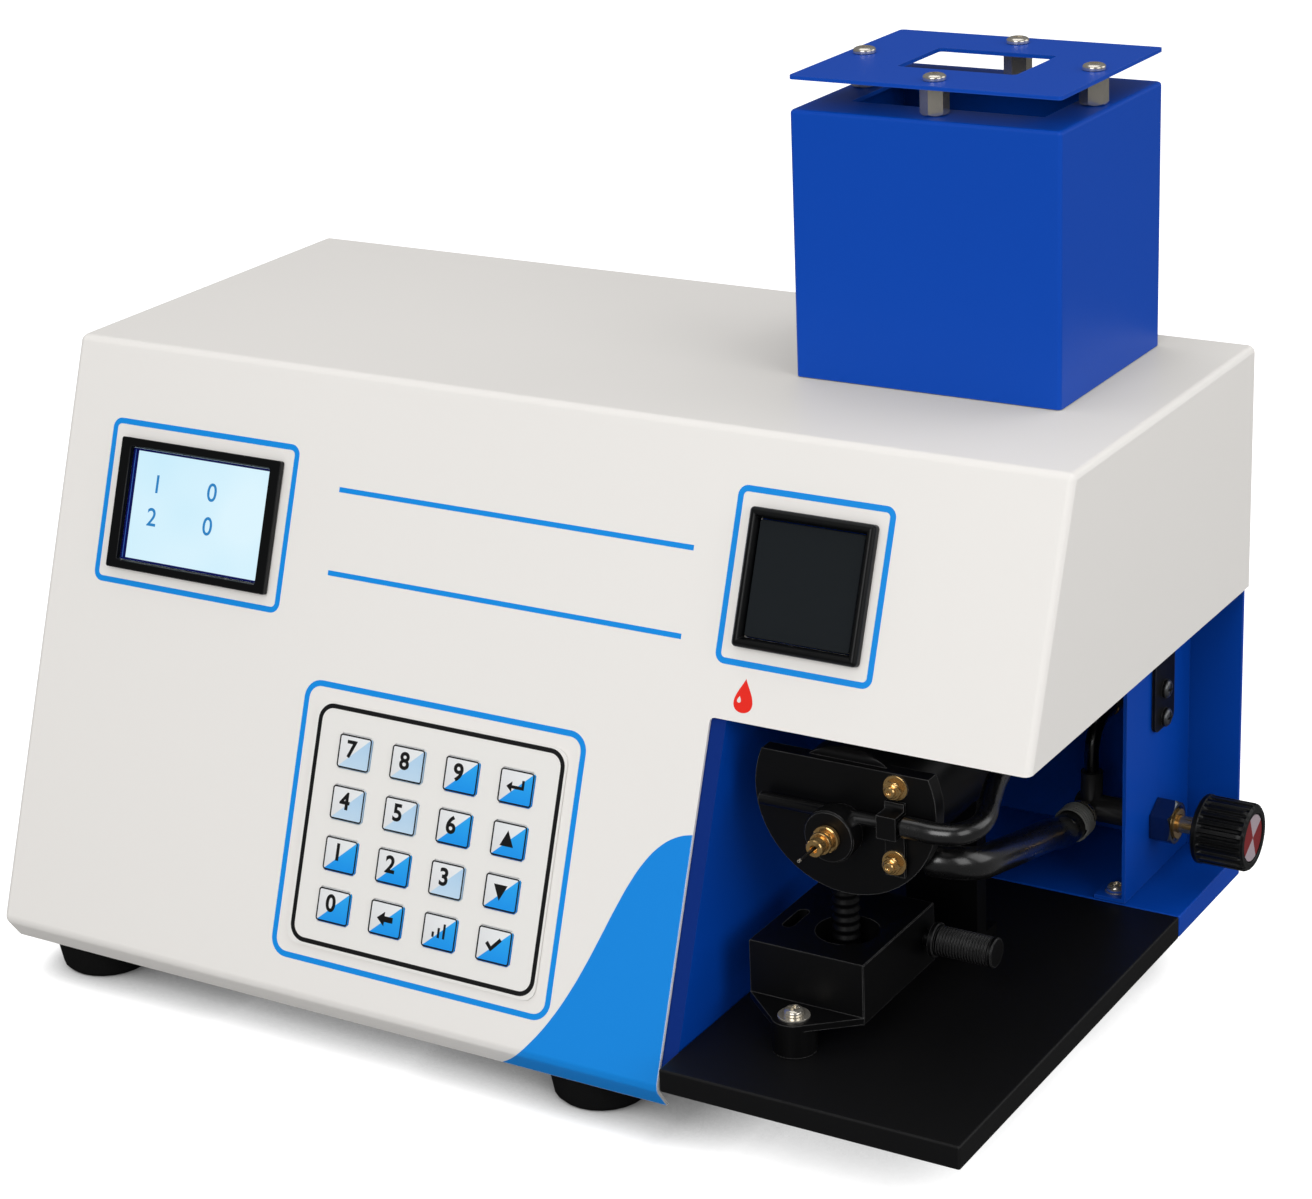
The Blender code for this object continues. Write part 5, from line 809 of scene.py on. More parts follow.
@dataclass
class Part:
    """Collects the shapes of one piece, each with its own finish, and turns them into one object."""

    name: str
    body: str = ROOT
    stands_for: tuple[str, ...] = ()
    sharp: float = SHARP
    shape: bmesh.types.BMesh = field(default_factory=bmesh.new)
    finishes: list[Finish] = field(default_factory=list)

    def index(self, finish: Finish) -> int:
        """Finds a finish in the piece's list of materials and adds it where it is missing.

        Args:
            finish: the finish.
        Returns:
            Its place in the list.
        """
        if finish not in self.finishes:
            self.finishes.append(finish)
        return self.finishes.index(finish)

    def add(self, data: bpy.types.Mesh, finish: Finish, matrix: Matrix = Matrix.Identity(4)) -> "Part":
        """Adds a mesh.

        Args:
            data: the mesh, which is used up.
            finish: what it is made of.
            matrix: where it goes.
        Returns:
            The part itself.
        """
        data.transform(matrix)
        if matrix.determinant() < 0:
            data.flip_normals()
        index = self.index(finish)
        for polygon in data.polygons:
            polygon.material_index = index
        self.shape.from_mesh(data)
        bpy.data.meshes.remove(data)
        return self

    def repaint(self, finish: Finish, low: Point, high: Point) -> "Part":
        """Gives another finish to the faces whose centre lies in a box.

        Args:
            finish: the other finish.
            low: the box's lowest corner in cabinet coordinates.
            high: its highest corner.
        Returns:
            The part itself.
        """
        index, back = self.index(finish), CABINET.inverted()
        for face in self.shape.faces:
            centre = back @ face.calc_center_median()
            if all(a <= c <= b for a, c, b in zip(low, centre, high)):
                face.material_index = index
        return self

    def finish(self) -> bpy.types.Object:
        """Makes the object, lets it ride on its body and hides the CAD nodes it stands for.

        Returns:
            The finished piece.
        """
        data = bpy.data.meshes.new(self.name)
        self.shape.to_mesh(data)
        self.shape.free()
        for finish in self.finishes:
            data.materials.append(finish.material())
        data.shade_smooth()
        data.set_sharp_from_angle(angle=self.sharp)
        item = linked_object(self.name, data)
        even = item.modifiers.new("even_shading", "WEIGHTED_NORMAL")
        even.keep_sharp = True
        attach(item, self.body)
        if self.stands_for:
            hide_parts(*self.stands_for)
        LOG.info("piece %s on %s: %d faces", self.name, self.body, len(data.polygons))
        return item


# Geometry Nodes


def shaped(source: bpy.types.Mesh, tree: bpy.types.NodeTree, values: dict[str, object]) -> bpy.types.Mesh:
    """Runs a geometry tree on a mesh.

    Args:
        source: the mesh it starts from.
        tree: the node tree.
        values: input name and value.
    Returns:
        The result as a plain mesh.
    """
    holder = linked_object("form_source", source)
    step = holder.modifiers.new("form", "NODES")
    step.node_group = tree
    names = {item.name: item.identifier for item in tree.interface.items_tree if item.in_out == "INPUT"}
    for name, value in values.items():
        step[names[name]] = value
    return plain_result(holder)


def close_tree(sketch: Sketch, given: bpy.types.Node, result: bpy.types.Node,
               shape: bpy.types.NodeSocket) -> None:
    """Ends a geometry tree: real geometry in its finish.

    Args:
        sketch: adds the nodes.
        given: the tree's input node.
        result: its output node.
        shape: the geometry so far.
    """
    real = sketch.node("GeometryNodeRealizeInstances", {0: shape})
    values = {"Geometry": real.outputs[0], "Material": given.outputs["Finish"]}
    painted = sketch.node("GeometryNodeSetMaterial", values)
    sketch.feed(result.inputs[0], painted.outputs[0])


GEOMETRY_IN = ("Geometry", "NodeSocketGeometry", None)
FINISH_IN = ("Finish", "NodeSocketMaterial", None)
GEOMETRY_OUT = (("Geometry", "NodeSocketGeometry"),)


def hose_tree() -> bpy.types.NodeTree:
    """A round tube along a line of points.

    Returns:
        The node tree.
    """
    def build(sketch: Sketch, given: bpy.types.Node, result: bpy.types.Node) -> None:
        """Fills the tree.

        Args:
            sketch: adds the nodes.
            given: the input node.
            result: the output node.
        """
        path = sketch.node("GeometryNodeMeshToCurve", {0: given.outputs["Geometry"]})
        ring = sketch.node("GeometryNodeCurvePrimitiveCircle",
                           {"Resolution": given.outputs["Sides"], "Radius": given.outputs["Radius"]})
        values = {"Curve": path.outputs[0], "Profile Curve": ring.outputs[0], "Fill Caps": True}
        tube = sketch.node("GeometryNodeCurveToMesh", values)
        close_tree(sketch, given, result, tube.outputs[0])

    takes = (GEOMETRY_IN, ("Radius", "NodeSocketFloat", 0.005), ("Sides", "NodeSocketInt", 32), FINISH_IN)
    return node_group("hose_along_path", "GeometryNodeTree", takes, GEOMETRY_OUT, build)


def wire_tree() -> bpy.types.NodeTree:
    """A wire wound in a helix about z.

    Returns:
        The node tree.
    """
    def build(sketch: Sketch, given: bpy.types.Node, result: bpy.types.Node) -> None:
        """Fills the tree.

        Args:
            sketch: adds the nodes.
            given: the input node.
            result: the output node.
        """
        helix = sketch.node("GeometryNodeCurveSpiral", {
            "Resolution": given.outputs["Steps"], "Rotations": given.outputs["Turns"],
            "Start Radius": given.outputs["Winding Radius"], "End Radius": given.outputs["Winding Radius"],
            "Height": given.outputs["Height"]})
        ring = sketch.node("GeometryNodeCurvePrimitiveCircle", {"Resolution": 10,
                                                                "Radius": given.outputs["Wire Radius"]})
        values = {"Curve": helix.outputs[0], "Profile Curve": ring.outputs[0], "Fill Caps": True}
        wire = sketch.node("GeometryNodeCurveToMesh", values)
        close_tree(sketch, given, result, wire.outputs[0])

    takes = (GEOMETRY_IN, ("Winding Radius", "NodeSocketFloat", 0.006),
             ("Wire Radius", "NodeSocketFloat", 0.0005), ("Turns", "NodeSocketFloat", 5.0),
             ("Height", "NodeSocketFloat", 0.008), ("Steps", "NodeSocketInt", 40), FINISH_IN)
    return node_group("wound_wire", "GeometryNodeTree", takes, GEOMETRY_OUT, build)


def fastener_tree() -> bpy.types.NodeTree:
    """A fastener on every point, each turned by chance about its own axis.

    Returns:
        The node tree.
    """
    def build(sketch: Sketch, given: bpy.types.Node, result: bpy.types.Node) -> None:
        """Fills the tree.

        Args:
            sketch: adds the nodes.
            given: the input node.
            result: the output node.
        """
        source = sketch.node("GeometryNodeObjectInfo", {"Object": given.outputs["Fastener"]})
        copies = sketch.node("GeometryNodeInstanceOnPoints", {
            "Points": given.outputs["Geometry"], "Instance": source.outputs["Geometry"],
            "Rotation": given.outputs["Facing"]})
        chance = sketch.node("FunctionNodeRandomValue", {2: 0.0, 3: math.tau, "Seed": given.outputs["Seed"]},
                             data_type="FLOAT")
        spin = sketch.node("ShaderNodeCombineXYZ", {2: chance.outputs[1]})
        turned_copies = sketch.node("GeometryNodeRotateInstances", {"Instances": copies.outputs[0],
                                                                    "Rotation": spin.outputs[0]})
        close_tree(sketch, given, result, turned_copies.outputs[0])

    takes = (GEOMETRY_IN, ("Fastener", "NodeSocketObject", None), ("Facing", "NodeSocketVector", (0, 0, 0)),
             ("Seed", "NodeSocketInt", 3), FINISH_IN)
    return node_group("fasteners_on_points", "GeometryNodeTree", takes, GEOMETRY_OUT, build)


def rib_tree() -> bpy.types.NodeTree:
    """Rings pressed out of a turned shape, one every pitch along z.

    Returns:
        The node tree.
    """
    def build(sketch: Sketch, given: bpy.types.Node, result: bpy.types.Node) -> None:
        """Fills the tree.

        Args:
            sketch: adds the nodes.
            given: the input node.
            result: the output node.
        """
        place = sketch.node("GeometryNodeInputPosition").outputs[0]
        split = sketch.node("ShaderNodeSeparateXYZ", {0: place})
        along = sketch.sum("SUBTRACT", split.outputs["Z"], given.outputs["Start"])
        phase = sketch.sum("MULTIPLY", sketch.sum("DIVIDE", along, given.outputs["Pitch"]), math.tau)
        wave = sketch.sum("MULTIPLY_ADD", sketch.sum("COSINE", phase), -0.5, 0.5)
        length = sketch.sum("MULTIPLY", given.outputs["Pitch"], given.outputs["Count"])
        within = sketch.sum("MULTIPLY", sketch.sum("GREATER_THAN", along, 0.0),
                            sketch.sum("LESS_THAN", along, length))
        flat = sketch.node("ShaderNodeCombineXYZ", {0: split.outputs["X"], 1: split.outputs["Y"]})
        outward = sketch.vector("NORMALIZE", flat.outputs[0])
        push = sketch.sum("MULTIPLY", sketch.sum("MULTIPLY", wave, within), given.outputs["Depth"])
        shift = sketch.vector("SCALE", outward.outputs[0])
        sketch.feed(shift.inputs["Scale"], push)
        moved = sketch.node("GeometryNodeSetPosition", {"Geometry": given.outputs["Geometry"],
                                                        "Offset": shift.outputs[0]})
        close_tree(sketch, given, result, moved.outputs[0])

    takes = (GEOMETRY_IN, ("Start", "NodeSocketFloat", 0.0), ("Pitch", "NodeSocketFloat", 0.001),
             ("Count", "NodeSocketInt", 8), ("Depth", "NodeSocketFloat", 0.0005), FINISH_IN)
    return node_group("rings_along_axis", "GeometryNodeTree", takes, GEOMETRY_OUT, build)


def flute_tree() -> bpy.types.NodeTree:
    """Grooves sunk into a turned shape between two heights, evenly round z.

    Returns:
        The node tree.
    """
    def build(sketch: Sketch, given: bpy.types.Node, result: bpy.types.Node) -> None:
        """Fills the tree.

        Args:
            sketch: adds the nodes.
            given: the input node.
            result: the output node.
        """
        place = sketch.node("GeometryNodeInputPosition").outputs[0]
        split = sketch.node("ShaderNodeSeparateXYZ", {0: place})
        angle = sketch.sum("ARCTAN2", split.outputs["Y"], split.outputs["X"])
        wave = sketch.sum("COSINE", sketch.sum("MULTIPLY", angle, given.outputs["Count"]))
        groove = sketch.ramp(wave, -0.15, 0.55)
        near, far = given.outputs["Near"], given.outputs["Far"]
        soft = given.outputs["Run Out"]
        height = split.outputs["Z"]
        rise = sketch.ramp(height, near, sketch.sum("ADD", near, soft))
        fall = sketch.ramp(height, sketch.sum("SUBTRACT", far, soft), far, 1.0, 0.0)
        flat = sketch.node("ShaderNodeCombineXYZ", {0: split.outputs["X"], 1: split.outputs["Y"]})
        radius = sketch.vector("LENGTH", flat.outputs[0]).outputs["Value"]
        rim = sketch.sum("GREATER_THAN", radius, given.outputs["Rim"])
        sunk = sketch.sum("MULTIPLY", sketch.sum("MULTIPLY", groove, rise), sketch.sum("MULTIPLY", fall, rim))
        push = sketch.sum("MULTIPLY", sunk, sketch.sum("MULTIPLY", given.outputs["Depth"], -1.0))
        shift = sketch.vector("SCALE", sketch.vector("NORMALIZE", flat.outputs[0]).outputs[0])
        sketch.feed(shift.inputs["Scale"], push)
        moved = sketch.node("GeometryNodeSetPosition", {"Geometry": given.outputs["Geometry"],
                                                        "Offset": shift.outputs[0]})
        close_tree(sketch, given, result, moved.outputs[0])

    takes = (GEOMETRY_IN, ("Count", "NodeSocketInt", 20), ("Depth", "NodeSocketFloat", 0.001),
             ("Near", "NodeSocketFloat", 0.0), ("Far", "NodeSocketFloat", 0.02),
             ("Run Out", "NodeSocketFloat", 0.0004), ("Rim", "NodeSocketFloat", 0.01), FINISH_IN)
    return node_group("flutes_round_axis", "GeometryNodeTree", takes, GEOMETRY_OUT, build)


class Recess(Enum):
    """The driver recess of a screw head."""

    CROSS = "cross"
    SOCKET = "socket"


@dataclass(frozen=True)
class Screw:
    """A screw head above its seat, with its washer where it has one."""

    radius: float
    height: float
    recess: Recess = Recess.CROSS
    washer_radius: float = 0.0
    washer_thickness: float = 0.0008
    domed: float = 0.55

    def head(self) -> bpy.types.Mesh:
        """Builds the head along z from its seat.

        Returns:
            A closed mesh with its recess.
        """
        base = self.washer_thickness if self.washer_radius else 0.0
        points: list[Flat] = [(0, base), (self.radius * 0.97, base), (self.radius, base + self.height * 0.08)]
        rim = base + self.height * (1 - self.domed)
        steps = 6
        for step in range(steps):
            turn = math.pi / 2 * step / steps
            points.append((self.radius * (0.35 + 0.65 * math.cos(turn)),
                           rim + self.height * self.domed * math.sin(turn)))
        points += [(self.radius * 0.3, base + self.height), (0, base + self.height)]
        target = linked_object("screw_head", turned(points, 32))
        tool = linked_object("screw_recess", self.recess_shape(base + self.height))
        data = combined(target, tool, "DIFFERENCE")
        if self.washer_radius:
            inner = self.radius * 0.5
            edge = self.washer_thickness * 0.25
            ring = [(inner, 0), (self.washer_radius - edge, 0), (self.washer_radius, edge),
                    (self.washer_radius, self.washer_thickness - edge),
                    (self.washer_radius - edge, self.washer_thickness), (inner, self.washer_thickness)]
            shape = bmesh.new()
            shape.from_mesh(data)
            washer = turned(ring, 40, closed=True)
            shape.from_mesh(washer)
            bpy.data.meshes.remove(washer)
            data = to_mesh(shape, recalculate=False)
        return data

    def recess_shape(self, top: float) -> bpy.types.Mesh:
        """The cutter of the recess.

        Args:
            top: height of the head's top.
        Returns:
            A closed mesh that reaches down into the head.
        """
        depth, reach = self.height * 0.55, self.radius * 0.62
        if self.recess is Recess.SOCKET:
            corner = self.radius * 0.52
            socket = [(0, top - depth), (corner, top - depth), (corner, top + depth), (0, top + depth)]
            return turned(socket, 6)
        arm = self.radius * 0.15
        cross = [(arm, arm), (arm, reach), (-arm, reach), (-arm, arm), (-reach, arm), (-reach, -arm),
                 (-arm, -arm), (-arm, -reach), (arm, -reach), (arm, -arm), (reach, -arm), (reach, arm)]
        return slab(cross, top - depth, top + depth)


def fastener_row(part: Part, screw: Screw, finish: Finish, places: Sequence[Point], axis: str,
                 seed: int) -> None:
    """Puts the same screw on several points of a part.

    Args:
        part: the piece that gets them.
        screw: the screw.
        finish: its finish.
        places: seats in cabinet coordinates.
        axis: the way the heads face.
        seed: fixes how each recess is turned.
    """
    points = bpy.data.meshes.new("seats")
    points.from_pydata([CABINET @ Vector(place) for place in places], [], [])
    pattern = linked_object("screw_pattern", screw.head())
    facing = TURNS[axis].to_euler()
    data = shaped(points, fastener_tree(), {"Fastener": pattern, "Facing": tuple(facing), "Seed": seed,
                                            "Finish": finish.material()})
    bpy.data.objects.remove(pattern)
    part.add(data, finish)


# Sub-assemblies


@dataclass
class Studio:
    """Camera, lamps, floor and background."""

    place: Point = (0.6322, -0.9917, 0.6052)
    azimuth: float = 31.94
    elevation: float = 20.85
    roll: float = -2.59
    lens: float = 87.72
    sky: float = 0.46
    mirrored: float = 0.14
    shade_reach: float = 0.06
    shade_change: Flat = (0.08, 0.11)
    shade_left: Flat = (0.15, 0.6)
    shade_right: Flat = (0.05, 0.42)
    shade_darkest: float = 0.06
    lamps: tuple[tuple[str, Point, Point, float, float], ...] = (
        ("lamp_front", (0.25, -1.9, 1.2), (0.0, 0.0, 0.15), 1.3, 18.8),
        ("lamp_top", (0.0, 0.15, 1.9), (0.0, 0.0, 0.1), 1.5, 8.6),
        ("lamp_right", (1.7, -0.5, 0.9), (0.0, 0.0, 0.15), 1.1, 7.4),
        ("lamp_rim", (1.3, 0.95, 0.75), (0.1, 0.0, 0.1), 1.1, 4.4),
    )
    floor_size: float = 6.0

    def build(self) -> None:
        """Makes the camera, the lamps, the world and the floor."""
        self.camera()
        for name, place, aim, size, power in self.lamps:
            self.lamp(name, place, aim, size, power)
        self.world()
        self.floor()
        bpy.context.scene.view_settings.view_transform = "Standard"

    def camera(self) -> None:
        """Puts the camera where the photograph was taken."""
        data = bpy.data.cameras.new("camera")
        data.sensor_width = 36
        data.lens = self.lens
        data.clip_start, data.clip_end = 0.01, 20
        item = linked_object("camera", data)
        around = Matrix.Rotation(math.radians(self.azimuth), 4, "Z")
        tipped = Matrix.Rotation(math.radians(90.0 - self.elevation), 4, "X")
        rolled = Matrix.Rotation(math.radians(self.roll), 4, "Z")
        item.matrix_world = Matrix.Translation(self.place) @ around @ tipped @ rolled
        bpy.context.scene.camera = item

    def lamp(self, name: str, place: Point, aim: Point, size: float, power: float) -> None:
        """Adds a soft square lamp.

        Args:
            name: the lamp's name.
            place: where it stands.
            aim: the point that it looks at.
            size: its side.
            power: its power in watts.
        """
        data = bpy.data.lights.new(name, "AREA")
        data.size = size
        data.energy = power
        item = linked_object(name, data)
        item.location = place
        item.rotation_euler = (Vector(aim) - Vector(place)).to_track_quat("-Z", "Y").to_euler()

    def world(self) -> None:
        """A white background for the camera, a plain sky for the light and a dim one for reflections."""
        world = bpy.data.worlds.new("studio")
        bpy.context.scene.world = world
        world.use_nodes = True
        sketch = Sketch(world.node_tree)
        path = sketch.node("ShaderNodeLightPath")
        seen = sketch.sum("MAXIMUM", path.outputs["Is Camera Ray"], path.outputs["Is Transmission Ray"])
        lit = sketch.ramp(path.outputs["Is Glossy Ray"], 0.0, 1.0, self.sky, self.mirrored)
        strength = sketch.ramp(seen, 0.0, 1.0, lit, 1.0)
        background = world.node_tree.nodes["Background"]
        background.inputs["Color"].default_value = (1, 1, 1, 1)
        sketch.feed(background.inputs["Strength"], strength)

    def floor(self) -> None:
        """A plain white floor with a painted shadow close to the object: near it, ambient occlusion dims the
        floor's glow and colour for the camera.

        The painted shadow's limits change at the burner bay, where the deck lies low over the floor.
        """
        half = self.floor_size / 2
        corners = [(-half, -half), (half, -half), (half, half), (-half, half)]
        item = linked_object("floor", slab(corners, -0.002, -0.0001))
        paint = bpy.data.materials.new("floor_white")
        paint.use_nodes = True
        sketch = Sketch(paint.node_tree)
        shader = paint.node_tree.nodes["Principled BSDF"]
        shader.inputs["Roughness"].default_value = 0.9
        shader.inputs["Specular IOR Level"].default_value = 0.0
        shader.inputs["Emission Color"].default_value = (1, 1, 1, 1)
        path = sketch.node("ShaderNodeLightPath")
        near = sketch.node("ShaderNodeAmbientOcclusion", {"Distance": self.shade_reach}, samples=16)
        across = sketch.node("ShaderNodeSeparateXYZ", {0: sketch.place()}).outputs["X"]
        low, high = (sketch.ramp(across, *self.shade_change, left, right)
                     for left, right in zip(self.shade_left, self.shade_right))
        # painted shadow: ambient occlusion near the object dims the floor's glow and colour for the camera
        clear = sketch.ramp(near.outputs["AO"], low, high, self.shade_darkest, 1.0)
        seen, glossy = path.outputs["Is Camera Ray"], path.outputs["Is Glossy Ray"]
        painted_shadow = sketch.sum("MULTIPLY", seen, sketch.sum("SUBTRACT", 1.0, clear))
        lit = sketch.mix(painted_shadow, (0.5, 0.5, 0.5), (0.1, 0.1, 0.1))
        sketch.feed(shader.inputs["Base Color"], sketch.mix(glossy, lit, (0.15, 0.15, 0.15)))
        sketch.feed(shader.inputs["Emission Strength"], sketch.sum("MULTIPLY", seen, clear))
        item.data.materials.append(paint)


@dataclass
class Cabinet:
    """The cover with its prints, the floor, the walls, the deck and the feet."""

    line: float = 0.0023
    print_low: float = 0.00002
    print_high: float = 0.00007
    frames: tuple[tuple[str, Flat, Flat, float], ...] = (
        ("print_frame_display", (0.07065, 0.17825), (0.0937, 0.0665), 0.0042),
        ("print_frame_window", (0.34425, 0.19005), (0.0635, 0.0649), 0.0040),
        ("print_frame_keypad", (0.2001, 0.0685), (0.1292, 0.1090), 0.0075),
    )
    rules: tuple[tuple[float, float, float], ...] = ((0.1385, 0.2975, 0.1970), (0.1385, 0.2975, 0.1645))
    rule_half: float = 0.0010
    flame_place: Flat = (0.3265, 0.1475)
    flame_size: Flat = (0.0086, 0.0125)
    # the wall's front flange, given the darker blue as painted shade
    wall_front: Box = ((0.300, -0.010, 0.020), (0.3203, 0.070, 0.175))
    rear_face: float = 0.2515
    rear_screws: tuple[Flat, ...] = (
        (0.020, 0.050), (0.020, 0.150), (0.020, 0.238), (0.140, 0.238), (0.300, 0.238), (0.424, 0.238),
        (0.424, 0.176), (0.150, 0.050), (0.290, 0.050))

    def build(self) -> None:
        """Builds every piece of the cabinet."""
        Part("cover", stands_for=("top_cover",)).add(carried("top_cover"), WHITE).finish()
        self.prints()
        self.flame_mark()
        for node, finish in (("chassis_base", BLUE), ("bay_floor", BLUE), ("burner_deck", BLACK_COAT),
                             ("foot_front_left", RUBBER), ("foot_front_middle", RUBBER),
                             ("foot_rear_left", RUBBER), ("foot_rear_right", RUBBER)):
            Part(node + "_dressed", stands_for=(node,)).add(carried(node), finish).finish()
        wall = Part("compartment_wall_dressed", stands_for=("compartment_wall",))
        # the front flange is painted darker blue as shade
        wall.add(carried("compartment_wall"), BLUE).repaint(PAINTED_SHADE_BLUE, *self.wall_front).finish()
        rear = Part("rear_panel_dressed", stands_for=("rear_panel",)).add(carried("rear_panel"), BLUE)
        seats = [(x, self.rear_face, z) for x, z in self.rear_screws]
        fastener_row(rear, Screw(0.0029, 0.0018), NICKEL, seats, "y", 7)
        rear.finish()

    def prints(self) -> None:
        """The blue printed frames and rule lines on the front panel."""
        low, high = self.print_low, self.print_high
        section = ((0, low), (0, high), (self.line, high), (self.line, low))
        for name, centre, size, corner in self.frames:
            Part(name).add(moulding(centre, size, corner, section, 8), INK_BLUE, PANEL).finish()
        rules = Part("print_rules")
        for left, right, height in self.rules:
            outline = [(left, height - self.rule_half), (right, height - self.rule_half),
                       (right, height + self.rule_half), (left, height + self.rule_half)]
            rules.add(slab(outline, low, high), INK_BLUE, PANEL)
        rules.finish()

    def flame_mark(self) -> None:
        """A plain red drop-shaped flame with a small white glint, under the window."""
        mark = Part("print_flame")
        matrix = PANEL @ Matrix.Translation((*self.flame_place, 0))
        mark.add(slab(self.drop(1.0, 0.0), self.print_low, self.print_high), INK_RED, matrix)
        shift = Matrix.Translation((-self.flame_size[0] * 0.2, -self.flame_size[1] * 0.12, 0))
        mark.add(slab(self.drop(0.2, 0.2), self.print_high, self.print_high + self.print_low), INK_WHITE,
                 matrix @ shift)
        mark.finish()

    def drop(self, share: float, lean: float) -> list[Flat]:
        """Outline of a drop with its point up.

        Args:
            share: its size against the mark's.
            lean: how far its tip leans to the right.
        Returns:
            Points, anticlockwise.
        """
        width, height = (size * share / 2 for size in self.flame_size)
        points = []
        steps = 40
        for step in range(steps):
            turn = math.tau * (step + 0.5) / steps
            x = -width * 1.3 * math.sin(turn) * math.sin(turn / 2) ** 1.6
            y = height * math.cos(turn)
            points.append((x + width * lean * max(0.0, y / height) ** 2, y))
        return points[::-1]


@dataclass
class Display:
    """The display's bezel and its lit screen."""

    centre: Flat = (0.0711, 0.1779)
    screen: Flat = (0.0700, 0.0460)
    glass: float = 0.0006
    border: float = 0.0009
    left_border: float = 0.0026
    glint: float = 0.0003
    rows: tuple[tuple[str, float, float], ...] = (("1", -0.0208, 0.0094), ("0", 0.0069, 0.0097),
                                                  ("2", -0.0215, -0.0040), ("0", 0.0068, -0.0038))
    digit_height: float = 0.0074

    def build(self) -> None:
        """Builds the bezel, the screen, its border and its digits."""
        Part("display_bezel", stands_for=("lcd_bezel",)).add(carried("lcd_bezel"), PLASTIC).finish()
        module = Part("display_module", stands_for=("lcd_module",)).add(carried("lcd_module"), PLASTIC)
        index = module.index(SCREEN)
        out = (PANEL.to_3x3() @ Vector((0, 0, 1))).normalized()
        top = max(face.calc_center_median().dot(out) for face in module.shape.faces)
        for face in module.shape.faces:
            if face.calc_center_median().dot(out) > top - 0.0001:
                face.material_index = index
        low, high = self.glass + 0.00001, self.glass + 0.00035
        section = ((0, low), (0, high), (self.border - 0.0004, high), (self.border, low))
        size = (self.screen[0] - 0.0009, self.screen[1] - 0.0009)
        module.add(moulding(self.centre, size, 0.0004, section, 2), SCREEN_EDGE, PANEL)
        left, half = self.centre[0] - size[0] / 2 + self.border - 0.0002, size[1] / 2 - self.border + 0.0002
        for finish, near, far, top in ((SCREEN_EDGE, 0.0, self.left_border - self.border, high - 0.0001),
                                       (SCREEN_GLINT, 0.0002, 0.0002 + self.glint, high)):
            outline = [(left + near, self.centre[1] - half), (left + far, self.centre[1] - half),
                       (left + far, self.centre[1] + half), (left + near, self.centre[1] + half)]
            module.add(slab(outline, low, top), finish, PANEL)
        for text, x, v in self.rows:
            spot = (self.centre[0] + x, self.centre[1] + v, self.glass + 0.00004)
            module.add(lettering(text, self.digit_height, 0.00006, 0.0001), SCREEN_INK,
                       PANEL @ Matrix.Translation(spot))
        module.finish()


@dataclass
class FlameWindow:
    """The black moulded frame and smoked glass over the flame."""

    centre: Flat = (0.3450, 0.1900)
    outer: float = 0.0507
    glass: float = 0.0433
    corner: float = 0.0016
    rise: float = 0.0040
    glass_rise: float = 0.0018
    glass_gap: float = 0.0004
    sheet: float = 0.0012

    def build(self) -> None:
        """Builds the frame and dresses the glass."""
        wall = (self.outer - self.glass) / 2
        section = ((0, SEAT_GAP), (0, self.rise - 0.0015), (0.0003, self.rise - 0.0009),
                   (0.0011, self.rise - 0.0002), (0.0016, self.rise), (wall - 0.0012, self.rise),
                   (wall - 0.0008, self.rise - 0.0003), (wall, self.glass_rise + 0.0002), (wall, SEAT_GAP))
        rim = Part("window_frame_dressed", stands_for=("window_frame",))
        rim.add(moulding(self.centre, (self.outer, self.outer), self.corner, section, 5), PLASTIC, PANEL)
        rim.finish()
        size = self.glass - 2 * self.glass_gap
        pane = Part("window_pane", stands_for=("window_glass",))
        stations = ((0, -self.sheet - SEAT_GAP), (0, self.glass_rise - 0.0003), (0.0003, self.glass_rise))
        pane.add(moulding(self.centre, (size, size), 0.0012, stations, 4, ring=False), GLASS, PANEL)
        pane.finish()


class Glyph(Enum):
    """The mark on a key that carries no number."""

    UP = "up"
    DOWN = "down"
    ENTER = "enter"
    ESCAPE = "escape"
    CALIBRATE = "calibrate"
    SET = "set"


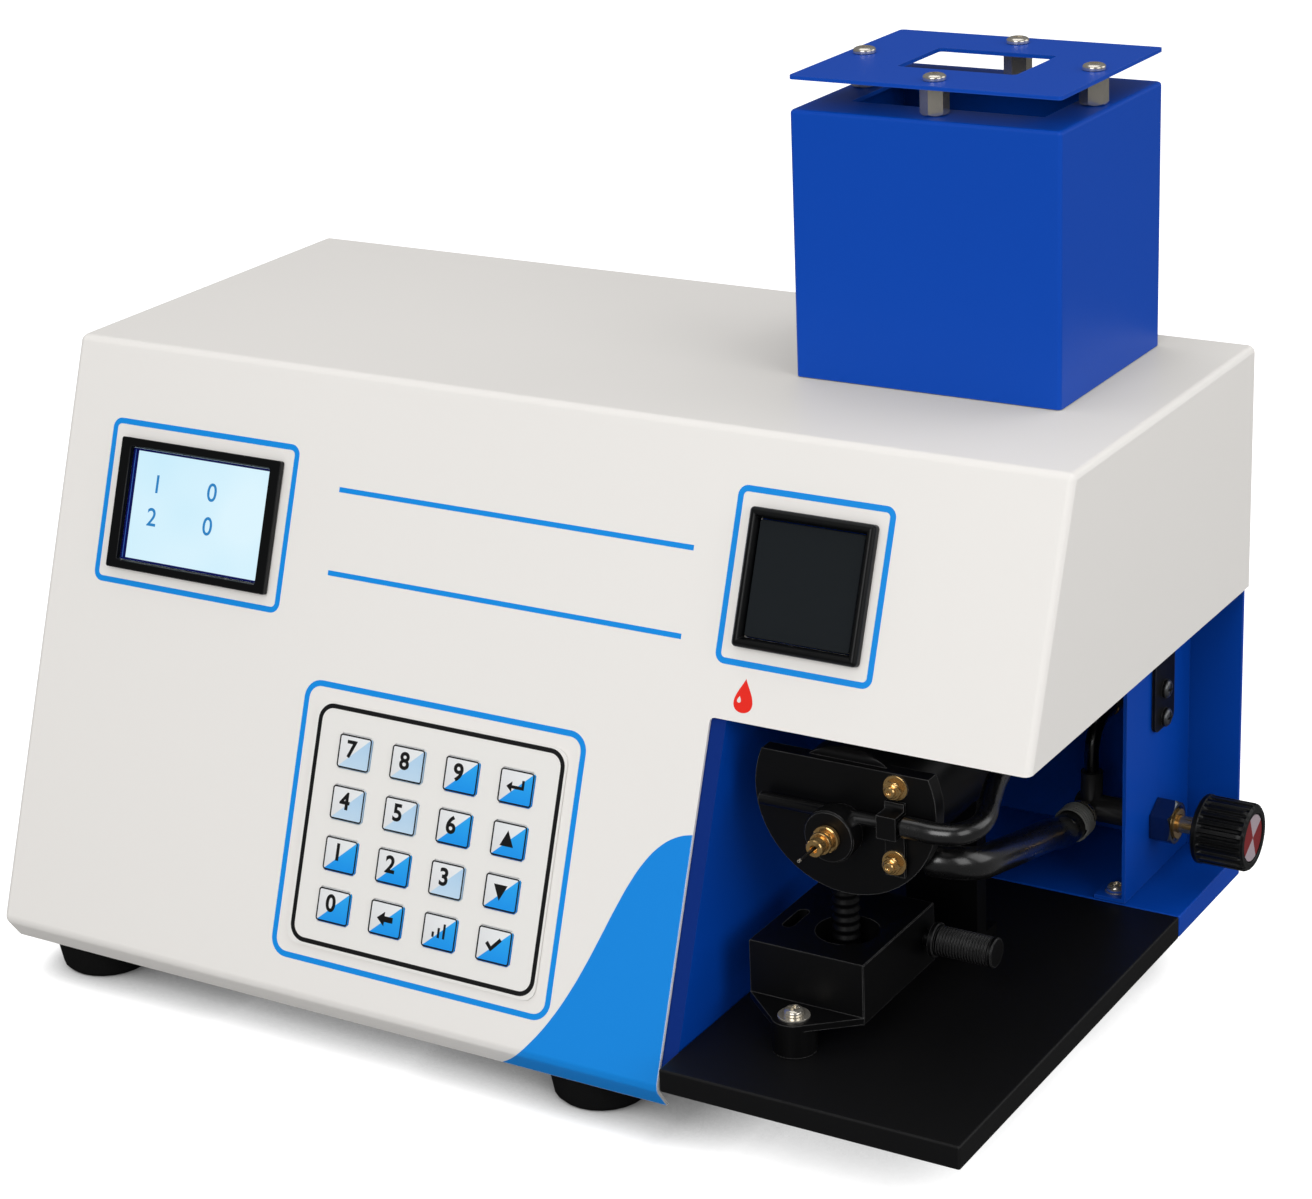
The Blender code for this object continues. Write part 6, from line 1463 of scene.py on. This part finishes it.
@dataclass
class Keypad:
    """The overlay film with its outline and its sixteen printed keys."""

    centre: Flat = (0.2004, 0.0680)
    pitch: Flat = (0.0248, 0.0200)
    key: Flat = (0.0151, 0.0132)
    corner: float = 0.0013
    overlay_top: float = 0.0009
    key_top: float = 0.0014
    flange: float = 0.0009
    sheet: float = 0.0012
    film: float = 0.0008
    outline: tuple[Flat, Flat, float, float] = ((0.20065, 0.0684), (0.1130, 0.0935), 0.0068, 0.0018)
    digit: float = 0.0066
    keys: tuple[tuple[tuple[str, object, bool], ...], ...] = (
        (("key_7", "7", False), ("key_8", "8", False), ("key_9", "9", True),
         ("key_enter", Glyph.ENTER, True)),
        (("key_4", "4", False), ("key_5", "5", False), ("key_6", "6", True), ("key_up", Glyph.UP, True)),
        (("key_1", "1", True), ("key_2", "2", True), ("key_3", "3", False), ("key_down", Glyph.DOWN, True)),
        (("key_0", "0", True), ("key_escape", Glyph.ESCAPE, True),
         ("key_calibrate", Glyph.CALIBRATE, True), ("key_set", Glyph.SET, True)),
    )

    def build(self) -> None:
        """Builds the overlay and every key."""
        film = Part("keypad_film", stands_for=("keypad_overlay",)).add(carried("keypad_overlay"), FILM)
        centre, size, corner, line = self.outline
        low, high = self.overlay_top + 0.00001, self.overlay_top + 0.00005
        section = ((0, low), (0, high), (line, high), (line, low))
        film.add(moulding(centre, size, corner, section, 8), INK_BLACK, PANEL)
        film.finish()
        for row, names in enumerate(self.keys):
            for column, (name, mark, strong) in enumerate(names):
                self.cap(name, mark, strong, self.place(column, row))

    def place(self, column: int, row: int) -> Flat:
        """Centre of a key on the panel; row 0 is the top row."""
        return (self.centre[0] + (column - 1.5) * self.pitch[0], self.centre[1] + (1.5 - row) * self.pitch[1])

    def cap(self, name: str, mark: object, strong: bool, place: Flat) -> None:
        """Builds one key.

        Args:
            name: the key's body and CAD node.
            mark: its number or glyph.
            strong: whether its lower half is full blue.
            place: its centre on the panel.
        """
        part = Part(name + "_cap", name, (name,))
        top = self.key_top
        under = -self.sheet - SEAT_GAP + self.film
        flange = (self.key[0] + 2 * self.flange, self.key[1] + 2 * self.flange)
        stations = ((0, under), (0, -0.00001), (self.flange, 0), (self.flange, top - 0.00025),
                    (self.flange + 0.00008, top - 0.00008), (self.flange + 0.00025, top))
        body = moulding((0, 0), flange, self.corner + self.flange, stations, 4, ring=False)
        self.map_key(body)
        matrix = PANEL @ Matrix.Translation((*place, 0))
        part.add(body, KEY_STRONG if strong else KEY_FAINT, matrix)
        low, high = top - 0.00001, top + 0.00003
        ring = ((0.00006, low), (0.00006, high), (0.00064, high), (0.00064, low))
        part.add(moulding((0, 0), self.key, self.corner, ring, 4), INK_BLACK, matrix)
        if isinstance(mark, str):
            shift = Matrix.Translation((-self.key[0] * 0.09, self.key[1] * 0.08, (low + high) / 2))
            part.add(lettering(mark, self.digit, high - low, 0.00028), INK_BLACK, matrix @ shift)
        else:
            for outline in self.glyph(mark):
                part.add(slab(outline, low, high), INK_BLACK, matrix)
        part.finish()

    def map_key(self, data: bpy.types.Mesh) -> None:
        """Writes the key's own map: 0 to 1 across and up its cap.

        Args:
            data: the key's mesh about its centre.
        """
        layer = data.uv_layers.new(name="UVMap")
        for loop in data.loops:
            place = data.vertices[loop.vertex_index].co
            layer.data[loop.index].uv = (place.x / self.key[0] + 0.5, place.y / self.key[1] + 0.5)

    def glyph(self, mark: Glyph) -> list[list[Flat]]:
        """Draws a glyph.

        Args:
            mark: the glyph.
        Returns:
            Its outlines, in metres about the key's centre.
        """
        unit = self.key[1] / 13
        shapes: dict[Glyph, list[list[Flat]]] = {
            Glyph.UP: [[(-3.6, -2.4), (2.4, -2.4), (-0.6, 3.6)]],
            Glyph.DOWN: [[(-3.6, 3.0), (-0.6, -3.0), (2.4, 3.0)]],
            Glyph.ENTER: [[(-4.2, 0.0), (-1.8, 2.0), (-1.8, 0.6), (2.4, 0.6), (2.4, 3.0), (3.5, 3.0),
                           (3.5, -0.6), (-1.8, -0.6), (-1.8, -2.0)]],
            Glyph.ESCAPE: [[(-4.0, 0.0), (-0.6, 2.8), (-0.6, 1.1), (3.2, 1.1), (3.2, -1.1), (-0.6, -1.1),
                            (-0.6, -2.8)]],
            Glyph.SET: [[(-3.8, 0.3), (-2.8, 1.3), (-1.2, -0.4), (2.2, 3.2), (3.2, 2.2), (-1.2, -2.4)]],
            Glyph.CALIBRATE: [self.bar(-3.2, -2.2, 0.8), self.bar(-0.8, 0.2, 2.6), self.bar(1.6, 2.6, 4.4)],
        }
        return [[(x * unit, y * unit) for x, y in outline] for outline in shapes[mark]]

    @staticmethod
    def bar(left: float, right: float, height: float) -> list[Flat]:
        """One upright bar of the calibration glyph."""
        return [(left, -2.2), (right, -2.2), (right, height - 1.0), (left, height - 1.0)]


@dataclass
class Chimney:
    """The blue chimney box, its roof plate, standoffs and screws."""

    centre: Flat = (0.3522, 0.1933)
    reach: Flat = (0.0465, 0.0352)
    box_top: float = 0.3546
    roof_bottom: float = 0.3656
    roof_top: float = 0.3671
    post_radius: float = 0.0054
    shank_radius: float = 0.0019

    def build(self) -> None:
        """Dresses the box and the plate, and builds the posts and screws."""
        Part("chimney_box_dressed", stands_for=("chimney_box",)).add(carried("chimney_box"), BLUE).finish()
        Part("roof_plate_dressed", stands_for=("roof_plate",)).add(carried("roof_plate"), BLUE).finish()
        places = [(self.centre[0] + self.reach[0] * a, self.centre[1] + self.reach[1] * b)
                  for a, b in ((1, 0), (0, 1), (-1, 0), (0, -1))]
        posts = Part("roof_posts", stands_for=("roof_post_right", "roof_post_rear", "roof_post_left",
                                               "roof_post_front"))
        length = self.roof_bottom - self.box_top - 2 * SEAT_GAP
        for x, y in places:
            posts.add(hexagon(self.post_radius, length, 0.0006, True, math.pi / 6), NICKEL,
                      placed((x, y, self.box_top + SEAT_GAP)))
            shank = stepped([(self.shank_radius, self.roof_top - self.roof_bottom + 2 * SEAT_GAP)])
            posts.add(turned(shank, 16), NICKEL, placed((x, y, self.roof_bottom - SEAT_GAP / 2)))
        fastener_row(posts, Screw(0.0043, 0.0024, Recess.SOCKET), NICKEL,
                     [(x, y, self.roof_top + SEAT_GAP / 2) for x, y in places], "z", 11)
        posts.finish()


@dataclass
class Burner:
    """The mixing chamber, the nebulizer on its front, the burner head and the clamp."""

    x: float = 0.3673
    clamp_x: float = 0.3880
    disc_front: float = 0.0500
    clamp_front: float = 0.0482
    nut_heights: Flat = (0.1121, 0.1404)
    nut_reach: float = 0.0052
    boss_face: float = 0.0372
    boss_z: float = 0.1222
    spout: Flat = (0.3588, 0.0650)
    spout_low: float = 0.0640
    spout_radius: float = 0.0044
    spout_bore: float = 0.0022
    # the chamber's leg, given the duller black as painted shade
    leg: Box = ((0.345, 0.112, 0.040), (0.390, 0.150, 0.0985))
    rib: float = 0.0009
    rib_pitch: float = 0.0036
    ribs: int = 8

    def build(self) -> None:
        """Builds and dresses the burner's pieces."""
        upper = self.nut_box(self.nut_heights[1], self.disc_front)
        low, length = self.spout_low, self.ribs * self.rib_pitch
        reach = self.spout_radius + self.rib + 0.0002
        spout_box = ((self.spout[0] - reach, self.spout[1] - reach, low - 0.001),
                     (self.spout[0] + reach, self.spout[1] + reach, low + length + 0.0002))
        chamber = Part("chamber_dressed", stands_for=("mixing_chamber",))
        # the leg is painted in the duller black as shade
        chamber.add(carried("mixing_chamber", [upper, spout_box]), ANODISED).repaint(SHADE_BLACK, *self.leg)
        chamber.add(self.cap_nut(), BRASS, placed((self.clamp_x, self.disc_front, self.nut_heights[1]), "-y"))
        # the spout is painted in the duller black as shade
        chamber.add(self.spout_mesh(), SHADE_BLACK, placed((*self.spout, low)))
        chamber.finish()
        clamp = Part("clamp_dressed", stands_for=("clamp_bracket",))
        clamp.add(carried("clamp_bracket", [self.nut_box(self.nut_heights[0], self.clamp_front)]), ANODISED)
        clamp.add(self.cap_nut(), BRASS, placed((self.clamp_x, self.clamp_front, self.nut_heights[0]), "-y"))
        clamp.finish()
        boss = Part("nebulizer_boss", stands_for=("nebulizer_body",))
        boss.add(carried("nebulizer_body"), ANODISED).finish()
        self.nozzle()
        Part("burner_dressed", stands_for=("burner_head",)).add(carried("burner_head"), STEEL).finish()

    def nut_box(self, z: float, seat: float) -> Box:
        """The space that a nut takes in front of its seat."""
        return ((self.clamp_x - self.nut_reach, seat - 0.008, z - self.nut_reach),
                (self.clamp_x + self.nut_reach, seat - 0.00001, z + self.nut_reach))

    @staticmethod
    def cap_nut() -> bpy.types.Mesh:
        """A brass washer, a chamfered hexagon nut and the rounded end of its stud.

        Returns:
            The three as one mesh, along z from the seat.
        """
        shape = bmesh.new()
        washer = turned([(0, 0), (0.0045, 0), (0.0047, 0.0002), (0.0047, 0.0008), (0.0045, 0.0010),
                         (0, 0.0010)], 40)
        nut = hexagon(0.0037, 0.0027, 0.0007)
        nut.transform(Matrix.Translation((0, 0, 0.0010)))
        stud = turned([(0, 0.003), (0.0021, 0.003), (0.0021, 0.0052), (0.0018, 0.0056), (0.0009, 0.0058),
                       (0.0007, 0.0054), (0, 0.0052)], 24)
        collar = turned([(0.0021, 0.0036), (0.0028, 0.0036), (0.0028, 0.0041), (0.0024, 0.0044),
                         (0.0021, 0.0044)], 24, closed=True)
        for data in (washer, nut, stud, collar):
            shape.from_mesh(data)
            bpy.data.meshes.remove(data)
        return to_mesh(shape, recalculate=False)

    def spout_mesh(self) -> bpy.types.Mesh:
        """The ribbed drain spout.

        Returns:
            A closed mesh, along z from its lower end.
        """
        length = self.ribs * self.rib_pitch
        rings = self.ribs * 8
        bore, collar = self.spout_bore, 0.004
        profile = [(bore, 0.0), (self.spout_radius, 0.0)]
        profile += [(self.spout_radius, length * step / rings) for step in range(1, rings + 1)]
        profile += [(self.spout_radius, length + collar), (bore, length + collar)]
        values = {"Start": 0.0, "Pitch": self.rib_pitch, "Count": self.ribs, "Depth": self.rib,
                  "Finish": SHADE_BLACK.material()}
        return shaped(turned(profile, 32, closed=True), rib_tree(), values)

    def nozzle(self) -> None:
        """The brass nozzle with its bore and the black capillary with its nickel tip."""
        outline = [(0, 0), (0.0048, 0), (0.0050, 0.0003), (0.0050, 0.0019), (0.0046, 0.0022),
                   (0.0034, 0.0022), (0.0032, 0.0027), (0.0032, 0.0040), (0.0040, 0.0044), (0.0042, 0.0047),
                   (0.0042, 0.0057), (0.0040, 0.0060), (0.0029, 0.0060), (0.0029, 0.0068), (0.0033, 0.0071),
                   (0.0033, 0.0101), (0.0030, 0.0105), (0.0015, 0.0105), (0.0015, 0.0085), (0, 0.0085)]
        part = Part("nozzle_dressed", stands_for=("nebulizer_nozzle",))
        matrix = placed((self.x, self.boss_face - SEAT_GAP, self.boss_z), "-y")
        part.add(turned(outline, 48), BRASS, matrix)
        capillary = [(0.0003, 0.0087), (0.0006, 0.0087), (0.0006, 0.0202), (0.0003, 0.0202)]
        part.add(turned(capillary, 16, closed=True), ANODISED, matrix)
        tip = [(0.0003, 0.0203), (0.0006, 0.0203), (0.0006, 0.0214), (0.0005, 0.0215), (0.0003, 0.0215)]
        part.add(turned(tip, 16, closed=True), NICKEL, matrix)
        part.finish()


@dataclass
class Valve:
    """The side panel with its bracket, and the gas valve with its nut, stem and fluted knob."""

    y: float = 0.2178
    z: float = 0.0639
    face: float = 0.4170
    nut_length: float = 0.0085
    stem_radius: float = 0.0035
    knob_near: float = 0.4362
    knob_length: float = 0.0214
    knob_radius: float = 0.0136
    skirt_radius: float = 0.0139
    skirt: float = 0.0025
    recess_radius: float = 0.0099
    flutes: int = 24
    flute_depth: float = 0.0009
    elbow_x: float = 0.3890
    elbow_y: float = 0.2068
    elbow_collar: tuple[Flat, ...] = ((0.0056, 0), (0.0064, 0.0002), (0.0064, 0.0016), (0.0056, 0.0018))
    brass_box: Box = ((0.4078, 0.20, 0.05), (0.43, 0.23, 0.08))
    panel_screw: Point = (0.4105, 0.1926, 0.0419)
    panel_screw_box: Box = ((0.4055, 0.187, 0.04199), (0.4153, 0.199, 0.050))
    bracket_screws: tuple[Point, ...] = ((0.4188, 0.2200, 0.1075), (0.4188, 0.2200, 0.1195))
    bracket_screw_box: Box = ((0.41881, 0.21, 0.10), (0.424, 0.23, 0.125))
    knob_floor: float = 0.0008

    def build(self) -> None:
        """Builds and dresses the side panel and the valve."""
        panel = Part("side_panel_dressed", stands_for=("side_panel",))
        panel.add(carried("side_panel", [self.panel_screw_box]), BLUE)
        screw = Screw(0.0034, 0.0026, washer_radius=0.0042)
        fastener_row(panel, screw, NICKEL, [self.panel_screw], "z", 5)
        panel.finish()
        bracket = Part("bracket_dressed", stands_for=("side_bracket",))
        bracket.add(carried("side_bracket", [self.bracket_screw_box]), BLACK_COAT)
        fastener_row(bracket, Screw(0.0036, 0.0024), STEEL, self.bracket_screws, "x", 2)
        bracket.finish()
        self.body()
        self.nut()
        self.knob()

    def body(self) -> None:
        """The valve's body: threaded brass through the panel, dark elbow and branch inside."""
        body = Part("valve_body_dressed", stands_for=("valve_body",)).add(carried("valve_body"), GREY_METAL)
        body.repaint(BRASS, *self.brass_box)
        collar = turned(self.elbow_collar, 32, closed=True)
        body.add(collar, NICKEL, placed((self.elbow_x, self.elbow_y, self.z), "y"))
        body.finish()
        reach = self.knob_near + self.knob_length - 0.0030 - self.face
        stem = turned(stepped([(self.stem_radius, reach)], 0.0004), 32)
        part = Part("valve_stem_dressed", "valve_stem", ("valve_stem",))
        part.add(stem, BRASS, placed((self.face, self.y, self.z), "x"))
        part.finish()

    def nut(self) -> None:
        """The hexagon panel nut with its washer face."""
        length = self.nut_length
        nut = linked_object("panel_nut", hexagon(0.0096, length, 0.0012))
        thread, mouth = 0.00625, 0.0072
        profile = [(0, -0.001), (thread, -0.001), (thread, length - 0.001), (mouth, length + 0.0001),
                   (mouth, length * 2), (0, length * 2)]
        bore = linked_object("panel_nut_bore", turned(profile, 40))
        part = Part("valve_nut_dressed", stands_for=("valve_nut",))
        part.add(combined(nut, bore, "DIFFERENCE"), DARK_NICKEL,
                 placed((self.face + SEAT_GAP, self.y, self.z), "x"))
        part.finish()

    def knob(self) -> None:
        """The fluted knob with the red and white mark in its end."""
        length, radius = self.knob_length, self.knob_radius
        bore, depth = self.stem_radius + 0.0003, length - 0.0028
        profile: list[Flat] = [(bore, 0.0), (self.skirt_radius - 0.0006, 0.0), (self.skirt_radius, 0.0006),
                               (self.skirt_radius, self.skirt - 0.0004), (radius, self.skirt)]
        steps, base = 14, length - self.knob_floor
        rise = length - 0.0018 - self.skirt
        profile += [(radius, self.skirt + rise * step / steps) for step in range(1, steps + 1)]
        profile += [(radius - 0.0004, length - 0.0008), (radius - 0.0014, length),
                    (self.recess_radius + 0.0004, length), (self.recess_radius, length - 0.0003),
                    (self.recess_radius, base), (0, base)]
        hollow = [(0, depth), (bore, depth)]
        shape = turned([*hollow, *profile], self.flutes * 10)
        values = {"Count": self.flutes, "Depth": self.flute_depth, "Near": self.skirt + 0.0002,
                  "Far": length - 0.0006, "Run Out": 0.0008, "Rim": radius - 0.0010,
                  "Finish": PLASTIC.material()}
        part = Part("knob_dressed", "valve_knob", ("valve_knob",), math.radians(28))
        matrix = placed((self.knob_near, self.y, self.z), "x")
        part.add(shaped(shape, flute_tree(), values), PLASTIC, matrix)
        edge = self.recess_radius - 0.0006
        for start, finish in ((20, KNOB_RED), (120, KNOB_WHITE), (200, KNOB_RED), (300, KNOB_WHITE)):
            sweep = 100 if finish is KNOB_RED else 80
            part.add(slab(self.sector(edge, start, sweep), base, base + 0.0004), finish, matrix)
        part.finish()

    @staticmethod
    def sector(radius: float, start: float, sweep: float) -> list[Flat]:
        """Outline of a sector.

        Args:
            radius: its radius.
            start: the angle where it starts, in degrees.
            sweep: how far it reaches, in degrees.
        Returns:
            Points, anticlockwise.
        """
        steps = 14
        turns = [math.radians(start + sweep * step / steps) for step in range(steps + 1)]
        return [(0.0, 0.0), *((radius * math.cos(t), radius * math.sin(t)) for t in turns)]


@dataclass
class Hoses:
    """Gas, air and supply hoses and the wire bound round the gas hose's end."""

    gas: tuple[Point, ...] = (
        (0.3948, 0.0625, 0.1085), (0.3985, 0.0626, 0.1085), (0.4046, 0.0666, 0.1071),
        (0.4078, 0.0760, 0.1038), (0.4066, 0.0950, 0.0982), (0.4040, 0.1170, 0.0912),
        (0.4008, 0.1400, 0.0838), (0.3966, 0.1620, 0.0758), (0.3922, 0.1780, 0.0682),
        (0.3896, 0.1880, 0.0636), (0.3890, 0.1940, 0.0626), (0.3890, 0.2060, 0.0626))
    air: tuple[Point, ...] = (
        (0.3933, 0.0457, 0.1280), (0.3995, 0.0457, 0.1280), (0.4060, 0.0458, 0.1279),
        (0.4125, 0.0485, 0.1279), (0.4160, 0.0560, 0.1280), (0.4155, 0.0650, 0.1284),
        (0.4120, 0.0760, 0.1298), (0.4085, 0.0900, 0.1322), (0.4062, 0.1100, 0.1345),
        (0.4050, 0.1400, 0.1355), (0.4050, 0.1700, 0.1355), (0.4050, 0.1950, 0.1335),
        (0.4050, 0.2130, 0.1280), (0.4050, 0.2250, 0.1246), (0.4050, 0.2360, 0.1240))
    supply: tuple[Point, ...] = (
        (0.3890, 0.2155, 0.0798), (0.3890, 0.2155, 0.0850), (0.3890, 0.2168, 0.0915),
        (0.3890, 0.2208, 0.0968), (0.3890, 0.2262, 0.0994), (0.3890, 0.2310, 0.1000),
        (0.3890, 0.2360, 0.1000))
    ends: tuple[tuple[Point, Point], ...] = (((0.3948, 0.0630, 0.1085), (0.3890, 0.2060, 0.0639)),
                                             ((0.3933, 0.0457, 0.1280), (0.4050, 0.2360, 0.1240)),
                                             ((0.3890, 0.2178, 0.0798), (0.3890, 0.2360, 0.1000)))
    gas_radius: float = 0.0062
    air_radius: float = 0.0040
    supply_radius: float = 0.0030
    binding_start: float = 0.1970
    binding_turns: int = 5
    binding_pitch: float = 0.0016
    wire_radius: float = 0.0005

    def build(self) -> None:
        """Builds the hoses and the binding."""
        for name, route, ends, radius in zip(("gas_hose", "air_hose", "gas_supply_hose"),
                                             (self.gas, self.air, self.supply), self.ends,
                                             (self.gas_radius, self.air_radius, self.supply_radius)):
            points = self.smooth(self.fitted(route, *ends))
            path = bpy.data.meshes.new("path")
            pairs = [(i, i + 1) for i in range(len(points) - 1)]
            path.from_pydata([CABINET @ point for point in points], pairs, [])
            tube = shaped(path, hose_tree(), {"Radius": radius, "Sides": 32, "Finish": HOSE.material()})
            Part(name + "_dressed", stands_for=(name,)).add(tube, HOSE).finish()
        height = self.binding_turns * self.binding_pitch
        values = {"Winding Radius": self.gas_radius + SEAT_GAP + self.wire_radius,
                  "Wire Radius": self.wire_radius, "Turns": float(self.binding_turns), "Height": height,
                  "Steps": 40, "Finish": WIRE.material()}
        wire = shaped(bpy.data.meshes.new("nothing"), wire_tree(), values)
        end = self.ends[0][1]
        Part("binding_dressed", stands_for=("hose_binding",)).add(
            wire, WIRE, placed((end[0], self.binding_start, end[2]), "y")).finish()

    @staticmethod
    def fitted(route: Sequence[Point], start: Point, end: Point) -> list[Vector]:
        """Moves a route so that its ends meet two fittings; points between move by their share of the way.

        Args:
            route: the route's points.
            start: where its first point belongs.
            end: where its last point belongs.
        Returns:
            The moved points.
        """
        path = [Vector(point) for point in route]
        lengths = [0.0]
        for a, b in zip(path, path[1:]):
            lengths.append(lengths[-1] + (b - a).length)
        first, last = Vector(start) - path[0], Vector(end) - path[-1]
        return [point + first.lerp(last, length / lengths[-1]) for point, length in zip(path, lengths)]

    @staticmethod
    def smooth(route: Sequence[Vector], samples: int = 8) -> list[Vector]:
        """Points on a smooth curve through a route's own points.

        Args:
            route: the route's points.
            samples: steps between two of them.
        Returns:
            The curve's points.
        """
        path = [route[0] * 2 - route[1], *route, route[-1] * 2 - route[-2]]
        result = []
        for i in range(1, len(path) - 2):
            a, b, c, d = path[i - 1:i + 3]
            for step in range(samples):
                t = step / samples
                result.append(0.5 * (2 * b + (c - a) * t + (2 * a - 5 * b + 4 * c - d) * t ** 2
                                     + (3 * b - a - 3 * c + d) * t ** 3))
        return [*result, path[-2]]


@dataclass
class Drain:
    """The drain block on its posts, its screws and the ringed drain screw."""

    centre_x: float = 0.3568
    seats: Flat = (0.0275, 0.1035)
    seat_z: float = 0.0534
    screw_y: float = 0.0874
    screw_z: float = 0.0628
    screw_x: float = 0.3726
    washer_reach: float = 0.0062
    screw_length: float = 0.0364
    rings: int = 17
    ring_pitch: float = 0.0012

    def build(self) -> None:
        """Dresses the block and builds the screws."""
        reach = self.washer_reach
        boxes = [((self.centre_x - reach, y - reach, self.seat_z + 0.00001),
                  (self.centre_x + reach, y + reach, self.seat_z + 0.006)) for y in self.seats]
        block_part = Part("drain_block_dressed", stands_for=("drain_block",))
        block_part.add(carried("drain_block", boxes), ANODISED)
        fastener_row(block_part, Screw(0.0037, 0.0026, washer_radius=0.0060), NICKEL,
                     [(self.centre_x, y, self.seat_z) for y in self.seats], "z", 9)
        block_part.finish()
        self.screw()

    def screw(self) -> None:
        """The drain screw with its fine rings and plain end."""
        start = 0.0129
        profile: list[Flat] = [(0, 0), (0.0028, 0), (0.0030, 0.0002), (0.0030, 0.0107), (0.0063, 0.0107),
                               (0.0066, 0.0110), (0.0066, 0.0126), (0.0063, start), (0.0050, start)]
        ringed = self.rings * self.ring_pitch
        steps = self.rings * 6
        base = start + 0.0006
        profile += [(0.0052, base + ringed * step / steps) for step in range(steps + 1)]
        end = self.screw_length
        profile += [(0.0054, end - 0.0020), (0.0057, end - 0.0017), (0.0057, end - 0.0004), (0.0053, end),
                    (0, end)]
        values = {"Start": base, "Pitch": self.ring_pitch, "Count": self.rings, "Depth": 0.0005,
                  "Finish": ANODISED.material()}
        part = Part("drain_screw_dressed", "drain_screw", ("drain_screw",))
        part.add(shaped(turned(profile, 40), rib_tree(), values), ANODISED,
                 placed((self.screw_x, self.screw_y, self.screw_z), "x"))
        part.finish()


@dataclass
class Rear:
    """Mains inlet with its rocker switch, and the gas and air inlets."""

    inlet: Flat = (0.080, 0.085)
    face: float = 0.2546
    inlet_screw_reach: float = 0.0205
    pins: tuple[Flat, ...] = ((-0.007, -0.0145), (0.0, -0.0105), (0.007, -0.0145))
    pin_half: Flat = (0.0012, 0.0022)
    plate_box: Box = ((0.37, 0.2516, 0.08), (0.42, 0.2549, 0.15))
    plate_screws: tuple[Point, ...] = ((0.3835, 0.2548, 0.1280), (0.4105, 0.2548, 0.0960))

    def build(self) -> None:
        """Dresses the pieces on the rear panel."""
        x, z = self.inlet
        module = Part("mains_inlet_dressed", stands_for=("mains_inlet",)).add(carried("mains_inlet"), PLASTIC)
        wide, tall = self.pin_half
        for across, up in self.pins:
            module.repaint(NICKEL, (x + across - wide, 0.2380, z + up - tall),
                           (x + across + wide, 0.2560, z + up + tall))
        seats = [(x + side * self.inlet_screw_reach, self.face, z) for side in (-1, 1)]
        fastener_row(module, Screw(0.0025, 0.0013), NICKEL, seats, "y", 4)
        module.finish()
        rocker = Part("rocker_dressed", "switch_rocker", ("switch_rocker",))
        rocker.add(carried("switch_rocker"), PLASTIC)
        rocker.finish()
        inlets = Part("hose_inlets_dressed", stands_for=("hose_inlets",)).add(carried("hose_inlets"), BRASS)
        inlets.repaint(NICKEL, *self.plate_box)
        fastener_row(inlets, Screw(0.0022, 0.0012), STEEL, self.plate_screws, "y", 6)
        inlets.finish()


@dataclass
class Inside:
    """What stays inside the cabinet: circuit boards, transformer and optics."""

    board_top: float = 0.0405
    components: tuple[tuple[Finish, Flat, Point], ...] = (
        (ALUMINIUM, (0.05, 0.10), (0.10, 0.12, 0.08)),
        (CHIP, (0.11, 0.14), (0.155, 0.165, 0.0452)),
        (CAN, (0.058, 0.155), (0.085, 0.185, 0.08)),
        (CORE, (0.12, 0.10), (0.20, 0.19, 0.10)),
        (COIL, (0.1400, 0.1249), (0.1765, 0.1315, 0.10)),
        (COIL, (0.1400, 0.1585), (0.1765, 0.1655, 0.10)),
    )

    def build(self) -> None:
        """Dresses the inner pieces."""
        board = Part("main_board_dressed", stands_for=("main_board",)).add(carried("main_board"), BOARD)
        for finish, low, high in self.components:
            board.repaint(finish, (*low, self.board_top), high)
        board.finish()
        for node, finish in (("keypad_board", BOARD), ("optics_housing", ANODISED)):
            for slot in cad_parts[node].material_slots:
                slot.material = finish.material()


def main() -> None:
    """Builds the studio and every sub-assembly in order."""
    logging.basicConfig(level=logging.INFO, format="%(message)s")
    builders: Iterable[object] = (Studio(), Cabinet(), Display(), FlameWindow(), Keypad(), Chimney(),
                                  Burner(), Valve(), Hoses(), Drain(), Rear(), Inside())
    for builder in builders:
        LOG.info("building %s", type(builder).__name__)
        builder.build()


if __name__ == "__main__":
    main()
